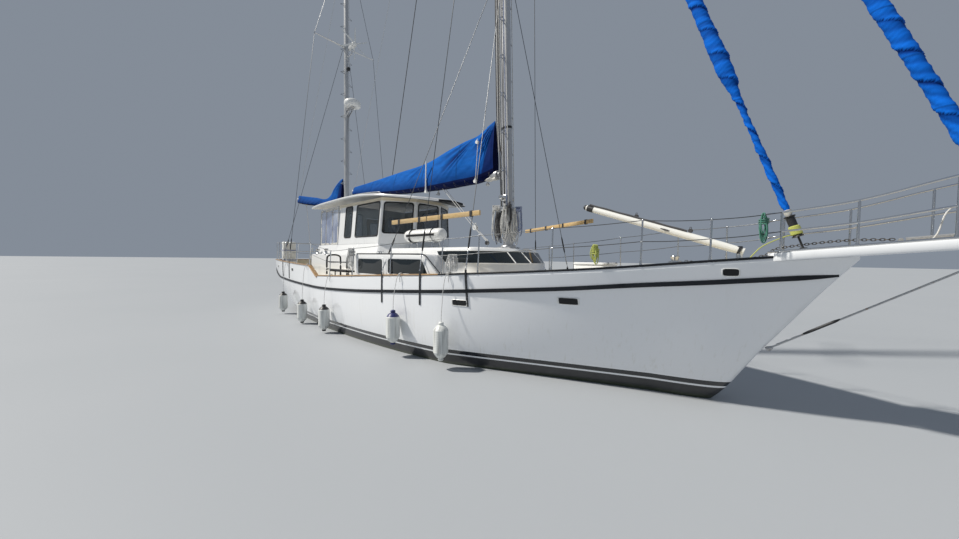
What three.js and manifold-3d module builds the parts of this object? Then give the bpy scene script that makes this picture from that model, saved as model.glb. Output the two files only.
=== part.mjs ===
// A 17 m ketch-rigged motor sailer, afloat, with her covers on.
// Millimetres. X forward, Y to port, Z up. The origin is on the waterline, amidships, on the centreline.

import * as THREE from 'three';
import { mergeVertices } from 'three/addons/utils/BufferGeometryUtils.js';
import Module from 'manifold-3d';

const wasm = await Module();
wasm.setup();

// Driving dimensions
const SEAT_GAP = 0.3;            // between pieces that rest on each other
const HULL_BEAM = 2200;          // greatest half-breadth at the deck edge
const BEAM_X = -800;             // where it lies
const STEM_HEAD_X = 8400;
const TRANSOM_X = -8450;
const TRANSOM_HALF = 1500;
const QUARTER_RADIUS = 300;      // rounding of the stern quarters
const BULWARK_X = [-2300, -2950];      // foot and head of the step up to the stern bulwark
const BULWARK_TOP = [1750, 1870];      // its height at the step and at the transom
const BULWARK_WALL = 75;
const AFT_DECK_Z = 1415;
const SHAFT_Z = -1000;
const RUDDER_X = -6420;
const STOCK_RADIUS = 40;
const HOUSE_TOP = 2120;          // top of the raised middle deck
const COACHROOF_TOP = 2280;
const ROOF_WALL_TOP = 3800;
const WALL = 50;
const SILL_Z = 2420;             // foot of the pilothouse glazing
const MAIN_FOOT = [3010, 2282];  // main mast at the coachroof: x, z
const MAIN_HEAD = [2285, 20800];
const MIZZEN_FOOT = [-5000, AFT_DECK_Z];
const MIZZEN_HEAD = [-5090, 14300];
const MAIN_BOOM_PIN = [2745, 4000];
const MIZZEN_BOOM_PIN = [-5150, 4100];
const MIZZEN_BOOM_SWUNG = -10;   // degrees, out to starboard
const CLUB_PIN = [7210, 2200];   // staysail boom on its pedestal
const PLANK_SLOPE = 0.1;

// Hull stations from aft: x, underside of the canoe body, deck edge (0 where the bulwark is the edge instead)
const STATIONS = [
  [-8450, 440, 0], [-8415, 405, 0], [-8340, 345, 0], [-8240, 290, 0], [-8150, 250, 0], [-7800, 110, 0],
  [-7400, -20, 0], [-6900, -200, 0], [-6300, -375, 0], [-5600, -540, 0], [-4800, -680, 0], [-4000, -780, 0],
  [-2950, -865, 0], [-2300, -900, 1430], [-1500, -925, 1458], [-700, -935, 1495], [300, -940, 1545],
  [1130, -930, 1590], [2000, -905, 1632], [2900, -868, 1678], [3700, -822, 1722], [4500, -750, 1777],
  [5150, -675, 1824], [5700, -575, 1868], [6200, -430, 1916], [6600, -245, 1957], [6930, 0, 1993],
  [7120, 230, 2012], [7310, 540, 2031], [7480, 820, 2048], [7750, 1220, 2075], [8070, 1700, 2107],
  [8360, 2095, 2136],
];
const SECTION_STEPS = 7;         // points from keel to deck edge on each side

const clamp = (value, low, high) => Math.min(high, Math.max(low, value));
const mix = (a, b, t) => a + (b - a) * t;

function bulwarkTop(x) {
  return mix(BULWARK_TOP[0], BULWARK_TOP[1], (BULWARK_X[1] - x) / (BULWARK_X[1] - TRANSOM_X));
}

// Height of the hull's top edge: the deck edge forward, the bulwark aft
function edgeHeight(x) {
  if (x <= BULWARK_X[1]) return bulwarkTop(x);
  const after = STATIONS.findIndex((row) => row[0] >= x);
  if (x <= BULWARK_X[0]) {
    return mix(BULWARK_TOP[0], 1430, (x - BULWARK_X[1]) / (BULWARK_X[0] - BULWARK_X[1]));
  }
  const [a, b] = [STATIONS[Math.max(after - 1, 0)], STATIONS[after === -1 ? STATIONS.length - 1 : after]];
  return a === b ? a[2] : mix(a[2], b[2], (x - a[0]) / (b[0] - a[0]));
}

// Half-breadth at the deck edge: a power curve each way from the widest place, rounded at the quarters
function deckHalf(x) {
  if (x > BEAM_X) {
    return Math.max(30, HULL_BEAM * (1 - ((x - BEAM_X) / (STEM_HEAD_X - BEAM_X)) ** 2.3));
  }
  const half = HULL_BEAM - (HULL_BEAM - TRANSOM_HALF) * ((BEAM_X - x) / (BEAM_X - TRANSOM_X)) ** 2.2;
  const inRound = clamp((TRANSOM_X + QUARTER_RADIUS - x) / QUARTER_RADIUS, 0, 1);
  return half - QUARTER_RADIUS * (1 - Math.sqrt(1 - inRound * inRound));
}

// Half-breadth at height h above the keel line (0 to 1): round amidships, flared towards the bow
function sectionHalf(x, h) {
  const flare = 0.9 * clamp((x - 2900) / 3300, 0, 1);
  const fullness = mix(4, 2.4, clamp((-4000 - x) / 3600, 0, 1));
  const round = Math.sqrt(1 - (1 - h) ** fullness);
  return deckHalf(x) * ((1 - flare) * round + flare * h ** 0.8);
}

// Mesh helpers
function solid(geometry) {
  const bare = geometry.clone();
  bare.deleteAttribute('normal');
  bare.deleteAttribute('uv');
  const merged = mergeVertices(bare, 1e-3);
  return new wasm.Manifold(new wasm.Mesh({
    numProp: 3,
    vertProperties: new Float32Array(merged.attributes.position.array),
    triVerts: new Uint32Array(merged.index.array),
  }));
}

function geometryOf(manifold) {
  const mesh = manifold.getMesh();
  const geometry = new THREE.BufferGeometry();
  geometry.setAttribute('position', new THREE.BufferAttribute(mesh.vertProperties, 3));
  geometry.setIndex(new THREE.BufferAttribute(mesh.triVerts, 1));
  geometry.computeVertexNormals();
  return geometry;
}

function join(...parts) {
  return parts.flat().reduce((sum, part) => sum.add(part));
}

function box(x0, x1, y0, y1, z0, z1) {
  const geometry = new THREE.BoxGeometry(x1 - x0, y1 - y0, z1 - z0);
  return solid(geometry.translate((x0 + x1) / 2, (y0 + y1) / 2, (z0 + z1) / 2));
}

function point(a) {
  return new THREE.Vector3(...a);
}

// Round or oval bar between two points; flat is its width in X over its width in Y
function rod(from, to, r0, { r1 = r0, sides = 8, flat = 1 } = {}) {
  const [a, b] = [point(from), point(to)];
  const geometry = new THREE.CylinderGeometry(r1, r0, a.distanceTo(b), sides, 1);
  geometry.rotateX(Math.PI / 2);
  geometry.scale(flat, 1, 1);
  const heading = b.clone().sub(a).normalize();
  const turn = new THREE.Quaternion().setFromUnitVectors(new THREE.Vector3(0, 0, 1), heading);
  geometry.applyQuaternion(turn);
  return solid(geometry.translate(...a.add(b).multiplyScalar(0.5).toArray()));
}

// Bent bar or wire through a list of points, mitred at each bend
function rail(points, radius, sides = 6) {
  const at = points.map(point);
  const ahead = at.slice(1).map((p, i) => p.clone().sub(at[i]).normalize());
  const legBefore = (i) => ahead[i - 1] ?? ahead[i];
  const heading = at.map((_, i) => legBefore(i).clone().add(ahead[i] ?? ahead[i - 1]).normalize());
  let across = new THREE.Vector3(0.13, 0.21, 1).cross(heading[0]).normalize();
  return loft(at.map((centre, i) => {
    across = across.clone().addScaledVector(heading[i], -across.dot(heading[i])).normalize();
    const other = heading[i].clone().cross(across);
    return [...Array(sides).keys()].map((k) => {
      const angle = (k * 2 * Math.PI) / sides;
      const spot = centre.clone().addScaledVector(across, radius * Math.cos(angle));
      return spot.addScaledVector(other, radius * Math.sin(angle)).toArray();
    });
  }));
}

// Upright prism over an outline in X and Y
function prism(outline, z0, z1) {
  const shape = new THREE.Shape(outline.map(([x, y]) => new THREE.Vector2(x, y)));
  return solid(new THREE.ExtrudeGeometry(shape, { depth: z1 - z0, bevelEnabled: false }).translate(0, 0, z0));
}

// Prism over an outline in X and Z, from y0 to y1
function sidePrism(outline, y0, y1) {
  const shape = new THREE.Shape(outline.map(([x, z]) => new THREE.Vector2(x, z)));
  const geometry = new THREE.ExtrudeGeometry(shape, { depth: y1 - y0, bevelEnabled: false });
  return solid(geometry.rotateX(Math.PI / 2).translate(0, y1, 0));
}

// Closed skin over rings of points that all have the same count, with flat ends
function loft(rings) {
  const count = rings[0].length;
  const index = [];
  for (let r = 0; r + 1 < rings.length; r += 1) {
    for (let i = 0; i < count; i += 1) {
      const [a, b] = [r * count + i, r * count + ((i + 1) % count)];
      index.push(a, b, a + count, b, b + count, a + count);
    }
  }
  const last = (rings.length - 1) * count;
  const ends = THREE.ShapeUtils.triangulateShape(flatten(rings[0]), []);
  const far = THREE.ShapeUtils.triangulateShape(flatten(rings[rings.length - 1]), []);
  for (const [a, b, c] of ends) index.push(a, c, b);
  for (const [a, b, c] of far) index.push(last + a, last + b, last + c);
  const geometry = new THREE.BufferGeometry();
  geometry.setAttribute('position', new THREE.Float32BufferAttribute(rings.flat(2), 3));
  geometry.setIndex(index);
  const made = solid(geometry);
  return made.volume() < 0 ? solid(flipped(geometry)) : made;
}

function flipped(geometry) {
  const array = Array.from(geometry.index.array);
  for (let i = 0; i < array.length; i += 3) [array[i], array[i + 1]] = [array[i + 1], array[i]];
  geometry.setIndex(array);
  return geometry;
}

// A ring seen along its own normal, for triangulating its cap
function flatten(ring) {
  const normal = new THREE.Vector3();
  ring.forEach((p, i) => {
    const q = ring[(i + 1) % ring.length];
    normal.x += (p[1] - q[1]) * (p[2] + q[2]);
    normal.y += (p[2] - q[2]) * (p[0] + q[0]);
    normal.z += (p[0] - q[0]) * (p[1] + q[1]);
  });
  const turn = new THREE.Quaternion().setFromUnitVectors(normal.normalize(), new THREE.Vector3(0, 0, 1));
  return ring.map((p) => {
    const v = point(p).applyQuaternion(turn);
    return new THREE.Vector2(v.x, v.y);
  });
}

// Frustum between two outlines in X and Y with the same number of corners
function frustum(lower, upper, z0, z1) {
  return loft([lower.map(([x, y]) => [x, y, z0]), upper.map(([x, y]) => [x, y, z1])]);
}

function bothSides(outline) {
  return [...outline, ...outline.map(([x, y]) => [x, -y]).reverse()];
}

// Foil plan section with its nose at x1 and its tail at x0
function foil(x0, x1, half, z) {
  const cuts = [0, 0.12, 0.4, 0.75, 0.95, 1];
  const width = [0.06, 0.35, 0.9, 0.95, 0.55, 0.12];
  const outline = cuts.map((t, i) => [mix(x0, x1, t), half * width[i]]);
  return bothSides(outline).map(([x, y]) => [x, y, z]);
}

const MATERIALS = {
  gelcoat: [0xf4f6f7, 0.25, 0], antifoul: [0x15171c, 0.8, 0], iron: [0x16181c, 0.7, 0.1],
  cream: [0xe6dcc2, 0.5, 0], teak: [0xb98c52, 0.6, 0], black: [0x14161a, 0.45, 0], glass: [0x1a2228, 0.08, 0],
  clear: [0xc9dbe6, 0.1, 0], steel: [0xc2c6ca, 0.25, 0.9], spar: [0xb9bec2, 0.4, 0.6], canvas: [0x1557c4, 0.85, 0],
  bronze: [0xa67c3d, 0.4, 0.9], pine: [0xcf9f58, 0.7, 0], vinyl: [0xeeece4, 0.6, 0],
  galvanised: [0x8d9296, 0.55, 0.7], paint: [0xeceae2, 0.4, 0],
};

const group = new THREE.Group();

function add(name, shape, material, position = [0, 0, 0], rotation = [0, 0, 0]) {
  const [color, roughness, metalness] = MATERIALS[material];
  const geometry = shape.isBufferGeometry ? shape : geometryOf(shape);
  const mesh = new THREE.Mesh(geometry, new THREE.MeshStandardMaterial({ color, roughness, metalness }));
  mesh.name = name;
  mesh.position.set(...position);
  mesh.rotation.set(...rotation);
  group.add(mesh);
}

const SIDES = [['starboard', -1], ['port', 1]];
const halfSpace = (side, y0, y1) => (side < 0 ? [-y1, -y0] : [y0, y1]);

// Toe rails on the deck edge, forward of the bulwark
const RAIL_X = [-2290, -1500, -700, 300, 1130, 2000, 2900, 3700, 4500, 5150, 5700, 6200, 6600, 7120, 7480];
const RAIL_HEIGHT = 70;
const RAIL_HALF = 22;
const railY = (x) => deckHalf(x) - 28;
function toeRail(side) {
  return loft(RAIL_X.map((x) => {
    const [y, z] = [side * railY(x), edgeHeight(x)];
    const corner = (across, up) => [x, y + across * RAIL_HALF, z + up];
    return [corner(-1, -10), corner(1, -10), corner(1, RAIL_HEIGHT), corner(-1, RAIL_HEIGHT)];
  }));
}

// Chainplates: straps up the outside of the topsides, ending in a head that carries the shroud
const MAIN_PLATES = [1200, 2400, 3500];
const MIZZEN_PLATES = [-5150, -6250];
const PLATE_REACH = 560;          // below the deck edge
const plateHead = (x) => (x < BULWARK_X[1] ? bulwarkTop(x) + 60 : edgeHeight(x) + 130);
function chainplate(x, side) {
  const deep = (z) => sectionHalf(x, clamp((z + 900) / (edgeHeight(x) + 900), 0, 1)) + 12;
  const ring = (z, thick) => [[x - 28, side * (deep(z) - thick), z], [x + 28, side * (deep(z) - thick), z],
    [x + 28, side * deep(z), z], [x - 28, side * deep(z), z]];
  const edge = edgeHeight(x);
  const onSkin = loft([ring(edge - PLATE_REACH, 50), ring(edge - 20, 50)]);
  return join(onSkin, loft([ring(edge - 60, 10), ring(plateHead(x), 10)]));
}

// Hull: canoe body, bulwark, rails, chainplates, keel stub, skeg and shaft bracket in one
function hullSolid() {
  const body = loft(STATIONS.map(([x, keel]) => {
    const top = edgeHeight(x);
    const side = [];
    for (let i = SECTION_STEPS; i >= 1; i -= 1) {
      const h = 1 - Math.cos((i / SECTION_STEPS) * Math.PI / 2);
      side.push([x, sectionHalf(x, h), mix(keel, top, h)]);
    }
    return [...side, [x, 0, keel], ...side.map(([px, py, pz]) => [px, -py, pz]).reverse()];
  }));
  const stub = loft([foil(-3500, 3300, 200, -500), foil(-3300, 2700, 180, -1250)]);
  const skeg = loft([foil(-6360, -5000, 75, -300), foil(-6355, -5950, 60, -1650)]);
  const sternTube = rod([-3200, 0, SHAFT_Z], [-3620, 0, SHAFT_Z], 60, { sides: 16 });
  const bracket = join(
    rod([-5050, 0, SHAFT_Z], [-4900, 0, SHAFT_Z], 48, { sides: 16 }),
    box(-5030, -4920, -12, 12, SHAFT_Z + 30, -560),
  );
  const shaftBore = rod([-5100, 0, SHAFT_Z], [-4800, 0, SHAFT_Z], 27, { sides: 16 });
  const stockBore = rod([RUDDER_X, 0, -500], [RUDDER_X, 0, -150], STOCK_RADIUS + 0.8, { sides: 24 });
  const wellX = [-8375, -8300, -8150, -7400, -6500, -5500, -4500, -3500, -2950, -2200];
  const well = prism(bothSides(wellX.map((x) => [x, wellHalf(x)])), AFT_DECK_Z, 2500);
  const plates = [...MAIN_PLATES, ...MIZZEN_PLATES];
  const trim = SIDES.flatMap(([, side]) => [toeRail(side), ...plates.map((x) => chainplate(x, side))]);
  const whole = join(body.subtract(well), stub, skeg, sternTube, bracket, trim);
  return whole.subtract(shaftBore).subtract(stockBore);
}

function wellHalf(x) {
  const corner = clamp((TRANSOM_X + BULWARK_WALL + 225 - x) / 225, 0, 1);
  const straight = deckHalf(Math.max(x, TRANSOM_X + QUARTER_RADIUS)) - BULWARK_WALL;
  const inner = QUARTER_RADIUS - BULWARK_WALL;
  return straight - inner * (1 - Math.sqrt(1 - corner * corner));
}

const hull = hullSolid();
add('hull', hull, 'gelcoat');

// A piece cut back so that it keeps the seat gap from another: above it, or on every side
const ABOVE = [[0, 0, SEAT_GAP]];
const AROUND = [...ABOVE, [SEAT_GAP, 0, 0], [-SEAT_GAP, 0, 0], [0, SEAT_GAP, 0], [0, -SEAT_GAP, 0]];
function clearOf(other, part, shifts = AROUND) {
  return shifts.reduce((rest, shift) => rest.subtract(other.translate(shift)), part);
}
const withoutHull = (part, shifts = ABOVE) => clearOf(hull, part, shifts);

add('ballast_keel', loft([
  foil(-3300, 2700, 180, -1250 - SEAT_GAP), foil(-3200, 2500, 205, -1700), foil(-3050, 2150, 150, -2000),
]), 'iron');

// Rudder, turned about its stock
const RUDDER = [[-470, -700, 60], [-1000, -880, 60], [-1650, -800, 45]];      // height, tail, half-thickness
function rudderSolid() {
  const blade = loft(RUDDER.map(([z, tail, half]) => {
    const ring = [[tail, 8], [-250, half], [0, 55], [28, 47], [48, 27], [55, 0]];
    return [...ring, ...ring.slice(0, -1).map(([x, y]) => [x, -y]).reverse()].map(([x, y]) => [x, y, z]);
  }));
  return blade.add(rod([0, 0, -600], [0, 0, -210], STOCK_RADIUS, { sides: 24 }));
}
add('rudder', rudderSolid(), 'antifoul', [RUDDER_X, 0, 0]);

// Propeller and shaft, turned about X
function propellerSolid() {
  const hub = rod([60, 0, 0], [-90, 0, 0], 52, { r1: 34, sides: 16 });
  const shaft = rod([0, 0, 0], [5200 - 3620 - SEAT_GAP, 0, 0], 25, { sides: 16 });
  const blades = [0, 1, 2].map((i) => {
    const outline = new THREE.Shape();
    outline.moveTo(-35, 30);
    outline.bezierCurveTo(-150, 160, -130, 300, 0, 330);
    outline.bezierCurveTo(130, 300, 150, 160, 35, 30);
    const blade = new THREE.ExtrudeGeometry(outline, { depth: 16, bevelEnabled: false, curveSegments: 5 });
    blade.translate(0, 0, -8).rotateY(Math.PI / 2 - 0.6).rotateX((i * 2 * Math.PI) / 3);
    return solid(blade);
  });
  return join(hub, shaft, blades);
}
add('propeller', propellerSolid(), 'bronze', [-5200, 0, SHAFT_Z]);

// Wooden cap on the bulwark, and the toe rails forward of it
function capSolid() {
  const xs = [-8465, -8430, -8340, -8150, -7400, -6500, -5500, -4500, -3500, -2950];
  const outside = bothSides(xs.map((x) => [x, deckHalf(Math.max(x, TRANSOM_X)) + 1]));
  const inside = bothSides([-8340, -8300, -8150, -7400, -6500, -5500, -4500, -3500, -2900].map((x) => (
    [x, wellHalf(Math.max(x, -8330)) - 25])));
  const ring = prism(outside, 0, 30).subtract(prism(inside, -10, 40));
  const slope = (BULWARK_TOP[1] - BULWARK_TOP[0]) / (TRANSOM_X - BULWARK_X[1]);
  const height = (x) => bulwarkTop(BULWARK_X[1]) + slope * (x - BULWARK_X[1]) + SEAT_GAP;
  const level = ring.warp((v) => { v[2] += height(v[0]); });
  const [foot, head] = BULWARK_X;
  const ramps = SIDES.map(([, side]) => loft([head - 10, foot].map((x) => {
    const y = side * (deckHalf(x) - 40);
    const z = edgeHeight(x) + SEAT_GAP;
    return [[x, y - 55, z], [x, y + 55, z], [x, y + 55, z + 30], [x, y - 55, z + 30]];
  })));
  return withoutHull(join(level, ramps), AROUND);
}
add('bulwark_cap', capSolid(), 'teak');

// Raised middle deck and forward coachroof, one hollow moulding with its windows cut
const HOUSE_FLOOR = 1300;        // walls start inside the hull here and are cut off at the deck
const HOUSE_SIDE_X = [600, 1300, 2000, 2450];
const STEP_FRONT = { aft: -100, top: 2450, foot: 2900, footZ: 1690, sweep: 0.62, sweptFrom: 2000 };
const COACHROOF = { half: 1200, straight: 2900, noseLow: 3750, noseHigh: 3270, noseLowZ: 1850 };
// The raised deck's front slopes, and sweeps aft towards the coachroof on both sides
function frontCutter(inset) {
  const { top, foot, footZ, sweep, sweptFrom } = STEP_FRONT;
  const outline = [
    [top - inset, 2200], [top - inset, HOUSE_TOP - inset], [foot - inset, footZ], [3500, footZ], [3500, 2200],
  ];
  const cuts = [[-2300, 0], [0, 2300]].map(([y0, y1]) => (
    sidePrism(outline, y0, y1).warp((v) => { v[0] -= sweep * (sweptFrom - Math.abs(v[1])); })));
  return join(cuts);
}
function coachroofRing(inset, z) {
  const { half, straight, noseLow, noseHigh, noseLowZ } = COACHROOF;
  const nose = mix(noseLow, noseHigh, (z - noseLowZ) / (COACHROOF_TOP - noseLowZ));
  const arc = [0, 1, 2, 3, 4, 5].map((i) => {
    const angle = (i / 5) * Math.PI / 2;
    return [straight + (nose - straight - inset) * Math.sin(angle), (half - inset) * Math.cos(angle)];
  });
  const side = [[inset, half - inset], ...arc.slice(0, 5)];
  return [...side, arc[5], ...side.map(([x, y]) => [x, -y]).reverse()].reverse().map(([x, y]) => [x, y, z]);
}
function houseOuter(inset) {
  const top = HOUSE_TOP - inset;
  const beside = (x) => deckHalf(x) - 62 - inset;
  const { aft: stepX, foot } = STEP_FRONT;
  const flush = prism(bothSides([[stepX + inset, beside(stepX)], ...HOUSE_SIDE_X.map((x) => [x, beside(x)]),
    [foot - inset, beside(foot)]]), HOUSE_FLOOR, top);
  const aftPlan = bothSides([[-4600 + inset, 1450 - inset], [-2600, 1600 - inset], [0, 1600 - inset]]);
  const aft = prism(aftPlan, HOUSE_FLOOR, top);
  const roof = loft([HOUSE_FLOOR, COACHROOF_TOP - inset].map((z) => coachroofRing(inset, z)));
  return join(flush.subtract(frontCutter(inset)), aft, roof);
}

// Windows of the raised deck: aft and forward x at the top, forward x at the foot, sill, head
const HOUSE_WINDOWS = [[120, 1130, 1130, 1655, 2000], [1330, 2380, 2560, 1690, 2010]];
const houseWindow = ([x0, x1, x2, z0, z1]) => [[x0, z0], [x2, z0], [x1, z1], [x0, z1]];
// Dark glazing band round the coachroof, from abreast of the raised deck's front
const BAND = { aft: 2190, z: [1955, 2195], centrePost: 25 };
function bandCutter() {
  const band = box(BAND.aft, 3900, -1300, 1300, ...BAND.z);
  return band.subtract(box(3000, 3900, -BAND.centrePost, BAND.centrePost, BAND.z[0] - 50, BAND.z[1] + 50));
}
const HOUSE_OUT = houseOuter(0);
const HOUSE_IN = houseOuter(WALL);
function houseSolid() {
  let house = HOUSE_OUT.subtract(HOUSE_IN);
  for (const row of HOUSE_WINDOWS) house = house.subtract(sidePrism(houseWindow(row), -2400, 2400));
  house = house.subtract(bandCutter());
  const plinth = join(plinthSolid(0).subtract(plinthSolid(WALL)), coamings(), winches());
  const cabin = box(-4500, -150, -1120, 1120, 1000, 2400);
  return withoutHull(join(house, plinth).subtract(cabin), AROUND);
}

// Hard roof over pilothouse and cockpit: x, half-breadth, height of the edge, crown
const ROOF = [
  [-4750, 1380, 3690, 90], [-4430, 1420, 3715, 95], [-3000, 1430, 3760, 100], [-1700, 1430, 3760, 100],
  [-700, 1420, 3700, 90], [-100, 1290, 3640, 80], [400, 1060, 3580, 65], [800, 760, 3530, 45],
  [1050, 420, 3495, 25],
];
const ROOF_THICK = 55;
function roofSolid(drop, lift) {
  return loft(ROOF.map(([x, half, edge, crown]) => {
    const arch = [-1, -0.6, 0, 0.6, 1].map((t) => [x, t * half, edge + crown * (1 - t * t)]);
    const under = arch.map(([px, y, z]) => [px, y, z - drop]);
    const over = arch.map(([px, y, z]) => [px, y, z + lift]).reverse();
    return [...under, ...over];
  }));
}
add('hard_roof', roofSolid(0, ROOF_THICK), 'gelcoat');

// Pilothouse walls: plan at the sill and at the head of the glazing
const PLAN_LOW = [[-2850, 1300], [-450, 1270], [60, 470]];
const PLAN_HIGH = [[-2850, 1190], [-420, 1160], [100, 420]];
function inset(outline, t) {
  return outline.map(([x, y], i) => [x - (i === 0 ? 0 : t * 1.1), y - (i === 2 ? t * 0.6 : t)]);
}
function houseShell(t, z0 = SILL_Z, z1 = ROOF_WALL_TOP) {
  const grow = (z1 - SILL_Z) / (ROOF_WALL_TOP - SILL_Z);
  const low = inset(PLAN_LOW, t);
  const high = inset(PLAN_HIGH, t).map(([x, y], i) => [mix(low[i][0], x, grow), mix(low[i][1], y, grow)]);
  return frustum(bothSides(low), bothSides(high), z0, z1);
}
const PLINTH = [[-2850, 1440], [-380, 1410], [190, 540]];
function plinthSolid(t) {
  return frustum(bothSides(inset(PLINTH, t)), bothSides(inset(PLAN_LOW, t)), HOUSE_TOP - 10, SILL_Z);
}

// Cockpit coamings abaft the pilothouse and the winches beside them
const COAMING_X = [-4600, -2845];
const coamingHalf = (x) => mix(1330, 1440, (x - COAMING_X[0]) / 1750);
function coamings() {
  return join(SIDES.map(([, side]) => loft(COAMING_X.map((x) => {
    const wide = coamingHalf(x);
    return [
      [x, side * wide, HOUSE_TOP - 10], [x, side * (wide - 140), SILL_Z], [x, side * (wide - 195), SILL_Z],
      [x, side * (wide - 195), HOUSE_TOP - 10]];
  }))));
}
const WINCHES = [[-3250, 1500], [-4100, 1430]];
function winches() {
  return join(SIDES.flatMap(([, side]) => WINCHES.map(([x, y]) => (
    rod([x, side * y, HOUSE_TOP - 20], [x, side * y, HOUSE_TOP + 170], 58, { r1: 48, sides: 12 })
  ))));
}

// Pilothouse windows: x or distance along the panel, and height
const GLAZING = {
  side: [[-2470, -2040], [-1790, -520]],
  front: 68,
  z: [2620, 3560],
  frontZ: [2700, 3540],
  round: 70,
};
function roundedWindow(a, b, c, d) {
  const r = GLAZING.round;
  const shape = new THREE.Shape();
  shape.moveTo(a + r, c).lineTo(b - r, c);
  shape.absarc(b - r, c + r, r, -Math.PI / 2, 0);
  shape.absarc(b - r, d - r, r, 0, Math.PI / 2);
  shape.absarc(a + r, d - r, r, Math.PI / 2, Math.PI);
  shape.absarc(a + r, c + r, r, Math.PI, Math.PI * 1.5);
  return new THREE.ExtrudeGeometry(shape, { depth: 1000, bevelEnabled: false, curveSegments: 2 });
}
// Cutter through one panel; the panel runs from a to b in plan
function panelCutter(a, b, u0, u1, z0, z1) {
  const geometry = roundedWindow(u0, u1, z0, z1).translate(0, 0, -500).rotateX(Math.PI / 2);
  const heading = Math.atan2(b[1] - a[1], b[0] - a[0]);
  return solid(geometry.rotateZ(heading).translate(a[0], a[1], 0));
}
function glazingCutters(side) {
  const panel = [[0, side * 1230], [1, side * 1230]];
  const cutters = GLAZING.side.map(([x0, x1]) => panelCutter(...panel, x0, x1, ...GLAZING.z));
  const [a, b] = [[-435, side * 1215], [80, side * 445]];
  const length = Math.hypot(b[0] - a[0], b[1] - a[1]);
  cutters.push(panelCutter(a, b, GLAZING.front, length - GLAZING.front, ...GLAZING.frontZ));
  return cutters;
}
const FRONT_HALF = 385;
const windscreenCutter = panelCutter(
  [80, -FRONT_HALF], [80, FRONT_HALF], 0, 2 * FRONT_HALF, ...GLAZING.frontZ,
);
const UNDER_ROOF = roofSolid(SEAT_GAP, 900);
function pilothouseSolid() {
  const outer = houseShell(0).subtract(box(-3000, 500, -2000, 2000, 2000, SILL_Z + SEAT_GAP));
  const inner = houseShell(WALL).add(box(-2900, -1000, -1100, 1100, 2000, 3900));
  const walls = outer.subtract(inner).subtract(UNDER_ROOF);
  const cutters = [...glazingCutters(-1), ...glazingCutters(1), windscreenCutter];
  return cutters.reduce((rest, cut) => rest.subtract(cut), walls);
}
add('pilothouse', pilothouseSolid(), 'gelcoat');
add('pilothouse_glazing', houseShell(WALL + SEAT_GAP).subtract(houseShell(WALL + 10))
  .intersect(box(-2780, 500, -2000, 2000, GLAZING.z[0] - 35, GLAZING.z[1] + 25)), 'glass');
add('deckhouse', houseSolid(), 'gelcoat');
const LINING = houseOuter(WALL + SEAT_GAP).subtract(houseOuter(WALL + 12));
for (const [name, side] of SIDES) {
  const strip = LINING.intersect(box(90, 2590, ...halfSpace(side, 1850, 2400), 1635, 2030));
  add(`deckhouse_glazing_${name}`, withoutHull(strip, AROUND), 'glass');
}
const BAND_LAP = 20;
add('coachroof_glazing', LINING.intersect(
  box(BAND.aft - BAND_LAP, 3900, -1200, 1200, BAND.z[0] - BAND_LAP, BAND.z[1] + BAND_LAP)), 'glass');

// After bulkhead of the pilothouse with its doorway and door
const DOOR = { y: [-330, 330], z: [1475, 3330], thick: 40, clear: 6, knuckle: 12 };
const BULKHEAD_X = [-2840, -2795];
function bulkheadSolid() {
  const half = 1090;
  const plate = box(...BULKHEAD_X, -half, half, 1300, 3900);
  const doorway = box(-3000, -2700, DOOR.y[0] - 6, DOOR.y[1] + 6, DOOR.z[0] - 6, DOOR.z[1] + 6);
  const lights = SIDES.map(([, side]) => box(-3000, -2700, ...halfSpace(side, 480, 960), 2620, 3450));
  return withoutHull(plate.subtract(doorway).subtract(join(lights)).subtract(UNDER_ROOF), AROUND);
}
add('pilothouse_bulkhead', bulkheadSolid(), 'gelcoat');
function doorSolid() {
  const width = DOOR.y[1] - DOOR.y[0];
  const leaf = box(-DOOR.thick, 0, -width - DOOR.knuckle, -DOOR.knuckle, DOOR.z[0], DOOR.z[1]);
  const light = box(-100, 100, -width + 110 - DOOR.knuckle, -110 - DOOR.knuckle, 2500, 3200);
  const handle = box(-DOOR.thick - 30, -DOOR.thick + 5, -width + 40, -width + 60, 2320, 2460);
  const hinges = [1650, 3050].flatMap((z) => [
    rod([0, 0, z], [0, 0, z + 110], DOOR.clear - SEAT_GAP, { sides: 12 }),
    box(-5, 0, -DOOR.knuckle - 5, 0, z, z + 110),
  ]);
  return join(leaf.subtract(light), handle, hinges);
}
const DOOR_PIN = [BULKHEAD_X[0] - DOOR.clear, DOOR.y[1] + DOOR.knuckle, 0];
add('pilothouse_door', doorSolid(), 'cream', DOOR_PIN);
add('pilothouse_door_light', box(-28, -18, -561.7, -122.3, 2500.3, 3199.7), 'glass', DOOR_PIN);

// Frame of the cockpit enclosure under the hard roof, and the clear side curtains in it
const POST_X = [-4540, -2915];
const FRAME_HEAD_Z = 3640;
const postSpot = (x, side, z) => [x, side * (coamingHalf(x) - 168) * mix(1, 0.97, (z - SILL_Z) / 1480), z];
function enclosureFrame() {
  const tops = SIDES.flatMap(([, side]) => {
    const [a, b] = POST_X;
    return [
      ...POST_X.map((x) => rod(postSpot(x, side, SILL_Z - 20), postSpot(x, side, 3900), 20)),
      rod(postSpot(a, side, FRAME_HEAD_Z), postSpot(b, side, FRAME_HEAD_Z), 16),
    ];
  });
  const across = rod(postSpot(POST_X[0], -1, FRAME_HEAD_Z), postSpot(POST_X[0], 1, FRAME_HEAD_Z), 16);
  const belowSill = box(-4700, -2700, -1500, 1500, 2300, SILL_Z + SEAT_GAP);
  return join(tops, across).subtract(UNDER_ROOF).subtract(belowSill);
}
add('enclosure_frame', enclosureFrame(), 'steel');
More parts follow.
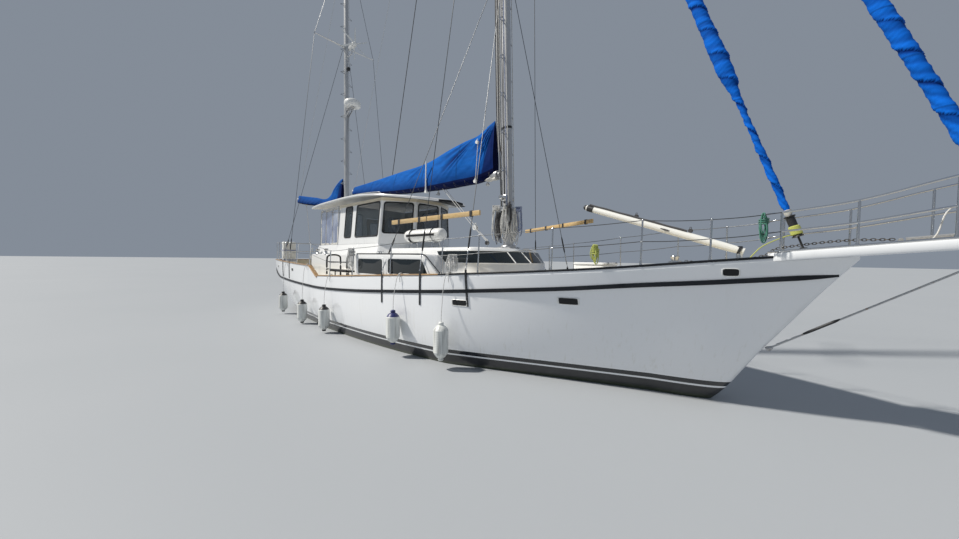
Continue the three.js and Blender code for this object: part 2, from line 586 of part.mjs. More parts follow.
for (const [name, side] of SIDES) {
  const outline = (z) => [[POST_X[0] + 24, -4], [POST_X[1] - 24, -4], [POST_X[1] - 24, 4], [POST_X[0] + 24, 4]]
    .map(([x, y]) => [x, postSpot(x, side, z)[1] + y]);
  const [low, high] = [SILL_Z + SEAT_GAP, FRAME_HEAD_Z - 17];
  add(`side_curtain_${name}`, frustum(outline(low), outline(high), low, high), 'clear');
}

// Cockpit seats and helm
add('cockpit_bench', box(-4480, -3500, -1110, 1110, AFT_DECK_Z + SEAT_GAP, 1850)
  .subtract(box(-4080, -3400, -680, 680, 1300, 1900)), 'cream');
function consoleSolid() {
  const outline = [[-600, 1400], [-600, 2300], [-420, 2560], [-150, 2560], [-150, 1400]];
  const cabinet = sidePrism(outline, -560, 560);
  return withoutHull(cabinet);
}
add('helm_console', consoleSolid(), 'cream');
const WHEEL = { x: -640, z: 2230, radius: 300 };
function wheelSolid() {
  const rim = solid(new THREE.TorusGeometry(WHEEL.radius, 14, 5, 20).rotateY(Math.PI / 2));
  const spokes = [0, 1, 2, 3, 4].map((i) => {
    const angle = (i * 2 * Math.PI) / 5;
    const end = [0, WHEEL.radius * Math.cos(angle), WHEEL.radius * Math.sin(angle)];
    return rod([0, 0, 0], end, 8, { sides: 5 });
  });
  return join(rim, spokes, rod([-30, 0, 0], [40 - SEAT_GAP, 0, 0], 28, { sides: 12 }));
}
add('steering_wheel', wheelSolid(), 'steel', [WHEEL.x, 0, WHEEL.z]);

// Foredeck hatch and its lid
const HATCH = { x: [4780, 5380], y: 300, z: 1960 };
const HATCH_PIN = { ahead: 12, z: 12, radius: 9 };
function hatchCoaming() {
  const ring = box(...HATCH.x, -HATCH.y, HATCH.y, 1500, HATCH.z)
    .subtract(box(HATCH.x[0] + 40, HATCH.x[1] - 40, -HATCH.y + 40, HATCH.y - 40, 1400, 2100));
  const shelfTop = HATCH.z + HATCH_PIN.z - HATCH_PIN.radius - SEAT_GAP;
  const hingeShelf = box(HATCH.x[1] - 5, HATCH.x[1] + 25, -200, 200, HATCH.z - 40, shelfTop);
  return withoutHull(ring.add(hingeShelf));
}
add('foredeck_hatch_coaming', hatchCoaming(), 'gelcoat');
add('foredeck_hatch_lid', box(-615, 0, -315, 315, 6, 46)
  .add(rod([0, -200, HATCH_PIN.z], [0, 200, HATCH_PIN.z], HATCH_PIN.radius, { sides: 24 })),
'gelcoat', [HATCH.x[1] + HATCH_PIN.ahead, 0, HATCH.z]);

// Masts and what they carry
function along([x0, z0], [x1, z1], z) {
  return mix(x0, x1, (z - z0) / (z1 - z0));
}
const mainX = (z) => along(MAIN_FOOT, MAIN_HEAD, z);
const mizzenX = (z) => along(MIZZEN_FOOT, MIZZEN_HEAD, z);
const MAIN_HALF = [130, 88];     // half-section fore and aft, and athwart
const MIZZEN_HALF = [100, 80];
function mastSolid([x0, z0], [x1, z1], [a, b], foot) {
  const ring = (x, z, k) => [...Array(12).keys()].map((i) => {
    const angle = (i * Math.PI) / 6;
    return [x + k * a * Math.cos(angle), k * b * Math.sin(angle), z];
  });
  const shoulder = ring(mix(x0, x1, 0.8), mix(z0, z1, 0.8), 1);
  const spar = loft([ring(x0, z0 + SEAT_GAP, 1), shoulder, ring(x1, z1, 0.72)]);
  return join(spar, box(x0 - foot, x0 + foot, -foot, foot, z0 + SEAT_GAP, z0 + 24));
}
// Two ears on the after side of a mast that hold the boom's pin, which is parallel to the mast
const PIN = { half: 45, radius: 24 };
const rakeOf = ([x0, z0], [x1, z1]) => (x1 - x0) / (z1 - z0);
const MAIN_RAKE = rakeOf(MAIN_FOOT, MAIN_HEAD);
const MIZZEN_RAKE = rakeOf(MIZZEN_FOOT, MIZZEN_HEAD);
function gooseneck([pinX, pinZ], reach, rake) {
  const off = PIN.half + PIN.radius * Math.abs(rake) + SEAT_GAP;
  const ear = (z) => box(pinX - 28, reach, -30, 30, z, z + 30);
  return ear(pinZ - off - 30).add(ear(pinZ + off));
}
const mainMast = join(mastSolid(MAIN_FOOT, MAIN_HEAD, MAIN_HALF, 190),
  gooseneck(MAIN_BOOM_PIN, mainX(MAIN_BOOM_PIN[1]) - 60, MAIN_RAKE));
const mizzenMast = join(mastSolid(MIZZEN_FOOT, MIZZEN_HEAD, MIZZEN_HALF, 150),
  gooseneck(MIZZEN_BOOM_PIN, mizzenX(MIZZEN_BOOM_PIN[1]) - 50, MIZZEN_RAKE));
add('main_mast', mainMast, 'spar');
add('mizzen_mast', mizzenMast, 'spar');

// Standing rigging, one side of one mast: chainplate x, then what each wire passes.
// Spreaders carry the cap shroud.
const WIRE = 7;
function wireFrom(x, side, through) {
  const y = side * (deckHalf(x) + 7);
  const z = plateHead(x) + SEAT_GAP;
  const screw = rod([x, y, z], [x, y, z + 260], 13);
  return screw.add(rail([[x, y, z + 240], ...through.map(([px, py, pz]) => [px, side * py, pz])], WIRE));
}
function spreader(x, z, root, span, side) {
  return rod([x, side * (root + 2), z], [x - 40, side * (span + 6), z + 60], 34, { r1: 22, flat: 1.5 });
}
const MAIN_SPREADERS = [[8600, 1250], [14500, 1050]];      // height, span from the centreline
const MIZZEN_SPREADER = [10000, 1150];
function mainRigging(side) {
  const root = MAIN_HALF[1] + SEAT_GAP;
  const cap = wireFrom(2400, side, [
    ...MAIN_SPREADERS.map(([z, span]) => [mainX(z) - 40, span, z + 60]), [mainX(20500), MAIN_HALF[1] - 12, 20500]]);
  const [low] = MAIN_SPREADERS[0];
  const lowers = [[1200, -70], [3500, 70]].map(([x, off]) => (
    wireFrom(x, side, [[mainX(low) + off, root + 30, low - 60]])));
  const middle = mainX(low);
  const tang = box(middle - 100, middle + 100, ...halfSpace(side, root, root + 40), low - 110, low + 20);
  const arms = MAIN_SPREADERS.map(([z, span]) => spreader(mainX(z), z, root, span, side));
  return join(cap, lowers, tang, arms);
}
function mizzenRigging(side) {
  const root = MIZZEN_HALF[1] + SEAT_GAP;
  const [z, span] = MIZZEN_SPREADER;
  const head = [mizzenX(14000), MIZZEN_HALF[1] - 10, 14000];
  const cap = wireFrom(-5150, side, [[mizzenX(z) - 40, span, z + 60], head]);
  const lower = wireFrom(-6250, side, [[mizzenX(z) - 60, root + 30, z - 60]]);
  const tang = box(mizzenX(z) - 90, mizzenX(z) + 60, ...halfSpace(side, root, root + 40), z - 110, z + 20);
  return join(cap, lower, tang, spreader(mizzenX(z), z, root, span, side));
}
// Timber lashed to the main shrouds: x, y and z of its ends
const LASHED_PLANK = {
  starboard: [[1210, -1883, 2815], [3600, -1580, 2875]],
  port: [[2050, 1999, 2840], [4400, 1288, 2930]],
};
const PLANK_HALF = [22, 45];
function lashedPlank(ends) {
  const corners = [[-1, -1], [1, -1], [1, 1], [-1, 1]];
  return loft(ends.map(([x, y, z]) => (
    corners.map(([a, b]) => [x, y + a * PLANK_HALF[0], z + b * PLANK_HALF[1]]))));
}
for (const [name, side] of SIDES) {
  const rigging = mainRigging(side);
  add(`main_rigging_${name}`, rigging, 'steel');
  add(`mizzen_rigging_${name}`, mizzenRigging(side), 'steel');
  add(`lashed_plank_${name}`, clearOf(rigging, lashedPlank(LASHED_PLANK[name])), 'pine');
}
const TRIATIC_Z = [20600, 14200];
function triaticSolid() {
  const [high, low] = TRIATIC_Z;
  const wire = rod([mainX(high) - 60, 0, high], [mizzenX(low) + 50, 0, low], WIRE, { sides: 6 });
  return clearOf(mainMast, clearOf(mizzenMast, wire));
}
add('triatic_stay', triaticSolid(), 'steel');

// Booms, turned about their goosenecks, with the sails stowed under covers
const MAIN_BOOM_LENGTH = 7200;
const MAIN_BOOM_RISE = 0.0652;
const MIZZEN_BOOM_LENGTH = 3350;
const MIZZEN_BOOM_RISE = 0.13;
const BOOM_RADIUS = [85, 70];
function boomSolid(length, rise, radius, rake) {
  return join(
    rod([-60, 0, 0], [-length, 0, rise * length], radius, { sides: 12 }),
    rod([-rake * PIN.half, 0, -PIN.half], [rake * PIN.half, 0, PIN.half], PIN.radius, { sides: 12 }),
    box(-80, 0, -16, 16, -16, 16),
  );
}
add('main_boom', boomSolid(MAIN_BOOM_LENGTH, MAIN_BOOM_RISE, BOOM_RADIUS[0], MAIN_RAKE), 'spar',
  [MAIN_BOOM_PIN[0], 0, MAIN_BOOM_PIN[1]]);
add('mizzen_boom', boomSolid(MIZZEN_BOOM_LENGTH, MIZZEN_BOOM_RISE, BOOM_RADIUS[1], MIZZEN_RAKE), 'spar',
  [MIZZEN_BOOM_PIN[0], 0, MIZZEN_BOOM_PIN[1]],
  [0, 0, THREE.MathUtils.degToRad(-MIZZEN_BOOM_SWUNG)]);

// Sail covers, laced round their booms:
// distance abaft the gooseneck, foot and head from the pin, half-thickness
const MAIN_COVER = [
  [140, -105, 1255, 112], [430, -103, 1165, 150], [720, -103, 1050, 175], [1200, -100, 1000, 200],
  [1760, -95, 920, 210], [2700, -55, 745, 205], [4100, 35, 700, 185], [6000, 230, 650, 140],
  [7080, 335, 635, 112],
];
const MIZZEN_COVER = [
  [130, -88, 990, 94], [280, -84, 945, 105], [650, -75, 707, 118], [900, -58, 430, 126],
  [1200, -30, 300, 130], [1960, 62, 404, 130], [2860, 190, 537, 112], [3260, 265, 600, 92],
];
// Shape of a cover's section: share of the half-thickness, share of the height
const COVER_RING = [[0.5, 0], [0.92, 0.08], [1, 0.3], [0.62, 0.72], [0.2, 1]];
function coverSolid(rows, length, rise, radius, rake) {
  const bundle = loft(rows.map(([s, foot, head, half]) => {
    const lean = (z) => (s < 400 ? -rake * z : 0);
    const side = COVER_RING.map(([w, k]) => [-s - lean(mix(foot, head, k)), half * w, mix(foot, head, k)]);
    return [...side, ...side.map(([x, y, z]) => [x, -y, z]).reverse()];
  }));
  const tunnel = rod([-60, 0, 0], [-length, 0, rise * length], radius + 1.2 * SEAT_GAP, { sides: 12 });
  return bundle.subtract(tunnel);
}
add('main_sail_cover', coverSolid(MAIN_COVER, MAIN_BOOM_LENGTH, MAIN_BOOM_RISE, BOOM_RADIUS[0], MAIN_RAKE), 'canvas',
  [MAIN_BOOM_PIN[0], 0, MAIN_BOOM_PIN[1]]);
add('mizzen_sail_cover', coverSolid(MIZZEN_COVER, MIZZEN_BOOM_LENGTH, MIZZEN_BOOM_RISE, BOOM_RADIUS[1], MIZZEN_RAKE),
  'canvas', [MIZZEN_BOOM_PIN[0], 0, MIZZEN_BOOM_PIN[1]], [0, 0, THREE.MathUtils.degToRad(-MIZZEN_BOOM_SWUNG)]);

// Staysail boom on its pedestal
function pedestalSolid() {
  const stand = rod([CLUB_PIN[0], 0, 1900], [CLUB_PIN[0], 0, CLUB_PIN[1] - 70], 40, { sides: 12 });
  return withoutHull(stand);
}
add('staysail_boom_pedestal', pedestalSolid(), 'steel');
add('staysail_boom', join(
  rod([60, 0, -10], [-2330, 0, 830], 58, { sides: 12 }),
  rod([0, 0, -70 + SEAT_GAP], [0, 0, 60], 26, { sides: 12 }),
  box(-110, 0, -18, 18, -18, 30),
), 'paint', [CLUB_PIN[0], 0, CLUB_PIN[1]]);

// Plank bowsprit, with the pulpit round it and the bobstay under it
const PLANK = [[7540, 380], [7700, 500], [9300, 500], [9520, 420], [9600, 250]];      // x, half-breadth
const PLANK_THICK = 110;
const plankTop = (x) => 2054 + SEAT_GAP + (x - 7540) * PLANK_SLOPE + PLANK_THICK;
function plankSolid() {
  const flat = prism(bothSides(PLANK), 0, PLANK_THICK);
  return flat.warp((v) => { v[2] += plankTop(v[0]) - PLANK_THICK; });
}
const plank = plankSolid();
add('bowsprit', plank, 'gelcoat');
const onPlank = (part) => part.subtract(plank.translate([0, 0, SEAT_GAP]));
// Feet of the pulpit: x, half-breadth, height of the rail
const PULPIT = [[7660, 440, 490], [8300, 440, 510], [8950, 440, 620], [9480, 380, 680]];
function pulpitSolid() {
  const spots = PULPIT.map(([x, y, h]) => [x, y, plankTop(x) + SEAT_GAP, h]);
  const side = (s, k) => spots.map(([x, y, z, h]) => [x, s * y, z + h * k]);
  const hoop = (k) => rail([...side(-1, k), ...side(1, k).reverse()], 13);
  const post = ([x, y, z, h], s) => rod([x, s * y, z - 9], [x, s * y, z + h], 13, { sides: 6 });
  const posts = spots.flatMap((spot) => [-1, 1].map((s) => post(spot, s)));
  return onPlank(join(hoop(1), hoop(0.52), posts));
}
add('pulpit', pulpitSolid(), 'steel');
const BOBSTAY_FOOT = [7560, 0, 870];
const BOBSTAY_HEAD = [9440, 0, plankTop(9440) - PLANK_THICK + 20];
const bobstay = withoutHull(rod(BOBSTAY_FOOT, BOBSTAY_HEAD, 16, { sides: 8 }), [[SEAT_GAP, 0, -SEAT_GAP]]);
add('bobstay', clearOf(plank, bobstay, [[0, 0, -SEAT_GAP]]), 'galvanised');

// Furled headsails on their stays: rows of distance along the stay and radius
function stayPoint(foot, head, distance) {
  const [a, b] = [point(foot), point(head)];
  return a.add(b.sub(a).normalize().multiplyScalar(distance)).toArray();
}
const GENOA = { foot: [9440, 0, plankTop(9440) + SEAT_GAP], head: [mainX(20650) + 106, 0, 20650] };
const STAYSAIL = { foot: [7880, 0, plankTop(7880) + SEAT_GAP], head: [mainX(17400) + 139, 0, 17400] };
const lengthOf = ({ foot, head }) => point(foot).distanceTo(point(head));
function furledSail(stay, rows) {
  const heading = point(stay.head).sub(point(stay.foot)).normalize();
  const across = new THREE.Vector3(heading.z, 0, -heading.x);
  return loft(rows.map(([distance, radius]) => {
    const centre = point(stayPoint(stay.foot, stay.head, distance));
    return [...Array(10).keys()].map((i) => {
      const angle = (i * Math.PI) / 5;
      const point = centre.clone().addScaledVector(across, radius * Math.cos(angle));
      return point.setY(radius * Math.sin(angle)).toArray();
    });
  }));
}
function drumSolid(stay, { at, radius, high }) {
  const spot = (s) => stayPoint(stay.foot, stay.head, s);
  return join(
    rod(spot(22), spot(at + 10), 15, { sides: 8 }),
    rod(spot(at), spot(at + 14), radius, { sides: 16 }),
    rod(spot(at + 10), spot(at + high - 10), radius * 0.7, { sides: 16 }),
    rod(spot(at + high - 14), spot(at + high), radius, { sides: 16 }),
    onPlank(box(stay.foot[0] - 45, stay.foot[0] + 20, -20, 20, stay.foot[2] - 9, stay.foot[2] + 42)),
  );
}
const GENOA_DRUM = { at: 420, radius: 85, high: 190 };
const STAYSAIL_DRUM = { at: 200, radius: 60, high: 290 };
add('genoa_drum', drumSolid(GENOA, GENOA_DRUM), 'black');
add('furled_genoa', furledSail(GENOA, [
  [GENOA_DRUM.at + GENOA_DRUM.high + SEAT_GAP, 30], [760, 52], [1600, 66], [15500, 52],
  [lengthOf(GENOA) - 900, 34],
  [lengthOf(GENOA) - 1, 12]]), 'canvas');
add('staysail_drum', drumSolid(STAYSAIL, STAYSAIL_DRUM), 'black');
add('furled_staysail', furledSail(STAYSAIL, [
  [STAYSAIL_DRUM.at + STAYSAIL_DRUM.high + SEAT_GAP, 28], [600, 46], [2400, 50], [2600, 80],
  [3700, 88], [11500, 72],
  [lengthOf(STAYSAIL) - 900, 38], [lengthOf(STAYSAIL) - 1, 12]]), 'canvas');

// Guard rails: stanchion x, lean inboard at the top, clear of the shrouds
const STANCHIONS = [
  [-7300, 0], [-5800, 0], [-4300, 60], [-2960, 30], [-1400, 30], [-120, 30], [1450, 30], [2920, 30],
  [3720, 30], [5000, 30], [6200, 30], [6970, 30],
];
// Stanchions stand lower towards the bow, where the wires meet the pulpit
const stanchionHeight = (x) => 660 - 120 * clamp((x - 6000) / 1000, 0, 1);
function stanchionFoot(x) {
  if (x <= BULWARK_X[1]) return [deckHalf(x) - 30, bulwarkTop(x) + 30 + 2 * SEAT_GAP];
  return [railY(x), edgeHeight(x) + RAIL_HEIGHT];
}
// The middle wire stops where the raised deck stands beside the rail
function guardRail(side) {
  const up = ([x, lean], k) => {
    const [y, z] = stanchionFoot(x);
    return [x, side * (y - lean * k), z + stanchionHeight(x) * k];
  };
  const wire = (rows, k) => rail(rows.map((row) => up(row, k)), 6, 5);
  const [aft, fore] = [STANCHIONS.filter(([x]) => x < 0), STANCHIONS.filter(([x]) => x > 2900)];
  const rooted = ([x]) => (x > BULWARK_X[1] ? -0.01 : 0.002);
  const posts = STANCHIONS.map((row) => rod(up(row, rooted(row)), up(row, 1.02), 13, { sides: 6 }));
  return withoutHull(join(wire(STANCHIONS, 0.99), wire(aft, 0.52), wire(fore, 0.52), posts), AROUND);
}
for (const [name, side] of SIDES) add(`guard_rail_${name}`, guardRail(side), 'steel');
function pushpitSolid() {
  const corner = [[-7420, 1], [-8150, 1], [-8380, 0.83]];
  const footZ = (x) => bulwarkTop(x) + 30 + 2 * SEAT_GAP;
  const foot = corner.map(([x, k]) => [x, (deckHalf(Math.max(x, -8150)) - 40) * k, footZ(x)]);
  const side = (s, h) => foot.map(([x, y, z]) => [x, s * y, z + h]);
  const hoop = (h) => rail([...side(-1, h), ...side(1, h).reverse()], 13);
  const post = ([x, y, z], s) => rod([x, s * y, z], [x, s * y, z + 700], 13, { sides: 6 });
  const posts = [-1, 1].flatMap((s) => foot.map((spot) => post(spot, s)));
  return join(hoop(690), hoop(350), posts);
}
add('pushpit', pushpitSolid(), 'steel');
add('stern_lockers', join([-1300, -1050].map((y) => box(-8300, -8060, y, y + 235, AFT_DECK_Z + SEAT_GAP, 2640)),
  box(-8290, -8070, -1250, -850, AFT_DECK_Z + SEAT_GAP, 2600)), 'vinyl');

// Deck gear
const CANISTER = { x: 1090, y: -900, z: 2590, radius: 160, length: 1450, foot: 130 };
function canisterSolid() {
  const { x, y, z, radius, length, foot } = CANISTER;
  const capsule = new THREE.CapsuleGeometry(radius, length - 2 * radius, 4, 12);
  const shell = solid(capsule.rotateZ(Math.PI / 2).translate(x, y, z));
  const cradle = [-450, 450].map((off) => (
    box(x + off - 20, x + off + 20, y - foot, y + foot, COACHROOF_TOP + SEAT_GAP, z - 90)));
  return join(shell, cradle);
}
add('liferaft_canister', canisterSolid(), 'gelcoat');
function windlassSolid() {
  const base = box(6250, 6520, -150, 150, 1800, 2010);
  const drum = rod([6390, 0, 2000], [6390, 0, 2140], 75, { r1: 60, sides: 16 });
  return withoutHull(join(base, drum));
}
add('windlass', windlassSolid(), 'galvanised');
// Fenders: x and the height of the middle
const FENDERS = [[3100, 510], [1800, 600], [-1340, 400], [-3050, 370], [-5370, 420]];
const FENDER_SHAPE = [
  [0, -350], [70, -345], [130, -260], [140, -160], [140, 160], [130, 260], [50, 330], [30, 370], [0, 372],
];
FENDERS.forEach(([x, z], i) => {
  const y = -(deckHalf(x) + 152);
  const body = solid(new THREE.LatheGeometry(FENDER_SHAPE.map(([r, h]) => new THREE.Vector2(r, h)), 12)
    .rotateX(Math.PI / 2).translate(x, y, z));
  const lanyard = rod([x, y, z + 350], [x, -(deckHalf(x) - 25), edgeHeight(x) - 50], 6, { sides: 6 });
  add(`fender_${i + 1}`, withoutHull(body.add(lanyard), [[0, -SEAT_GAP, 0], [0, 0, SEAT_GAP]]), 'vinyl');
});

// Radar scanner and wind generator on the mizzen
function radarSolid() {
  const z = 7760;
  const front = mizzenX(z - 380) + MIZZEN_HALF[0] + SEAT_GAP;
  const dome = solid(new THREE.LatheGeometry([[0, 0], [250, 0], [300, 60], [300, 170], [230, 250], [0, 275]]
    .map(([r, h]) => new THREE.Vector2(r, h)), 20).rotateX(Math.PI / 2).translate(front + 400, 0, z - 130));
  const shelf = box(front, front + 500, -60, 60, z - 180, z - 125);
  return join(dome, shelf, box(front, front + 30, -60, 60, z - 380, z - 130));
}
add('radar_scanner', radarSolid(), 'gelcoat');
const WIND = { x: -4370, z: 9880, radius: 580, shaft: 18 };
function windHead() {
  const front = mizzenX(WIND.z - 290) + MIZZEN_HALF[0] + SEAT_GAP;
  return join(
    rod([front, 0, WIND.z - 260], [WIND.x - 230, 0, WIND.z - 260], 24, { sides: 8 }),
    rod([WIND.x - 230, 0, WIND.z - 280], [WIND.x - 230, 0, WIND.z], 24, { sides: 8 }),
    rod([WIND.x - 400, 0, WIND.z], [WIND.x - 60, 0, WIND.z], 70, { r1: 95, sides: 16 }),
  ).subtract(rod([WIND.x - 130, 0, WIND.z], [WIND.x, 0, WIND.z], WIND.shaft + 0.8, { sides: 24 }));
}
add('wind_generator', windHead(), 'gelcoat');
function windRotor() {
  const hub = solid(new THREE.LatheGeometry([[0, -50], [85, -50], [85, 10], [50, 70], [0, 90]]
    .map(([r, h]) => new THREE.Vector2(r, h)), 16).rotateZ(-Math.PI / 2));
  const blades = [0, 1, 2, 3, 4, 5].map((i) => {
    const blade = new THREE.BoxGeometry(12, 85, WIND.radius - 50).rotateZ(0.45);
    blade.translate(0, 0, (WIND.radius + 50) / 2);
    return solid(blade.rotateX((i * Math.PI) / 3));
  });
  return join(hub, blades, rod([-110, 0, 0], [0, 0, 0], WIND.shaft, { sides: 24 }));
}
add('wind_rotor', windRotor(), 'gelcoat', [WIND.x, 0, WIND.z]);

export default group;
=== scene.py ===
"""A ketch-rigged motor sailer with her covers on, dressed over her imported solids.

Metres. X forward, Y to port, Z up. The water is the plane Z = 0, amidships is X = 0.
"""
import math

import bmesh
import bpy
import numpy as np
from mathutils import Matrix, Vector


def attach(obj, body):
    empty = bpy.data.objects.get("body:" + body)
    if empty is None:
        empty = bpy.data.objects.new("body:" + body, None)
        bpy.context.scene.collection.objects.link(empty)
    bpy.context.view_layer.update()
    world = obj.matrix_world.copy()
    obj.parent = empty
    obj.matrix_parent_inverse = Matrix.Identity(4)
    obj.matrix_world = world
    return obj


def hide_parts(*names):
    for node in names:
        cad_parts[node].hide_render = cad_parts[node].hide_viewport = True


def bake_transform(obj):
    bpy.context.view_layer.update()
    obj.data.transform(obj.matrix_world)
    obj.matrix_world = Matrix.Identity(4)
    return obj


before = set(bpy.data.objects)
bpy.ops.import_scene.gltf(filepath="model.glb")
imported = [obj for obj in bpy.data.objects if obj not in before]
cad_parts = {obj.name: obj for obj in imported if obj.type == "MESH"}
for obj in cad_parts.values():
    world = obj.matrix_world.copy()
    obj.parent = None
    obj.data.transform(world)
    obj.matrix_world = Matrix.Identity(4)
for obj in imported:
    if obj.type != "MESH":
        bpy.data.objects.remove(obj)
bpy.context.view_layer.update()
TAU = 2 * math.pi
BOTH = (-1, 1)                    # starboard, port
SIDES = (("starboard", -1), ("port", 1))

# Camera: the photograph's own, found from its lines
PHOTO_SIZE = (959, 539)
FOCAL_PIXELS = 340
EYE = (7.85, -6.07, 2.05)
EYE_RIGHT = (0.72662377, 0.68689311, 0.01399096)
EYE_UP = (-0.03290186, 0.01444963, 0.99935413)
EYE_AHEAD = (-0.68624731, 0.72661479, -0.0330995)


def make_camera():
    """The eye stands where the photographer stood, with the lens of that picture."""
    data = bpy.data.cameras.new("eye")
    data.sensor_width = 36
    data.lens = FOCAL_PIXELS / PHOTO_SIZE[0] * data.sensor_width
    data.clip_end = 600
    eye = bpy.data.objects.new("eye", data)
    bpy.context.scene.collection.objects.link(eye)
    rows = [[EYE_RIGHT[i], EYE_UP[i], -EYE_AHEAD[i], EYE[i]] for i in range(3)]
    eye.matrix_world = Matrix(rows + [[0, 0, 0, 1]])
    bpy.context.scene.camera = eye


# Arrays and shapes
def flow(x, knots, column=1):
    """Smooth curve through a table's rows. Its slope at a knot is the mean of the slopes on both sides."""
    table = np.asarray(knots, float)
    xs, ys = table[:, 0], table[:, column]
    steep = np.diff(ys) / np.diff(xs)
    slope = np.concatenate([steep[:1], (steep[:-1] + steep[1:]) / 2, steep[-1:]])
    x = np.clip(np.asarray(x, float), xs[0], xs[-1])
    k = np.clip(np.searchsorted(xs, x) - 1, 0, len(xs) - 2)
    wide = xs[k + 1] - xs[k]
    t = (x - xs[k]) / wide
    rise = (3 - 2 * t) * t * t
    bend = (1 - t) * slope[k] - t * slope[k + 1]
    return (1 - rise) * ys[k] + rise * ys[k + 1] + wide * t * (1 - t) * bend


def xyz(x, y, z):
    """Points from three arrays that broadcast together."""
    return np.stack(np.broadcast_arrays(np.asarray(x, float), y, z), axis=-1)


def unit(v):
    """The direction of each vector, as length 1."""
    return v / np.maximum(np.linalg.norm(v, axis=-1, keepdims=True), 1e-12)


def curve(points, count, closed=False):
    """Evenly counted points on a smooth curve through a few (Catmull-Rom)."""
    p = np.asarray(points, float)
    if closed:
        p = np.concatenate([p[-1:], p, p[:2]])
    else:
        p = np.concatenate([2 * p[:1] - p[1:2], p, 2 * p[-1:] - p[-2:-1]])
    t = np.linspace(0, len(p) - 3, count, endpoint=not closed)
    k = np.minimum(t.astype(int), len(p) - 4)
    f = (t - k)[:, None]
    a, b, c, d = p[k], p[k + 1], p[k + 2], p[k + 3]
    return 0.5 * (2 * b + (c - a) * f + (2 * a - 5 * b + 4 * c - d) * f ** 2
                  + (3 * b - a - 3 * c + d) * f ** 3)


def rounded(x0, x1, y0, y1, radius, steps=5):
    """Loop of points round a rectangle with quarter-circle corners."""
    turn = np.linspace(0, math.pi / 2, steps)
    loops = []
    for i, (cx, cy) in enumerate([(x1 - radius, y1 - radius), (x0 + radius, y1 - radius),
                                  (x0 + radius, y0 + radius), (x1 - radius, y0 + radius)]):
        angle = turn + i * math.pi / 2
        loops.append(np.stack([cx + radius * np.cos(angle), cy + radius * np.sin(angle)], axis=-1))
    return np.concatenate(loops)


def bar(wide, high, radius, steps=3):
    """Section of a flat bar in millimetres, centred on its path."""
    return rounded(-wide / 2000, wide / 2000, -high / 2000, high / 2000, radius / 1000, steps)


def corners(middle, half):
    """Lowest and highest corner of a box, from its middle and half its size."""
    middle, half = np.asarray(middle, float), np.array(half)
    return middle - half, middle + half


def grown(loop, by):
    """A flat loop pushed out from its middle by a distance, on each of its two axes."""
    middle = loop.mean(0)
    return middle + (loop - middle) * (1 + by / np.abs(loop - middle).max(0))


def disc(radius, sides=16):
    """Points round a circle."""
    angle = np.arange(sides) * TAU / sides
    return radius * np.stack([np.cos(angle), np.sin(angle)], axis=-1)


def frames(path, up, closed=False):
    """Two directions across a path: one level with `up`, one square to both."""
    ahead = np.roll(path, -1, 0) - np.roll(path, 1, 0) if closed else np.gradient(path, axis=0)
    ahead = unit(ahead)
    up = np.asarray(up, float)
    if abs(unit(path[-1] - path[0]) @ up) > 0.95 and not closed:
        up = np.array([1, 0.1, 0])
    across = unit(np.cross(up, ahead))
    return across, np.cross(ahead, across)


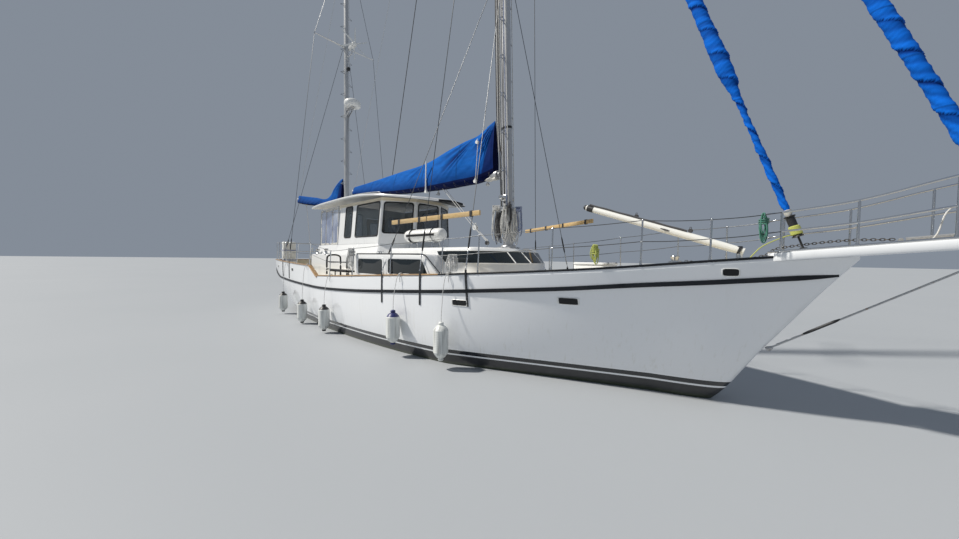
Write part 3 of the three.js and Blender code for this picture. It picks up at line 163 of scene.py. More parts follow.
class Form:
    """Grids of points gathered into one mesh. Each row is joined to the next, and may close on itself."""

    def __init__(self):
        self.points, self.faces, self.marks, self.total = [], [], [], 0

    def grid(self, p, ring=True, loop=False, caps=True, mark=0):
        """p[row, column]. ring closes columns, loop closes rows, caps fill the ends, mark picks the paint."""
        rows, columns = p.shape[:2]
        index = self.total + np.arange(rows * columns).reshape(rows, columns)
        right, above = np.roll(index, -1, 1), np.roll(index, -1, 0)
        quads = np.stack([index, right, np.roll(above, -1, 1), above], axis=-1)
        quads = quads[:rows if loop else rows - 1, :columns if ring else columns - 1]
        marks = np.broadcast_to(mark, quads.shape[:2])
        self.faces += quads.reshape(-1, 4).tolist()
        self.marks += marks.ravel().tolist()
        if caps and ring and not loop:
            self.faces += [index[0, ::-1].tolist(), index[-1].tolist()]
            self.marks += [int(marks[0, 0]), int(marks[-1, 0])]
        self.points.append(p.reshape(-1, 3))
        self.total += rows * columns
        return self

    def sweep(self, path, profile, up=(0, 0, 1), closed=False, scale=1, mark=0):
        """A profile (across, upward) carried along a path, square to it."""
        across, over = frames(path, up, closed)
        scale = np.broadcast_to(np.asarray(scale, float), (len(path),))[:, None, None]
        flat = np.asarray(profile, float)[None, :, :] * scale
        p = path[:, None] + flat[..., :1] * across[:, None] + flat[..., 1:] * over[:, None]
        return self.grid(p, loop=closed, mark=mark)

    def tube(self, path, radius, sides=10, up=(0, 0, 1), closed=False, mark=0):
        """A round bar along a path; radius may vary from point to point."""
        return self.sweep(np.asarray(path, float), disc(1, sides), up, closed, radius, mark)

    def rod(self, a, b, radius, end=None, sides=12, mark=0):
        """A straight round bar, which may taper to another radius."""
        return self.tube(np.array([a, b], float), [radius, radius if end is None else end], sides, mark=mark)

    def lathe(self, profile, centre, axis=(0, 0, 1), sides=24, mark=0):
        """A profile in millimetres, (radius, distance along the axis), turned about that axis."""
        profile = np.asarray(profile, float) / 1000
        axis = unit(np.asarray(axis, float))
        side = unit(np.cross(axis, (0, 1, 0) if abs(axis[1]) < 0.9 else (1, 0, 0)))
        other = np.cross(axis, side)
        ring = disc(1, sides)
        spoke = ring[:, :1] * side + ring[:, 1:] * other
        p = profile[:, None, :1] * spoke[None] + profile[:, None, 1:] * axis + np.asarray(centre, float)
        return self.grid(p, mark=mark)

    def rim(self, on, loop, rows, closed=True, mark=0):
        """Rings round an opening. A row is how far out the loop goes and how far off it stands, in mm."""
        rings = [on(grown(loop, by / 1000), off / 1000) for by, off in rows]
        return self.grid(np.stack(rings), loop=closed, mark=mark)

    def slab(self, loop, heights, insets, place=None, mark=0):
        """Loops of one outline stacked at heights, each drawn in towards its middle by an inset."""
        middle = (loop.max(0) + loop.min(0)) / 2
        half = np.maximum(np.abs(loop - middle).max(0), 1e-6)
        rows = [xyz(*(middle + (loop - middle) * (1 - inset / half)).T, height)
                for height, inset in zip(heights, insets)]
        p = np.stack(rows)
        return self.grid(place(p) if place else p, mark=mark)

    def block(self, low, high, bevel=0.004, place=None, mark=0):
        """A box with rounded upright edges and a bevel round its top and bottom."""
        (x0, y0, z0), (x1, y1, z1) = low, high
        loop = rounded(x0, x1, y0, y1, bevel * 1.5, 3)
        return self.slab(loop, [z0, z0 + bevel, z1 - bevel, z1], [bevel, 0, 0, bevel], place, mark)


def piece(name, form, paints, body="yacht", replaces=(), sharp=35):
    """Makes a form one mesh in the scene, its faces outwards, with its paints, and sets it on its body."""
    mesh = bpy.data.meshes.new(name)
    mesh.from_pydata(np.concatenate(form.points).tolist(), [], form.faces)
    for paint in paints if isinstance(paints, (list, tuple)) else [paints]:
        mesh.materials.append(paint)
    mesh.polygons.foreach_set("material_index", form.marks)
    work = bmesh.new()
    work.from_mesh(mesh)
    bmesh.ops.recalc_face_normals(work, faces=work.faces)
    work.to_mesh(mesh)
    work.free()
    mesh.shade_smooth()
    mesh.set_sharp_from_angle(angle=math.radians(sharp))
    thing = bpy.data.objects.new(name, mesh)
    bpy.context.scene.collection.objects.link(thing)
    if body:
        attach(thing, body)
    if replaces:
        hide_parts(*([replaces] if isinstance(replaces, str) else replaces))
    return thing


def paint_shade(thing, shade):
    """Gives each point its painted shade, how dark the cloth is there, which canvas() reads as `fold`."""
    layer = thing.data.attributes.new("fold", "FLOAT", "POINT")
    layer.data.foreach_set("value", shade.ravel().astype(np.float32))


# Shader arithmetic
def operator(operation):
    """An operator of a Value: it adds one Math node."""
    return lambda self, other: self.maths(operation, other)


class Value:
    """A number that varies over a surface. Its operators add Math nodes."""

    __add__ = __radd__ = operator("ADD")
    __mul__ = __rmul__ = operator("MULTIPLY")
    __sub__, __truediv__ = operator("SUBTRACT"), operator("DIVIDE")
    __gt__, __lt__ = operator("GREATER_THAN"), operator("LESS_THAN")

    def __init__(self, paint, socket):
        self.paint, self.socket = paint, socket

    def __rsub__(self, other):
        return self * -1 + other

    def maths(self, operation, *others):
        """Another Value, from one Math node."""
        return self.paint.node("Math", {"operation": operation}, self, *others)

    def wave(self, length):
        """Ripple from -1 to 1 that repeats each `length` metres."""
        return (self * (TAU / length)).maths("SINE")

    def fraction(self, length):
        """How far along its panel of `length` metres, from 0 to 1."""
        return (self / length).maths("FRACT")

    def ramp(self, low, high, to_low=0, to_high=1):
        """Smooth step from one value to another as this one goes from low to high."""
        return self.paint.node("MapRange", {"interpolation_type": "SMOOTHSTEP"}, self, low, high, to_low,
                               to_high)


class Paint:
    """A procedural finish, built on one Principled shader."""

    def __init__(self, name, color, rough, metal=0, coat=0, coat_rough=0.05, specular=0.5, sheen=0, alpha=1):
        self.material = bpy.data.materials.new(name)
        self.material.use_nodes = True
        self.tree = self.material.node_tree
        self.shader = self.tree.nodes["Principled BSDF"]
        for socket, value in [("Base Color", (*color, 1)), ("Roughness", rough), ("Metallic", metal),
                              ("Coat Weight", coat), ("Coat Roughness", coat_rough),
                              ("Specular IOR Level", specular), ("Sheen Weight", sheen), ("Alpha", alpha)]:
            self.shader.inputs[socket].default_value = value
        self.at = self.node("TexCoord", {}, out="Object")
        parts = self.tree.nodes.new("ShaderNodeSeparateXYZ")
        self.tree.links.new(self.at, parts.inputs[0])
        self.x, self.y, self.z = (Value(self, out) for out in parts.outputs)

    def node(self, kind, settings, *inputs, out=0, **named):
        """Adds one node. settings are its properties; inputs go to its sockets in order, or by name."""
        made = self.tree.nodes.new(f"ShaderNode{kind}")
        for key, value in settings.items():
            if key != "stops":
                setattr(made, key, value)
                continue
            while len(made.color_ramp.elements) < len(value):
                made.color_ramp.elements.new(0.5)
            for element, (position, color) in zip(made.color_ramp.elements, value):
                element.position, element.color = position, (*color, 1)
        for key, value in [*enumerate(inputs), *((k.replace("_", " "), v) for k, v in named.items())]:
            if value is None:
                continue
            if isinstance(value, Value):
                value = value.socket
            if isinstance(value, bpy.types.NodeSocket):
                self.tree.links.new(value, made.inputs[key])
            else:
                made.inputs[key].default_value = value
        socket = made.outputs[out]
        return Value(self, socket) if socket.type == "VALUE" else socket

    def noise(self, scale, detail=3, stretch=(1, 1, 1), rough=0.5):
        """Cloudy noise from 0 to 1. scale is per metre, stretch squeezes it along an axis."""
        at = self.at
        if stretch != (1, 1, 1):
            at = self.node("VectorMath", {"operation": "MULTIPLY"}, self.at, stretch)
        return self.node("TexNoise", {}, Vector=at, Scale=scale, Detail=detail, Roughness=rough)

    def spots(self, scale):
        """Distance to the nearest of many scattered points."""
        at = self.node("VectorMath", {"operation": "MULTIPLY"}, self.at, (1, 1, 1))
        return self.node("TexVoronoi", {"feature": "F1"}, Vector=at, Scale=scale)

    def mix(self, factor, a, b):
        """Colour a where factor is 0, b where it is 1."""
        colour = [(*c, 1) if isinstance(c, tuple) else c for c in (a, b)]
        return self.node("Mix", {"data_type": "RGBA"}, factor, *[None] * 5, *colour, out=2)

    def set(self, color=None, rough=None, bump=None, strength=0.3, depth=0.002, metal=None, alpha=None,
            coat=None):
        """Feeds the shader. bump is a height, depth its size in metres."""
        for socket, value in [("Base Color", color), ("Roughness", rough), ("Metallic", metal),
                              ("Alpha", alpha), ("Coat Weight", coat)]:
            if value is not None:
                self.tree.links.new(value.socket if isinstance(value, Value) else value,
                                    self.shader.inputs[socket])
        if bump is not None:
            made = self.node("Bump", {}, Strength=strength, Distance=depth, Height=bump)
            self.tree.links.new(made, self.shader.inputs["Normal"])
        return self.material


# Finishes
WHITE = (0.82, 0.84, 0.86)
INK = (0.006, 0.008, 0.012)
CREAM = (0.67, 0.57, 0.4)
BOOT_TOP = (0.235, 0.31)          # height of the black band above the water
PIN_LINE = 0.205                  # white line under it, down to the antifouling


def gelcoat(name="gelcoat", tint=WHITE, rough=0.16, dirt=0.1):
    """Moulded gloss surface: faint cloudy wear, a little grime, hardly any orange peel."""
    p = Paint(name, tint, rough, coat=0.5, coat_rough=0.06)
    cloud = p.noise(0.9, 4)
    grime = p.noise(6, 6, (1, 1, 0.35)).ramp(0.52, 0.8)
    dull = tuple(c * 0.8 for c in tint)
    color = p.mix(grime * dirt * 2.5, p.mix(cloud, tint, tuple(min(1, c * 1.05) for c in tint)), dull)
    return p.set(color, rough=cloud * 0.12 + (rough - 0.04) + grime * 0.15, bump=p.noise(260, 1),
                 strength=0.03)


def topsides():
    """Hull paint by height: antifouling, white line, black boot top, then white with run-off streaks."""
    p = Paint("topsides", WHITE, 0.12, coat=0.6, coat_rough=0.04)
    ripple = p.noise(0.45, 2, (1, 1, 2.2))
    streak = p.noise(3.2, 5, (5.5, 5.5, 0.28)).ramp(0.55, 0.82)
    low = p.z.ramp(0.3, 1.5, 1, 0.25)
    white = p.mix(streak * low * 0.42, p.mix(ripple, (0.8, 0.83, 0.87), (0.86, 0.87, 0.88)),
                  (0.6, 0.59, 0.52))
    scum = (p.noise(9, 5) * 0.06 + p.z).ramp(0.045, 0.12, 1, 0)
    foul = p.mix(p.noise(5, 6), (0.01, 0.011, 0.014), (0.035, 0.037, 0.042))
    foul = p.mix(scum * 0.75, foul, (0.055, 0.07, 0.035))
    boot = p.mix(p.noise(30, 3), (0.006, 0.007, 0.01), (0.014, 0.016, 0.022))
    below_line = p.z < PIN_LINE
    band = (p.z > BOOT_TOP[0]) * (p.z < BOOT_TOP[1])
    color = p.mix(below_line, p.mix(band, white, boot), foul)
    rough = below_line * 0.5 + 0.1 + streak * 0.12
    wave = p.noise(1.3, 2, (1, 1, 1.8)) * 0.8 + p.noise(90, 1) * 0.02
    return p.set(color, rough=rough, bump=wave, strength=0.1, depth=0.012)


def deck_paint():
    """Cream non-skid: a fine raised diamond lattice, worn smoother and greyer where feet go."""
    p = Paint("deck_paint", CREAM, 0.6)
    lattice = ((p.x + p.y).wave(0.011) * (p.x - p.y).wave(0.011)).maths("ABSOLUTE")
    worn = p.noise(2.2, 5).ramp(0.42, 0.75)
    color = p.mix(worn * 0.6, (0.64, 0.57, 0.43), (0.52, 0.48, 0.4))
    return p.set(color, rough=0.62 - worn * 0.12, bump=lattice * (1 - worn * 0.5), strength=0.35,
                 depth=0.0012)


def timber(name, light, dark, gloss=0.4, stretch=(0.35, 6, 9), coat=0):
    """Wood whose grain runs fore and aft: long noise bands, pores, weathered grey patches."""
    p = Paint(name, light, gloss, coat=coat)
    band = p.noise(7, 6, stretch, 0.65)
    line = p.noise(46, 3, stretch)
    grey = p.noise(1.6, 4).ramp(0.45, 0.75)
    color = p.mix(line.ramp(0.42, 0.62) * 0.5, p.mix(band.ramp(0.32, 0.68), light, dark),
                  tuple(c * 0.55 for c in dark))
    color = p.mix(grey * 0.28, color, (0.42, 0.38, 0.33))
    return p.set(color, rough=grey * 0.2 + gloss, bump=line + band * 0.5, strength=0.3, depth=0.0015)


def rubber(name="rubber", tint=INK, rough=0.42):
    """Matt black rubber, chalky in patches."""
    p = Paint(name, tint, rough, specular=0.3)
    chalk = p.noise(3, 6).ramp(0.45, 0.8)
    color = p.mix(chalk * 0.5, tint, tuple(c + 0.012 for c in tint))
    return p.set(color, rough=chalk * 0.2 + rough, bump=p.noise(160, 2), strength=0.12, depth=0.0008)


def steel(name="stainless", tint=(0.62, 0.63, 0.64), rough=0.16):
    """Polished stainless: fine length-wise brushing, faint tea stains."""
    p = Paint(name, tint, rough, metal=1)
    brush = p.noise(240, 2, (0.4, 1, 1))
    stain = p.noise(8, 5).ramp(0.62, 0.85)
    color = p.mix(stain * 0.35, tint, (0.42, 0.3, 0.2))
    return p.set(color, rough=brush * 0.14 + (rough - 0.03) + stain * 0.3, bump=brush, strength=0.05,
                 depth=0.0005)


def galvanised():
    """Zinc: crystal spangle, dull patches and a touch of rust."""
    p = Paint("galvanised", (0.42, 0.43, 0.44), 0.55, metal=0.8)
    spangle = p.spots(130)
    rust = p.noise(22, 5).ramp(0.58, 0.74)
    color = p.mix(rust * 0.7, p.mix(spangle, (0.36, 0.37, 0.38), (0.55, 0.56, 0.57)), (0.22, 0.1, 0.04))
    return p.set(color, rough=spangle * 0.15 + rust * 0.25 + 0.42, metal=0.85 - rust * 0.8, bump=spangle,
                 strength=0.1, depth=0.001)


def spar_paint():
    """Anodised alloy gone chalky grey, with dark streaks down from the fittings."""
    p = Paint("spar_alloy", (0.45, 0.46, 0.48), 0.4, metal=0.55)
    chalk = p.noise(2.4, 5, (1, 1, 0.3))
    streak = p.noise(14, 5, (4, 4, 0.14)).ramp(0.58, 0.8)
    color = p.mix(streak * 0.6, p.mix(chalk, (0.38, 0.39, 0.41), (0.56, 0.57, 0.58)), (0.2, 0.2, 0.2))
    return p.set(color, rough=chalk * 0.2 + 0.3, bump=p.noise(120, 2), strength=0.05)


def canvas(name, tint, fade=0.35, panel=None, axis="x"):
    """Woven acrylic cloth: crossed threads, faded tops, darker seams every panel width, and painted shade in
    the folds.
    """
    p = Paint(name, tint, 0.85, specular=0.1)
    thread = ((p.x + p.z * 0.35).wave(0.0026) * 0.5 + (p.z - p.x * 0.2).wave(0.0026) * 0.5
              + p.y.wave(0.0026) * 0.35)
    cloud = p.noise(1.7, 5)
    crease = p.noise(3.6, 3, (1, 1, 3.2), 0.45)
    light = tuple(min(1, c * (1 + fade) + 0.003) for c in tint)
    dark, dull = tuple(c * 0.5 for c in tint), tuple(c * 0.8 for c in tint)
    color = p.mix(crease.ramp(0.3, 0.7) * 0.5 + cloud * 0.3, p.mix(cloud, dull, tint), light)
    height = crease + thread * 0.03
    # Painted shade: the `fold` point value darkens the cloth in fold valleys, by the mast, along a cover's
    # foot and along a furled sail's spiral edge.
    fold = p.node("Attribute", {"attribute_name": "fold"}, out="Fac")
    color = p.mix(fold, color, (tint[0] * 0.2, tint[1] * 0.08, tint[2] * 0.2))
    if panel:
        along = {"x": p.x, "z": p.z}[axis]
        seam = (along.fraction(panel) - 0.5).maths("ABSOLUTE").ramp(0.475, 0.492)
        color = p.mix(seam * 0.65, color, dark)
        height = height + seam * 0.12
    return p.set(color, rough=cloud * 0.1 + 0.8, bump=height, strength=0.2, depth=0.008)


def tinted_glass(name="tinted_glass", tint=(0.012, 0.018, 0.022), alpha=0.78):
    """Dark acrylic: nearly a mirror, with dried salt spots."""
    p = Paint(name, tint, 0.03, specular=0.42, alpha=alpha)
    salt = p.noise(34, 5).ramp(0.6, 0.82)
    return p.set(p.mix(salt * 0.25, tint, (0.16, 0.17, 0.18)), rough=salt * 0.22 + 0.025)


def clear_vinyl():
    """Flexible window sheet: clear, with a milky haze and soft dents."""
    p = Paint("clear_vinyl", (0.3, 0.36, 0.55), 0.07, coat=0.8, coat_rough=0.03, alpha=0.5)
    haze = p.noise(2.6, 4, (1, 1, 0.5)).ramp(0.35, 0.75)
    return p.set(p.mix(haze, (0.16, 0.2, 0.4), (0.62, 0.68, 0.8)), rough=haze * 0.15 + 0.04,
                 bump=p.noise(3.4, 2), strength=0.6, depth=0.03, alpha=haze * 0.22 + 0.42)


def cordage(name, tint, fleck, pitch=0.018):
    """Braided rope: a diagonal ripple of strands with coloured flecks."""
    p = Paint(name, tint, 0.8, sheen=0.2)
    strand = ((p.x + p.y + p.z * 1.2).wave(pitch) * (p.z - p.x * 0.8 + p.y * 0.6).wave(pitch)).ramp(-0.4, 0.5)
    dirt = p.noise(12, 4)
    color = p.mix(dirt * 0.5, p.mix(strand, fleck, tint), tuple(c * 0.6 for c in tint))
    return p.set(color, bump=strand, strength=0.5, depth=0.0022)


def plastic(name, tint, rough=0.4, grain=380, grime=0.4, run=(1, 1, 1), soiled=0.7):
    """Moulded plastic, with smears that `run` stretches."""
    p = Paint(name, tint, rough)
    smear = p.noise(5, 5, run).ramp(0.45, 0.8)
    color = p.mix(smear * grime, tint, tuple(c * soiled for c in tint))
    return p.set(color, rough=smear * 0.2 + rough, bump=p.noise(grain, 2), strength=0.12, depth=0.0008)


def bronze():
    """Cast bronze with brown tarnish."""
    p = Paint("bronze", (0.42, 0.28, 0.12), 0.35, metal=1)
    tarnish = p.noise(16, 6).ramp(0.4, 0.7)
    color = p.mix(tarnish, (0.48, 0.32, 0.14), (0.16, 0.15, 0.1))
    return p.set(color, rough=tarnish * 0.35 + 0.25, bump=tarnish, strength=0.1, depth=0.001)


def antifouling():
    """Black bottom paint, matt, with brushed streaks and slime along the waterline."""
    p = Paint("antifouling", (0.02, 0.02, 0.025), 0.75)
    coarse = p.noise(14, 6, (0.5, 1, 1))
    slime = (p.noise(3, 5) * 0.8 + p.z * 0.5).ramp(-0.1, 0.45)
    color = p.mix(slime * 0.6, p.mix(coarse, (0.012, 0.013, 0.017), (0.038, 0.04, 0.048)),
                  (0.045, 0.055, 0.03))
    return p.set(color, rough=coarse * 0.2 + 0.62, bump=coarse, strength=0.3, depth=0.003)


GELCOAT = gelcoat()
HOUSE_WHITE = gelcoat("house_white", (0.83, 0.84, 0.84), 0.2, 0.16)
HEADER_CREAM = gelcoat("header_cream", (0.7, 0.62, 0.47), 0.35, 0.12)
TOPSIDES = topsides()
DECK = deck_paint()
TEAK = timber("teak_cap", (0.5, 0.32, 0.15), (0.3, 0.17, 0.07), 0.35, coat=0.2)
PINE = timber("pine", (0.76, 0.56, 0.28), (0.62, 0.41, 0.17), 0.5)
BLACK = rubber()
GASKET = rubber("gasket", (0.01, 0.011, 0.013), 0.5)
STEEL = steel()
ZINC = galvanised()
CHAIN = steel("chain_steel", (0.12, 0.11, 0.1), 0.5)
SPAR = spar_paint()
BLUE = canvas("blue_canvas", (0.001, 0.098, 0.4), panel=1.45)
# Navy band along a cover's foot: a painted shade where the cloth turns under.
FOOT_SHADE_BLUE = canvas("blue_canvas_painted_shade", (0.002, 0.018, 0.12))
BLUE_SAIL = canvas("blue_sail_cloth", (0.002, 0.115, 0.54), 0.5, panel=0.62, axis="z")
GLASS = tinted_glass(alpha=0.95)
PANE = tinted_glass("pilothouse_pane", (0.045, 0.06, 0.07), 0.42)
VINYL_CLEAR = clear_vinyl()
ROPE = cordage("white_rope", (0.84, 0.83, 0.77), (0.46, 0.47, 0.5))
ROPE_GREEN = cordage("green_rope", (0.006, 0.11, 0.065), (0.1, 0.32, 0.24))
ROPE_YELLOW = cordage("yellow_rope", (0.68, 0.66, 0.14), (0.3, 0.42, 0.12))
ROPE_BLUE = cordage("blue_rope", (0.05, 0.12, 0.38), (0.55, 0.58, 0.62))
ROPE_DARK = cordage("black_rope", (0.025, 0.026, 0.03), (0.1, 0.1, 0.11))
MOULDED = plastic("moulded_black", (0.018, 0.019, 0.022), 0.45)
MOULDED_WHITE = plastic("moulded_white", (0.74, 0.75, 0.74), 0.3)
CANVAS_WHITE = canvas("white_cloth", (0.62, 0.61, 0.57), 0.15)
SEAT = plastic("seat_vinyl", (0.6, 0.52, 0.38), 0.5)
FENDER_SKIN = plastic("fender_vinyl", (0.72, 0.74, 0.72), 0.35, grime=0.9, run=(4, 4, 0.3), soiled=0.45)
FENDER_NAVY = plastic("fender_navy", (0.02, 0.028, 0.13), 0.4)
BRONZE = bronze()
CHAINPLATE = rubber("chainplate", (0.03, 0.032, 0.036), 0.35)
WEBBING = plastic("webbing", (0.01, 0.045, 0.26), 0.75)
CREAM_CLOTH = canvas("cream_cloth", (0.8, 0.81, 0.79), 0.05)
RIGGING = steel("rigging_wire", (0.13, 0.135, 0.14), 0.35)
CREAM_PAINT = gelcoat("cream_paint", (0.8, 0.8, 0.76), 0.32)
BOTTOM = antifouling()


# Hull form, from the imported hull's own lines. Each line's rows: x and height
BEAM, BEAM_X, STEM_X, TRANSOM_X = 2.2, -0.8, 8.4, -8.45
TRANSOM_HALF, QUARTER = 1.5, 0.3
STEP_X = (-2.95, -2.3)            # head and foot of the step up to the stern bulwark
BULWARK_WALL, AFT_DECK, WELL_AFT, WELL_FORE = 0.075, 1.415, -8.375, -2.2
KEEL_LINE = [(-8.45, 0.44), (-8.15, 0.25), (-7.4, -0.02), (-6.3, -0.375), (-4.8, -0.68), (-2.95, -0.865),
             (-0.7, -0.935), (1.13, -0.93), (2.9, -0.868), (4.5, -0.75), (5.7, -0.575), (6.2, -0.43),
             (6.6, -0.245), (6.93, 0), (7.12, 0.23), (7.31, 0.54), (7.48, 0.82), (7.75, 1.22), (8.07, 1.7),
             (8.36, 2.095)]
SHEER_LINE = [(-2.3, 1.43), (-0.7, 1.495), (1.13, 1.59), (2.9, 1.678), (4.5, 1.777), (5.7, 1.868),
              (6.93, 1.993), (7.75, 2.075), (8.36, 2.136)]
STRAKE_LINE = [(-8.43, 1.86), (-8.36, 1.66), (-8.18, 1.44), (-7.85, 1.29), (-7.4, 1.235), (-6, 1.205),
               (-3.8, 1.17), (-2, 1.155), (-0.17, 1.22), (1.82, 1.34), (3.16, 1.43), (4.17, 1.51),
               (5.15, 1.59), (6.21, 1.7), (6.88, 1.76), (7.48, 1.82), (8.1, 1.885), (8.19, 1.896)]


def deck_half(x):
    """Half-breadth at the rail: a power curve each way from the widest place, with round stern quarters."""
    x = np.asarray(x, float)
    fore = BEAM * (1 - np.clip((x - BEAM_X) / (STEM_X - BEAM_X), 0, 1) ** 2.3)
    aft = BEAM - (BEAM - TRANSOM_HALF) * np.clip((BEAM_X - x) / (BEAM_X - TRANSOM_X), 0, 1) ** 2.2
    turn = np.clip((TRANSOM_X + QUARTER - x) / QUARTER, 0, 1)
    aft = aft - QUARTER * (1 - np.sqrt(1 - turn ** 2))
    return np.maximum(np.where(x > BEAM_X, fore, aft), 0.03)


def rail_height(x):
    """Top edge of the hull: the sheer line forward, the bulwark aft, a straight ramp between."""
    x = np.asarray(x, float)
    bulwark = np.interp(x, [TRANSOM_X, STEP_X[0], STEP_X[1]], [1.87, 1.75, 1.43])
    return np.where(x < STEP_X[1], bulwark, flow(x, SHEER_LINE))


def section_half(x, h):
    """Half-breadth at h from keel line (0) to rail (1): a round bilge amidships, flared towards the bow."""
    flare = 0.9 * np.clip((x - 2.9) / 3.3, 0, 1)
    full = 4 + (2.4 - 4) * np.clip((-4 - x) / 3.6, 0, 1)
    return deck_half(x) * ((1 - flare) * np.sqrt(np.maximum(1 - (1 - h) ** full, 0)) + flare * h ** 0.8)


def side_y(x, z):
    """Half-breadth of the hull's skin at a height."""
    keel = flow(x, KEEL_LINE)
    return section_half(x, np.clip((z - keel) / (rail_height(x) - keel), 0, 1))


def well_half(x):
    """Half-breadth of the aft deck inside the bulwark, with round corners at the stern."""
    turn = np.clip((TRANSOM_X + BULWARK_WALL + 0.225 - x) / 0.225, 0, 1)
    return deck_half(np.maximum(x, TRANSOM_X + QUARTER)) - BULWARK_WALL - 0.225 * (1 - np.sqrt(1 - turn ** 2))


def make_hull():
    """A section runs up the skin, over the rail, down the bulwark and across the deck, then back mirrored."""
    x = np.concatenate([np.linspace(TRANSOM_X, WELL_AFT, 5), np.linspace(WELL_AFT, -8.1, 12),
                        np.linspace(-8, STEP_X[0], 40), np.linspace(-2.9, STEP_X[1], 8),
                        [-2.25, WELL_FORE, WELL_FORE], np.linspace(-2.1, 6.5, 60),
                        np.linspace(6.56, 8.36, 60)])
    row = np.arange(len(x))
    sunk = (row >= 5) & (x <= WELL_FORE) & (row < 5 + 12 + 40 + 8 + 2)
    keel, edge = flow(x, KEEL_LINE), rail_height(x)
    inner = np.where(x < WELL_FORE, well_half(x), deck_half(x) - BULWARK_WALL)
    inner = np.maximum(inner, 0.01)
    deck = np.where(sunk, AFT_DECK, edge)
    h = 1 - np.cos(np.linspace(0, math.pi / 2, 34))
    skin = xyz(x[:, None], -section_half(x[:, None], h), keel[:, None] + (edge - keel)[:, None] * h)
    across = np.linspace(1, 0, 5)
    floor = xyz(x[:, None], -inner[:, None] * across, deck[:, None] + 0 * across)
    top = xyz(x[:, None], -inner[:, None], edge[:, None])
    half = np.concatenate([skin, top, floor], axis=1)
    other = half[:, -2:0:-1] * (1, -1, 1)
    marks = np.concatenate([np.zeros(33), [1, 1], np.full(8, 2), [1, 1], np.zeros(33)]).astype(int)
    form = Form().grid(np.concatenate([half, other], axis=1), mark=marks[None, :])
    piece("hull_moulding", form, [TOPSIDES, GELCOAT, DECK], replaces="hull")


def make_strake():
    """Black rubbing strake: a half-round bar along the topsides, swept up round each quarter to the cap."""
    form = Form()
    x = np.concatenate([np.linspace(-8.43, -7.4, 30), np.linspace(-7.3, 8.19, 90)])
    z = flow(x, STRAKE_LINE)
    thin = np.interp(x, [7.9, 8.19], [1, 0.45])
    profile = [(0, -0.034), (0.016, -0.03), (0.026, -0.014), (0.028, 0), (0.026, 0.014), (0.016, 0.03),
               (0, 0.034), (-0.02, 0.03), (-0.02, -0.03)]
    for side in BOTH:
        path = xyz(x, side * side_y(x, z), z)
        flat = [(u * -side, v) for u, v in profile]
        form.sweep(path, flat, up=(0, 0, 1), scale=thin)
    piece("rubbing_strake", form, BLACK, sharp=50)


def make_toe_rails():
    """Toe rail: a moulded upstand with a round cap, black forward and tan timber beside the raised deck."""
    for label, x0, x1, paint in [("forward", 2.86, 8.28, BLACK), ("amidships", -2.28, 2.86, TEAK)]:
        form = Form()
        for side in BOTH:
            x = np.linspace(x0, x1, 70)
            path = xyz(x, side * (deck_half(x) - 0.028), rail_height(x) + 0.03)
            form.sweep(path, rounded(-0.02, 0.02, -0.04, 0.014, 0.004, 2), mark=1)
            form.sweep(path, rounded(-0.034, 0.034, 0.012, 0.044, 0.012, 4))
        piece(f"toe_rail_{label}", form, [paint, GELCOAT], sharp=50)


# Houses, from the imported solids' sizes
HOUSE_TOP, COACH_TOP, SILL = 2.12, 2.28, 2.42
RAISED_X = (-0.1, 2.9)
COACH_HALF = 1.2


def soft_box_rows(top, bottom, outer, radius, steps=5):
    """Half cross-section of a moulding: up the side, round its shoulder and in to the centreline."""
    turn = np.linspace(0, math.pi / 2, steps)
    out = outer[:, None]
    side = np.stack([outer, outer], axis=1)
    y = np.concatenate([side, out - radius + radius * np.cos(turn)[1:], out * 0.5, out * 0], axis=1)
    low = np.stack([bottom, top - radius], axis=1)
    level = top[:, None]
    z = np.concatenate([low, level - radius + radius * np.sin(turn)[1:], level, level], axis=1)
    return y, z


def coach_loop(z, off=0, aft=0, count=49):
    """Loop round the coachroof's sides and raked nose at a height, grown by `off`."""
    angle = np.linspace(0, math.pi, count)
    half = COACH_HALF - 0.06 * np.clip(z - 1.93, 0, 1) + off
    reach = float(np.interp(z, [1.85, 2.28], [3.75, 3.27])) - 2.9 + off
    nose = xyz(2.9 + reach * np.sin(angle), half * np.cos(angle), z)
    tail = [xyz(np.linspace(aft, 2.9, 12)[:-1], s * half, z) for s in (1, -1)]
    return np.concatenate([tail[0], nose, tail[1][::-1]])


def beside(x):
    """Half-breadth of the raised deck's side, a little inboard of the rail."""
    return deck_half(x) - 0.062


def round_end(start, radius, steps=6):
    """Distances and insets of a rounded end that starts at `start`."""
    turn = np.linspace(0, math.pi / 2, steps)
    return start + radius * (1 - np.cos(turn)), radius * (1 - np.sin(turn))


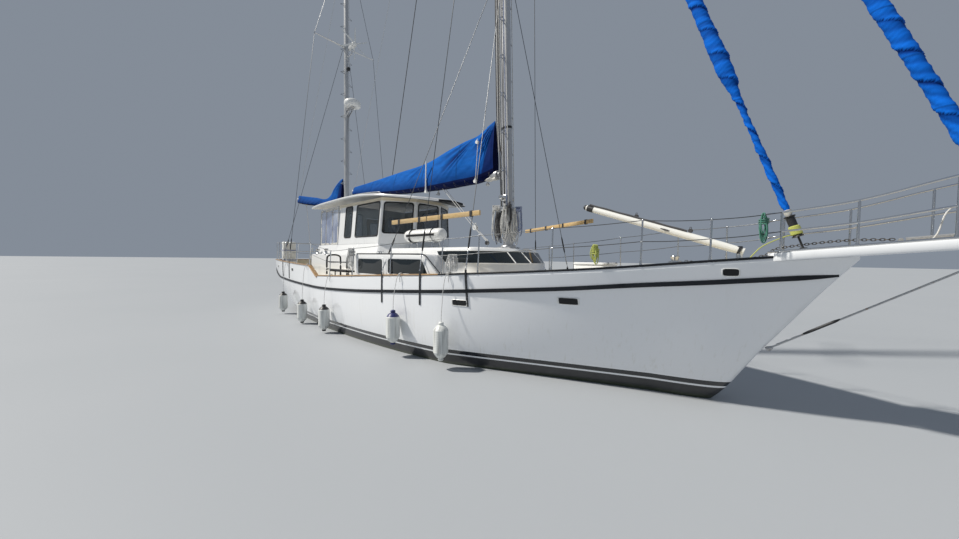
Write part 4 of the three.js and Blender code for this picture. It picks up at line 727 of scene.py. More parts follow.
def make_deckhouse():
    """Raised middle deck flush with the side, the coachroof on it, and the lower house round the cockpit."""
    form = Form()
    ends, inset = round_end(RAISED_X[0], 0.05)
    x = np.concatenate([ends, np.linspace(0, 2.3, 24), np.linspace(2.34, 2.9, 16)])
    draw = np.concatenate([inset, np.zeros(40)])
    top = np.interp(x, [2.36, 2.45, 2.55, 2.86, 2.9], [2.12, 2.105, 2.03, 1.725, 1.7]) - draw
    y, z = soft_box_rows(top, np.full(len(x), 1.45), beside(x) - draw, 0.05)
    sweep = 0.62 * (2 - np.clip(y, 1.15, 2)) * np.clip((x[:, None] - 1.2) / 1.1, 0, 1) ** 2
    half = xyz(x[:, None] - sweep, -y, z)
    form.grid(np.concatenate([half, half[:, -2::-1] * (1, -1, 1)], axis=1))
    z = np.array([1.55, 1.93, 2, 2.08, 2.16, 2.215, 2.235, 2.255, 2.272, 2.28])
    shoulder = np.array([0, 0, 0, 0, 0, 0, 0.004, 0.013, 0.028, 0.05])
    loops = [coach_loop(height, -draw_in) for height, draw_in in zip(z, shoulder)]
    form.grid(np.stack(loops))
    for side in BOTH:
        x = np.linspace(-4.6, -0.056, 24)
        outer = np.interp(x, [-4.6, -2.6, 0], [1.45, 1.6, 1.6])
        turn = np.linspace(0, math.pi / 2, 5)
        y = np.concatenate([np.stack([x * 0 + 1.12, outer], 1), (outer[:, None] - 0.05 + 0.05 * np.cos(turn)),
                            np.stack([x * 0 + 1.14, x * 0 + 1.12], 1)], axis=1)
        z = np.concatenate([[AFT_DECK, AFT_DECK], HOUSE_TOP - 0.05 + 0.05 * np.sin(turn),
                            [HOUSE_TOP, HOUSE_TOP - 0.02]])
        form.grid(xyz(x[:, None], side * y, z))
    form.block((-4.6, -1.12, AFT_DECK), (-4.52, 1.12, HOUSE_TOP), 0.02)
    form.block((-0.15, -1.13, AFT_DECK), (0.03, 1.13, HOUSE_TOP - 0.006), 0.02)
    piece("deckhouse_moulding", form, HOUSE_WHITE, replaces="deckhouse")


# Windows of the raised deck: aft x, forward x at the head, forward x at the foot, sill, head
HOUSE_WINDOWS = [(0.12, 1.13, 1.13, 1.655, 2), (1.33, 2.38, 2.56, 1.69, 2.01)]


def window_loop(x0, x1, x2, z0, z1, grow, radius):
    """Rounded four-sided outline whose forward edge slopes from x1 at the head to x2 at the foot."""
    loop = rounded(x0 - grow, x1 + grow, z0 - grow, z1 + grow, radius + grow, 6)
    pull = np.clip((loop[:, 0] - x0) / (x1 - x0), 0, 1)
    loop[:, 0] += pull * (x2 - x1) / (z1 - z0) * (z1 - loop[:, 1])
    return loop


def make_house_windows():
    """Dark acrylic panes set in raised white surrounds, bent to the topsides."""
    panes, surrounds = Form(), Form()
    for side in BOTH:
        for row in HOUSE_WINDOWS:
            inner = window_loop(*row, 0, 0.055)
            outer = window_loop(*row, 0.045, 0.055)
            wall = lambda loop, off: xyz(loop[:, 0], side * (beside(loop[:, 0]) + off), loop[:, 1])
            surrounds.grid(np.stack([wall(outer, -0.01), wall(outer, 0.01),
                                     wall(outer * 0.35 + inner * 0.65, 0.016), wall(inner, 0.01),
                                     wall(inner, -0.01)]), loop=True)
            middle = inner.mean(0)
            rings = [wall(middle + (inner - middle) * k, 0.006) for k in (1, 0.66, 0.33, 0.02)]
            panes.grid(np.stack([wall(inner, -0.012), *rings]))
    edging = Form()
    for side in BOTH:
        along = np.concatenate([np.linspace(0.02, 2.38, 24), np.linspace(2.46, 2.86, 8)])
        level = np.interp(along, [2.36, 2.45, 2.86], [2.118, 2.1, 1.73]) + 0.002
        edging.tube(xyz(along, side * (beside(along) - 0.012), level), 0.01, 8)
    piece("house_edging", edging, BLACK)
    piece("house_panes", panes, GLASS, replaces=("deckhouse_glazing_starboard", "deckhouse_glazing_port"))
    piece("house_window_surrounds", surrounds, HOUSE_WHITE, sharp=50)
    band, trim = Form(), Form()
    heights = np.linspace(1.955, 2.195, 6)
    reaches = np.interp(heights, [1.955, 2.12, 2.195], [2.15, 1.98, 1.93])
    sheet = np.stack([coach_loop(z, 0.007, r) for z, r in zip(heights, reaches)])
    back = np.stack([coach_loop(z, -0.01, r) for z, r in zip(heights[::-1], reaches[::-1])])
    band.grid(np.concatenate([sheet, back]).transpose(1, 0, 2))
    for z, r in ((1.946, 2.16), (2.204, 1.92)):
        trim.tube(coach_loop(z, 0.004, r), 0.011, 8)
    for turn in (0.36, 0.5, 0.64):
        low, high = (coach_loop(z, 0.01)[11 + int(48 * turn)] for z in (1.955, 2.195))
        trim.rod(low, high, 0.013)
    piece("coachroof_band", band, GLASS, replaces="coachroof_glazing")
    piece("coachroof_trim", trim, HOUSE_WHITE)


# Hard roof: x, half-breadth, height of the edge, crown
ROOF = [
    (-4.75, 1.38, 3.69, 0.09), (-4.43, 1.42, 3.715, 0.095), (-3, 1.43, 3.76, 0.1), (-1.7, 1.43, 3.76, 0.1),
    (-0.7, 1.42, 3.7, 0.09), (-0.1, 1.29, 3.64, 0.08), (0.4, 1.06, 3.58, 0.065), (0.8, 0.76, 3.53, 0.045),
    (1.05, 0.42, 3.495, 0.025),
]
ROOF_THICK = 0.055


def roof_under(x, y):
    """Height of the roof's underside: a parabola across, smooth curves along."""
    half, edge, crown = (flow(x, ROOF, i) for i in (1, 2, 3))
    return edge + crown * (1 - np.clip(y / half, -1, 1) ** 2)


def make_roof():
    """Hard roof: a crowned slab with a rounded edge, black under its forward overhang as painted shade, white
    under the rest, and its grab rails.
    """
    form = Form()
    x = np.concatenate([round_end(-4.75, 0.03)[0], np.linspace(-4.7, 0.7, 60), np.linspace(0.74, 1.03, 14),
                        1.05 - np.array([0.012, 0.004, 0])])
    half = flow(x, ROOF, 1) - np.interp(x, [-4.75, -4.72], [0.02, 0])
    across = np.linspace(-1, 1, 25)
    under = xyz(x[:, None], half[:, None] * across, roof_under(x[:, None], half[:, None] * across))
    edge = np.array([[0.012, 0.3], [0.016, 0.6], [0.01, 0.85]])
    right = under[:, -1:] + np.stack([edge[:, 0] * 0, edge[:, 0], edge[:, 1] * ROOF_THICK], -1)
    left = under[:, :1] + np.stack([edge[:, 0] * 0, -edge[:, 0], edge[:, 1] * ROOF_THICK], -1)
    over = (under + (0, 0, ROOF_THICK))[:, ::-1]
    ring = np.concatenate([under, right, over, left[:, ::-1]], axis=1)
    rows, columns = ring.shape[:2]
    marks = np.zeros((rows - 1, columns), int)
    # Underside: black forward of x = -0.1, a painted shade under the overhang; white further aft.
    marks[:, :24] = np.where(x[:-1, None] > -0.1, 1, 2)
    form.grid(ring, mark=marks)
    piece("roof_moulding", form, [HOUSE_WHITE, GASKET, MOULDED_WHITE], replaces="hard_roof")
    rail = Form()
    for side in BOTH:
        for start, end in ((-4.2, -2.6), (-2.3, -0.5)):
            u = np.linspace(start, end, 24)
            y = side * (flow(u, ROOF, 1) - 0.24)
            rise = 0.055 * np.clip(np.minimum(u - start, end - u) / 0.06, 0, 1)
            rail.tube(xyz(u, y, roof_under(u, y) + ROOF_THICK + rise - 0.004), 0.012, 8)
            for at in (start + 0.5, (start + end) / 2, end - 0.5):
                y_at = side * (flow(at, ROOF, 1) - 0.24)
                low = roof_under(at, y_at) + ROOF_THICK - 0.004
                rail.rod((at, y_at, low), (at, y_at, low + 0.055), 0.01)
    piece("roof_grab_rails", rail, STEEL)


# Pilothouse: corners (x, half-breadth) at the sill, where the walls' lines end, and of the shoulder's foot
PLAN_LOW = [(-2.85, 1.3), (-0.45, 1.27), (0.06, 0.47)]
PLAN_HIGH = [(-2.85, 1.19), (-0.42, 1.16), (0.1, 0.42)]
WALL_TOP = 3.8
PLINTH = [(-2.85, 1.44), (-0.38, 1.41), (0.19, 0.54)]


def wall_point(index, t, z, side):
    """A point on the pilothouse's wall: t along the panel that starts at a plan corner, at height z."""
    z = np.asarray(z, float)
    rise = (z - SILL) / (WALL_TOP - SILL)
    low = np.array([*PLAN_LOW, (PLAN_LOW[2][0], -PLAN_LOW[2][1])])
    high = np.array([*PLAN_HIGH, (PLAN_HIGH[2][0], -PLAN_HIGH[2][1])])
    t = np.asarray(t, float)[..., None]
    a = low[index] + (low[index + 1] - low[index]) * t
    b = high[index] + (high[index + 1] - high[index]) * t
    plan = a + (b - a) * rise[..., None]
    return np.stack([plan[..., 0], plan[..., 1] * side, np.broadcast_to(z, plan[..., 0].shape)], axis=-1)


def panel_normal(index, side):
    """Outward direction of a wall panel."""
    a, b, c = (wall_point(index, t, z, side) for t, z in ((0, 3), (1, 3), (0, 3.6)))
    n = unit(np.cross(b - a, c - a))
    outward = np.array([0.6, side, 0]) if index else np.array([0, side, 0])
    if index == 2:
        outward = np.array([1, 0, 0])
    return n * np.sign(n @ outward)


WALL_HEAD = 3.66                  # the walls stop here, under the roof
# Panes: plan panel, start and end along it, sill, head
PANES = [(0, 0.158, 0.337, 2.62, 3.56), (0, 0.441, 0.968, 2.62, 3.56), (1, 0.075, 0.925, 2.7, 3.54),
         (2, 0.09, 0.91, 2.7, 3.54)]
# Pieces of wall, each with one pane: plan panel, start, end
WALLS = [(0, 0, 0.389), (0, 0.389, 1), (1, 0, 1), (2, 0, 1)]


def spread(loop, u0, u1, v0, v1):
    """Carries points on the rounded opening outwards onto the wall piece's rectangle, corner to corner."""
    ray = loop - loop.mean(0)
    scaled = ray / np.abs(ray).max(0)
    square = scaled / np.abs(scaled).max(axis=1, keepdims=True)
    return np.array([(u0 + u1) / 2, (v0 + v1) / 2]) + square * ((u1 - u0) / 2, (v1 - v0) / 2)


def pierced(form, on, outer, opening, thick):
    """A wall from its outer face inwards, with an opening through it."""
    form.grid(np.stack([on(outer, 0), on(opening, 0), on(opening, -thick), on(outer, -thick)]), loop=True)


def make_pilothouse():
    """White walls pierced by rounded openings, black rubber gaskets, tinted panes, round corner posts."""
    walls, gaskets, panes, header, posts = Form(), Form(), Form(), Form(), Form()
    for (index, t0, t1, z0, z1), (_, w0, w1) in zip(PANES, WALLS):
        for side in BOTH if index < 2 else (1,):
            a, b = (wall_point(index, t, 3, side) for t in (0, 1))
            length = np.linalg.norm(b - a)
            loop = rounded(t0 * length, t1 * length, z0, z1, 0.075, 7)
            edge = spread(loop, w0 * length, w1 * length, SILL, WALL_HEAD)
            n = panel_normal(index, side)
            on = lambda p, off: wall_point(index, p[:, 0] / length, p[:, 1], side) + n * off
            walls.grid(np.stack([on(edge, -0.045), on(edge, 0), on(loop, 0), on(loop, -0.045)]), loop=True)
            gaskets.rim(on, loop, [(14, 2), (12, 10), (-4, 14), (-18, 8), (-20, -4), (0, -8)])
            inner = [loop.mean(0) * (1 - k) + loop * k for k in (0.5, 0.01)]
            panes.grid(np.stack([on(grown(loop, -0.002), off) for off in (-0.006, 0.002)]
                                + [on(p, 0.002) for p in inner]))
    for side in BOTH:
        for index, inward in ((1, (-0.6, -side, 0)), (2, (-1, -side * 0.4, 0))):
            a, b = (wall_point(index, 0, z, side) for z in (SILL - 0.01, WALL_HEAD))
            shift = unit(np.array(inward)) * 0.03
            posts.tube(np.linspace(a + shift, b + shift, 8), 0.042, 16)
        for index in (0, 1, 2) if side > 0 else (0, 1):
            t = np.linspace(0 if index else -0.003, 1, 12)
            n = panel_normal(index, side)
            low, high = (wall_point(index, t, z, side) for z in (3.575, 3.655))
            header.grid(np.stack([low + n * 0.004, low + n * 0.022, high + n * 0.024, high + n * 0.004],
                                 axis=1))
    piece("pilothouse_walls", walls, HOUSE_WHITE, replaces="pilothouse")
    piece("pilothouse_gaskets", gaskets, GASKET, sharp=60)
    piece("pilothouse_panes", panes, PANE, replaces="pilothouse_glazing")
    piece("pilothouse_header", header, HEADER_CREAM)
    piece("pilothouse_posts", posts, HOUSE_WHITE)


def plan_loop(outline, inset, radius, steps=6):
    """Both halves of a plan as one loop with its forward corners rounded."""
    pts = [(x, y) for x, y in outline] + [(x, -y) for x, y in reversed(outline)]
    pts = np.array(pts)
    middle = np.array([pts[:, 0].mean(), 0])
    out = []
    for i, p in enumerate(pts):
        before, after = pts[i - 1], pts[(i + 1) % len(pts)]
        if i in (0, len(pts) - 1):
            out.append(np.repeat(p[None], steps, 0))
            continue
        a, b = p + unit(before - p) * radius, p + unit(after - p) * radius
        t = np.linspace(0, 1, steps)[:, None]
        out.append((1 - t) ** 2 * a + 2 * t * (1 - t) * p + t ** 2 * b)
    loop = np.concatenate(out)
    toward = unit(middle - loop)
    return loop + toward * inset


def make_plinth():
    """Sloping shoulder between the house top and the glazing, and the coamings that run aft from it."""
    form = Form()
    low, high = plan_loop(PLINTH, 0, 0.12), plan_loop(PLAN_LOW, 0, 0.07)
    rows = [(low, HOUSE_TOP - 0.02, 0), (low * 0.97 + high * 0.03, HOUSE_TOP + 0.015, 0),
            (low * 0.8 + high * 0.2, 2.175, 0), (low * 0.12 + high * 0.88, 2.375, 0), (high, 2.408, 0),
            (high, SILL, 0.008)]
    rings = [xyz(loop[:, 0], loop[:, 1] * (1 - inset), z) for loop, z, inset in rows]
    rings += [ring * (1, 0.955, 1) + (-0.04, 0, 0) * (ring[:, :1] > -2.8) for ring in rings[::-1]]
    form.grid(np.stack(rings)[:, 5:-5].transpose(1, 0, 2))
    for side in BOTH:
        x = np.linspace(-4.6, -2.845, 16)
        wide = 1.33 + (1.44 - 1.33) * (x + 4.6) / 1.75
        y = np.stack([wide, wide - 0.128, wide - 0.14, wide - 0.185, wide - 0.195, wide - 0.195], 1)
        z = np.array([HOUSE_TOP - 0.01, 2.4, SILL, SILL, 2.405, HOUSE_TOP - 0.01])
        form.grid(xyz(x[:, None], side * y, z))
    piece("pilothouse_shoulder", form, HOUSE_WHITE)


# Masts: x and z of foot and head, half-section fore and aft and athwart
MAIN = ((3.01, 2.282), (2.285, 20.8), (0.13, 0.088))
MIZZEN = ((-5, AFT_DECK), (-5.09, 14.3), (0.1, 0.08))
# Pins of the booms: x and z
MAIN_PIN, MIZZEN_PIN, CLUB_PIN = (2.745, 4), (-5.15, 4.1), (7.21, 2.2)


def mast_x(mast, z):
    """Where the raked middle line of a mast is at a height."""
    (x0, z0), (x1, z1), _ = mast
    return x0 + (x1 - x0) * (np.asarray(z, float) - z0) / (z1 - z0)


def mast_form(mast, foot):
    """Oval tapering tube with a sail track down its after face, on a bolted deck step."""
    (x0, z0), (x1, z1), (a, b) = mast
    form = Form()
    z = np.linspace(z0 + 0.001, z1, 46)
    thin = np.interp((z - z0) / (z1 - z0), [0, 0.8, 1], [1, 1, 0.72])[:, None]
    angle = np.arange(28) * TAU / 28
    ring = xyz(mast_x(mast, z)[:, None] + thin * a * np.cos(angle), thin * b * np.sin(angle), z[:, None])
    form.grid(ring)
    track = np.array([z0 + 1.1, z1 - 0.3])
    for wide, out in ((22, 0.014), (36, 0.02)):
        path = xyz(mast_x(mast, track) - np.interp(track, z, thin[:, 0]) * a - out + 0.006, 0, track)
        form.sweep(path, bar(wide, 8, 2, 2), up=(1, 0, 0))
    form.block((x0 - foot, -foot, z0 + 0.001), (x0 + foot, foot, z0 + 0.024), 0.008)
    form.lathe([(0, 20), (a * 1350, 22), (a * 1300, 50), (a * 1120, 75), (0, 80)], (x0, 0, z0), sides=28)
    for angle in (np.arange(4) + 0.5) * TAU / 4:
        bolt = (x0 + foot * 1.1 * math.cos(angle), foot * 1.1 * math.sin(angle), z0)
        form.lathe([(0, 22), (16, 22), (16, 34), (0, 36)], bolt, sides=6)
    form.block((x1 - a * 0.9, -b * 0.55, z1 - 0.02), (x1 + a * 0.9, b * 0.55, z1 + 0.004), 0.004)
    return form


def mast_steps(mast, start, stop, each=0.42):
    """Folding steps, to starboard and port in turn: a bent flat bar that makes a triangle with the mast."""
    form = Form()
    for i, z in enumerate(np.arange(start, stop, each)):
        side = BOTH[i % 2]
        root = np.array([mast_x(mast, z), side * (mast[2][1] - 0.004), z])
        path = [root + (0, side * out, up) for out, up in
                ((0, 0.085), (0.125, 0.012), (0.135, 0), (0.12, -0.006), (0, -0.006))]
        form.sweep(curve(path, 14), [(-0.013, -0.003), (0.013, -0.003), (0.013, 0.003), (-0.013, 0.003)],
                   up=(1, 0, 0))
    return form


def winch(form, centre, axis, size=1):
    """Drum with its base ring, waist ribs, self-tailer jaws and crank socket."""
    profile = [(0, 0), (75, 0), (75, 12), (66, 18), (60, 30), (48, 50), (44, 85), (50, 115), (60, 125),
               (64, 130), (58, 136), (64, 143), (60, 150), (30, 156), (26, 150), (0, 150)]
    form.lathe(np.array(profile) * size, centre, axis, 28)


def horn_cleat(form, centre, along, up, length=0.2):
    """Two horns on a pair of feet."""
    c, along, up = (np.asarray(v, float) for v in (centre, along, up))
    t = np.linspace(-1, 1, 13)
    path = c + along * (t * length / 2)[:, None] + up * (0.045 + 0.012 * np.abs(t) ** 2)[:, None]
    form.tube(path, 0.013 * (1 - 0.45 * np.abs(t)), 10, up=up)
    for s in (-0.17, 0.17):
        form.rod(c + along * length * s, c + along * length * s + up * 0.045, 0.014, 0.01, 10)


def block_and_cheeks(form, centre, size=0.035, mark=0):
    """Rope block: two rounded cheeks, a sheave between and a shackle."""
    c, mm = np.asarray(centre, float), 1000 * size
    for y in (-0.55, 0.55):
        form.lathe([(0, -0.1 * mm), (mm, -0.1 * mm), (mm * 1.05, 0), (mm, 0.18 * mm), (0, 0.22 * mm)],
                   c + (0, y * size, 0), (0, 1, 0), 16, mark=mark)
    form.lathe([(0, -0.3 * mm), (0.8 * mm, -0.3 * mm), (0.62 * mm, 0), (0.8 * mm, 0.3 * mm), (0, 0.3 * mm)],
               c, (0, 1, 0), 16)
    a = np.linspace(0, TAU, 14)[:-1]
    ring = c + size * xyz(0.45 * np.cos(a), 0, 1.35 + 0.55 * np.sin(a))
    form.tube(ring, 0.14 * size, 6, up=(0, 1, 0), closed=True)


def wires_from_plates(side, routes):
    """Wires over their spreaders, each up from a bottle screw on its chainplate."""
    wires, screws = Form(), Form()
    for x, route in routes.items():
        foot = np.array([x, side * (deck_half(x) + 0.007), plate_head(x)])
        bottle_screw(screws, foot, route[0])
        wires.tube(np.array([foot + unit(np.array(route[0]) - foot) * 0.3, *route]), WIRE, 6)
    return wires, screws


def make_masts():
    """Masts with their steps, winches, cleats, halyards, boom pins and deck lights."""
    for name, mast, foot, top in (("main", MAIN, 0.19, 19.9), ("mizzen", MIZZEN, 0.15, 13.9)):
        piece(f"{name}_mast_tube", mast_form(mast, foot), SPAR, replaces=f"{name}_mast")
        piece(f"{name}_mast_steps", mast_steps(mast, mast[0][1] + 0.9, top), STEEL, sharp=50)
    fittings, cords, dark = Form(), Form(), Form()
    for side in BOTH:
        for z, forward in ((3.15, 0.03), (3.42, -0.03)):
            x = mast_x(MAIN, z) + forward
            fittings.block(*corners((x, side * 0.088, z), (0.07, 0.02, 0.07)), 0.006)
            winch(fittings, (x, side * 0.108, z), (0, side, 0), 0.8)
        for z in (2.75, 2.92):
            horn_cleat(fittings, (mast_x(MAIN, z) + 0.03, side * 0.086, z), (0, 0, 1), (0, side, 0), 0.17)
        x = mast_x(MIZZEN, 2.9)
        winch(fittings, (x, side * 0.08, 2.9), (0, side, 0), 0.7)
        horn_cleat(fittings, (x, side * 0.078, 2.5), (0, 0, 1), (0, side, 0), 0.15)
        for k, (forward, top) in enumerate(((0.1, 20.4), (0.05, 17.3), (-0.02, 20.4))):
            z = np.linspace(2.98 + 0.1 * k, top, 24)
            slack = 0.02 * np.sin(np.linspace(0, math.pi, 24))
            cords.tube(xyz(mast_x(MAIN, z) + forward, side * (0.097 + slack), z), 0.009, 6, mark=k)
        for k in range(3):
            z = np.array([2.75, 3.7, 4.3, 5.6, 12, 20.3])
            back = np.array([0.14, 0.155, 0.165, 0.175 + 0.045 * k, 0.16 + 0.03 * k, 0.12])
            run = curve(xyz(mast_x(MAIN, z) - back, side * (0.055 - 0.012 * k), z), 40)
            cords.tube(run, 0.013, 6, mark=(2, 0, 2)[k])
        z = np.linspace(2.6, 14, 18)
        slack = 0.015 * np.sin(np.linspace(0, math.pi, 18))
        cords.tube(xyz(mast_x(MIZZEN, z) + 0.06, side * (0.08 + slack), z), 0.006, 6)
    for mast, z in ((MAIN, 9.4), (MIZZEN, 9.2)):
        x = mast_x(mast, z) + mast[2][0]
        fittings.block(*corners((x + 0.02, 0, z), (0.03, 0.03, 0.03)), 0.005)
        dark.lathe([(0, -100), (50, -100), (75, -40), (70, 0), (30, 20), (0, 20)], (x + 0.08, 0, z), sides=20)
    for (x, z), mast in ((MAIN_PIN, MAIN), (MIZZEN_PIN, MIZZEN)):
        back = mast_x(mast, z) - mast[2][0] * 0.9
        for low in (z - 0.095, z + 0.065):
            fittings.block((x - 0.032, -0.032, low), (back + 0.03, 0.032, low + 0.028), 0.006)
        fittings.block(*corners((back, 0, z), (0.012, 0.05, 0.16)), 0.004)
        fittings.rod((x, 0, z - 0.11), (x, 0, z + 0.11), 0.012)
    for z in (4.97, 8.1):
        band = np.array([z, z + 0.05])
        fittings.sweep(xyz(mast_x(MAIN, band), 0, band), disc(1.04, 28) * MAIN[2][::-1], up=(1, 0, 0), mark=1)
    piece("mast_fittings", fittings, [STEEL, MOULDED], sharp=45)
    piece("mast_halyards", cords, [ROPE, ROPE_BLUE, ROPE_DARK], sharp=60)
    piece("mast_deck_lights", dark, MOULDED)


# Standing rigging. Chainplates: x. Spreaders: height, half-span
PLATES = (1.2, 2.4, 3.5, -5.15, -6.25)
MAIN_SPREADERS = ((8.6, 1.25), (14.5, 1.05))
MIZZEN_SPREADER = (10, 1.15)
WIRE = 0.0072


def plate_head(x):
    """Height of a chainplate's head at `x`."""
    return rail_height(x) + (0.06 if x < STEP_X[0] else 0.13)


def bottle_screw(form, foot, aim):
    """Turnbuckle from a chainplate's head towards a wire: fork, threaded rods, barrel with a hole."""
    foot, aim = np.asarray(foot, float), np.asarray(aim, float)
    along = unit(aim - foot)
    form.lathe([(0, 0), (12, 0), (13, 30), (8, 40), (7, 85), (15, 90), (16, 100),
                (12.5, 110), (12.5, 200), (16, 210), (15, 220), (7, 225), (7, 260), (11, 270),
                (11, 330), (7, 360), (0, 370)], foot, along, 12)
    form.rod(foot + (-0.018, 0, 0.008), foot + (0.018, 0, 0.008), 0.006, sides=8)
    form.lathe([(0, 400), (13, 400), (17, 460), (17, 740), (10, 800), (0, 800)], foot, along, 12, mark=1)


def make_rigging():
    """Shrouds and fittings by side and mast, chainplate straps, the stay between the masts, the bobstay."""
    for label, side in SIDES:
        over = [(mast_x(MAIN, z) - 0.04, side * span, z + 0.06) for z, span in MAIN_SPREADERS]
        tang = mast_x(MAIN, 8.6)
        wires, screws = wires_from_plates(side, {
            2.4: [*over, (mast_x(MAIN, 20.5), side * 0.076, 20.5)],
            1.2: [(tang - 0.07, side * 0.112, 8.54)], 3.5: [(tang + 0.07, side * 0.112, 8.54)]})
        for z, span in MAIN_SPREADERS:
            spreader_arm(screws, MAIN, z, span, side)
        screws.block(*corners((tang, side * 0.102, 8.55), (0.1, 0.016, 0.08)), 0.006)
        piece(f"main_wires_{label}", wires, RIGGING, replaces=f"main_rigging_{label}", sharp=60)
        piece(f"main_wire_fittings_{label}", screws, [STEEL, MOULDED], sharp=45)
        z, span = MIZZEN_SPREADER
        x = mast_x(MIZZEN, z)
        wires, screws = wires_from_plates(side, {
            -5.15: [(x - 0.04, side * span, z + 0.06), (mast_x(MIZZEN, 14), side * 0.07, 14)],
            -6.25: [(x - 0.06, side * 0.1, z - 0.06)]})
        spreader_arm(screws, MIZZEN, z, span, side)
        piece(f"mizzen_wires_{label}", wires, RIGGING, replaces=f"mizzen_rigging_{label}", sharp=60)
        piece(f"mizzen_wire_fittings_{label}", screws, [STEEL, MOULDED], sharp=45)
    straps = Form()
    for side in BOTH:
        for x in PLATES:
            edge = float(rail_height(x))
            z = np.linspace(edge - 0.54, plate_head(x), 12)
            y = side * (np.where(z < edge, side_y(x, np.minimum(z, edge - 0.001)), deck_half(x)) + 0.006)
            straps.sweep(xyz(x, y, z), bar(48, 12, 3), up=(0, 1, 0))
            for at in edge - 0.48 + np.arange(5) * 0.1:
                straps.lathe([(0, 0), (10, 1), (8, 6), (0, 8)], (x, side * (side_y(x, at) + 0.011), at),
                             (0, side, 0), 10)
    piece("chainplate_straps", straps, CHAINPLATE, sharp=40)
    stay = Form()
    a, b = np.array([mast_x(MAIN, 20.6) - 0.06, 0, 20.6]), np.array([mast_x(MIZZEN, 14.2) + 0.05, 0, 14.2])
    stay.rod(a, b, WIRE, sides=6)
    for t in (0.03, 0.97):
        stay.rod(a + (b - a) * t, a + (b - a) * (t + 0.012), 0.014, sides=10)
    piece("triatic_wire", stay, RIGGING, replaces="triatic_stay")
    chain = Form()
    foot, head = np.array([7.56, 0, 0.87]), np.array([9.44, 0, plank_top(9.44) - 0.1])
    chain.rod(foot, head, 0.011, sides=10)
    bottle_screw(chain, foot + (0.02, 0, 0.02), head)
    chain.lathe([(0, -20), (30, -20), (34, 0), (20, 50), (0, 60)], foot, (1, 0, 0.6), 16)
    chain.block(*corners(head + (-0.005, 0, -0.03), (0.065, 0.03, 0.025)), 0.008)
    piece("bobstay_rod", chain, [ZINC, MOULDED], replaces="bobstay")


def spreader_arm(form, mast, z, span, side):
    """Flattened tapering arm with its root bracket, ending in a boot round the shroud."""
    x, root = mast_x(mast, z), mast[2][1] - 0.004
    t = np.linspace(0, 1, 8)
    path = xyz(x - 0.04 * t, side * (root + (span + 0.006 - root) * t), z + 0.06 * t)
    form.sweep(path, disc(1, 14) * (0.05, 0.024), scale=1 - 0.42 * t)
    form.block(*corners((x, side * (root + 0.025), z), (0.06, 0.025, 0.04)), 0.008)
    boot = [(0, -50), (20, -45), (28, 0), (20, 45), (0, 50)]
    form.lathe(boot, (x - 0.04, side * span, z + 0.06), sides=14)


def tackle(form, high, low, part, size):
    """Three parts of rope side by side, `part` apart, between two blocks."""
    for k in (-1, 0, 1):
        off = k * np.array(part)
        form.rod(high + off - (0, 0, 0.02), low + off + (0, 0, 0.02), 0.0055, sides=6)
    for spot in (high, low):
        block_and_cheeks(form, spot, size)


# Booms: pin x and z, length, rise per metre, radius, swing in degrees (0 is amidships)
BOOMS = {"main_boom": (MAIN_PIN, 7.2, 0.0652, 0.085, 0), "mizzen_boom": (MIZZEN_PIN, 3.35, 0.13, 0.07, 10)}
MAIN_RISE, MIZZEN_RISE = BOOMS["main_boom"][2], BOOMS["mizzen_boom"][2]


def on_boom(boom, s, y, z):
    """Distances abaft the pin, athwart and above it, set on the swung boom."""
    pin, _, _, _, swing = BOOMS[boom]
    c, d = math.cos(math.radians(swing)), math.sin(math.radians(swing))
    s, y, z = np.broadcast_arrays(np.asarray(s, float), y, z)
    return xyz(pin[0] - s * c - y * d, -s * d + y * c, pin[1] + z)


def make_booms():
    """Alloy booms with cast ends, reefing lines and their blocks."""
    for boom, (_, length, rise, radius, _) in BOOMS.items():
        form, lines = Form(), Form()
        s = np.array([0.075, length - 0.09])
        form.sweep(on_boom(boom, s, 0, rise * s), disc(radius, 24))
        for at, grow in ((0.115, 1.05), (length - 0.1, 1.05)):
            ends = np.array([at - 0.035, at + 0.04])
            form.sweep(on_boom(boom, ends, 0, rise * ends), disc(radius * grow, 24))
        cap = np.array([length - 0.06, length - 0.02, length])
        form.sweep(on_boom(boom, cap, 0, rise * cap), disc(radius, 24), scale=[1.02, 0.92, 0.6])
        neck = np.array([0.03, 0.06])
        form.sweep(on_boom(boom, neck, 0, rise * neck), disc(radius * 0.6, 16))
        form.sweep(on_boom(boom, np.array([0.018, 0.05]), 0, 0), bar(36, 80, 6))
        form.rod(on_boom(boom, 0, 0, -0.045), on_boom(boom, 0, 0, 0.045), 0.022, sides=16)
        piece(f"{boom}_spar", form, SPAR, body=boom, replaces=boom, sharp=40)
        for k, y in enumerate((-0.6, 0.6)):
            s = np.linspace(0.12, length - 0.12, 20)
            sag = 0.012 * np.sin(np.linspace(0, 3 * math.pi, 20)) ** 2
            lines.tube(on_boom(boom, s, y * radius, rise * s - radius * 0.86 - sag), 0.006, 6, mark=k)
        for at in (0.55, 0.8):
            centre = on_boom(boom, length * at, 0, rise * length * at - radius - 0.055)
            block_and_cheeks(lines, centre, 0.034)
            band = on_boom(boom, np.array([length * at - 0.02, length * at + 0.02]), 0, rise * length * at)
            lines.sweep(band, disc(radius * 1.05, 20), mark=2)
        piece(f"{boom}_lines", lines, [ROPE, ROPE_BLUE, STEEL], body=boom, sharp=55)


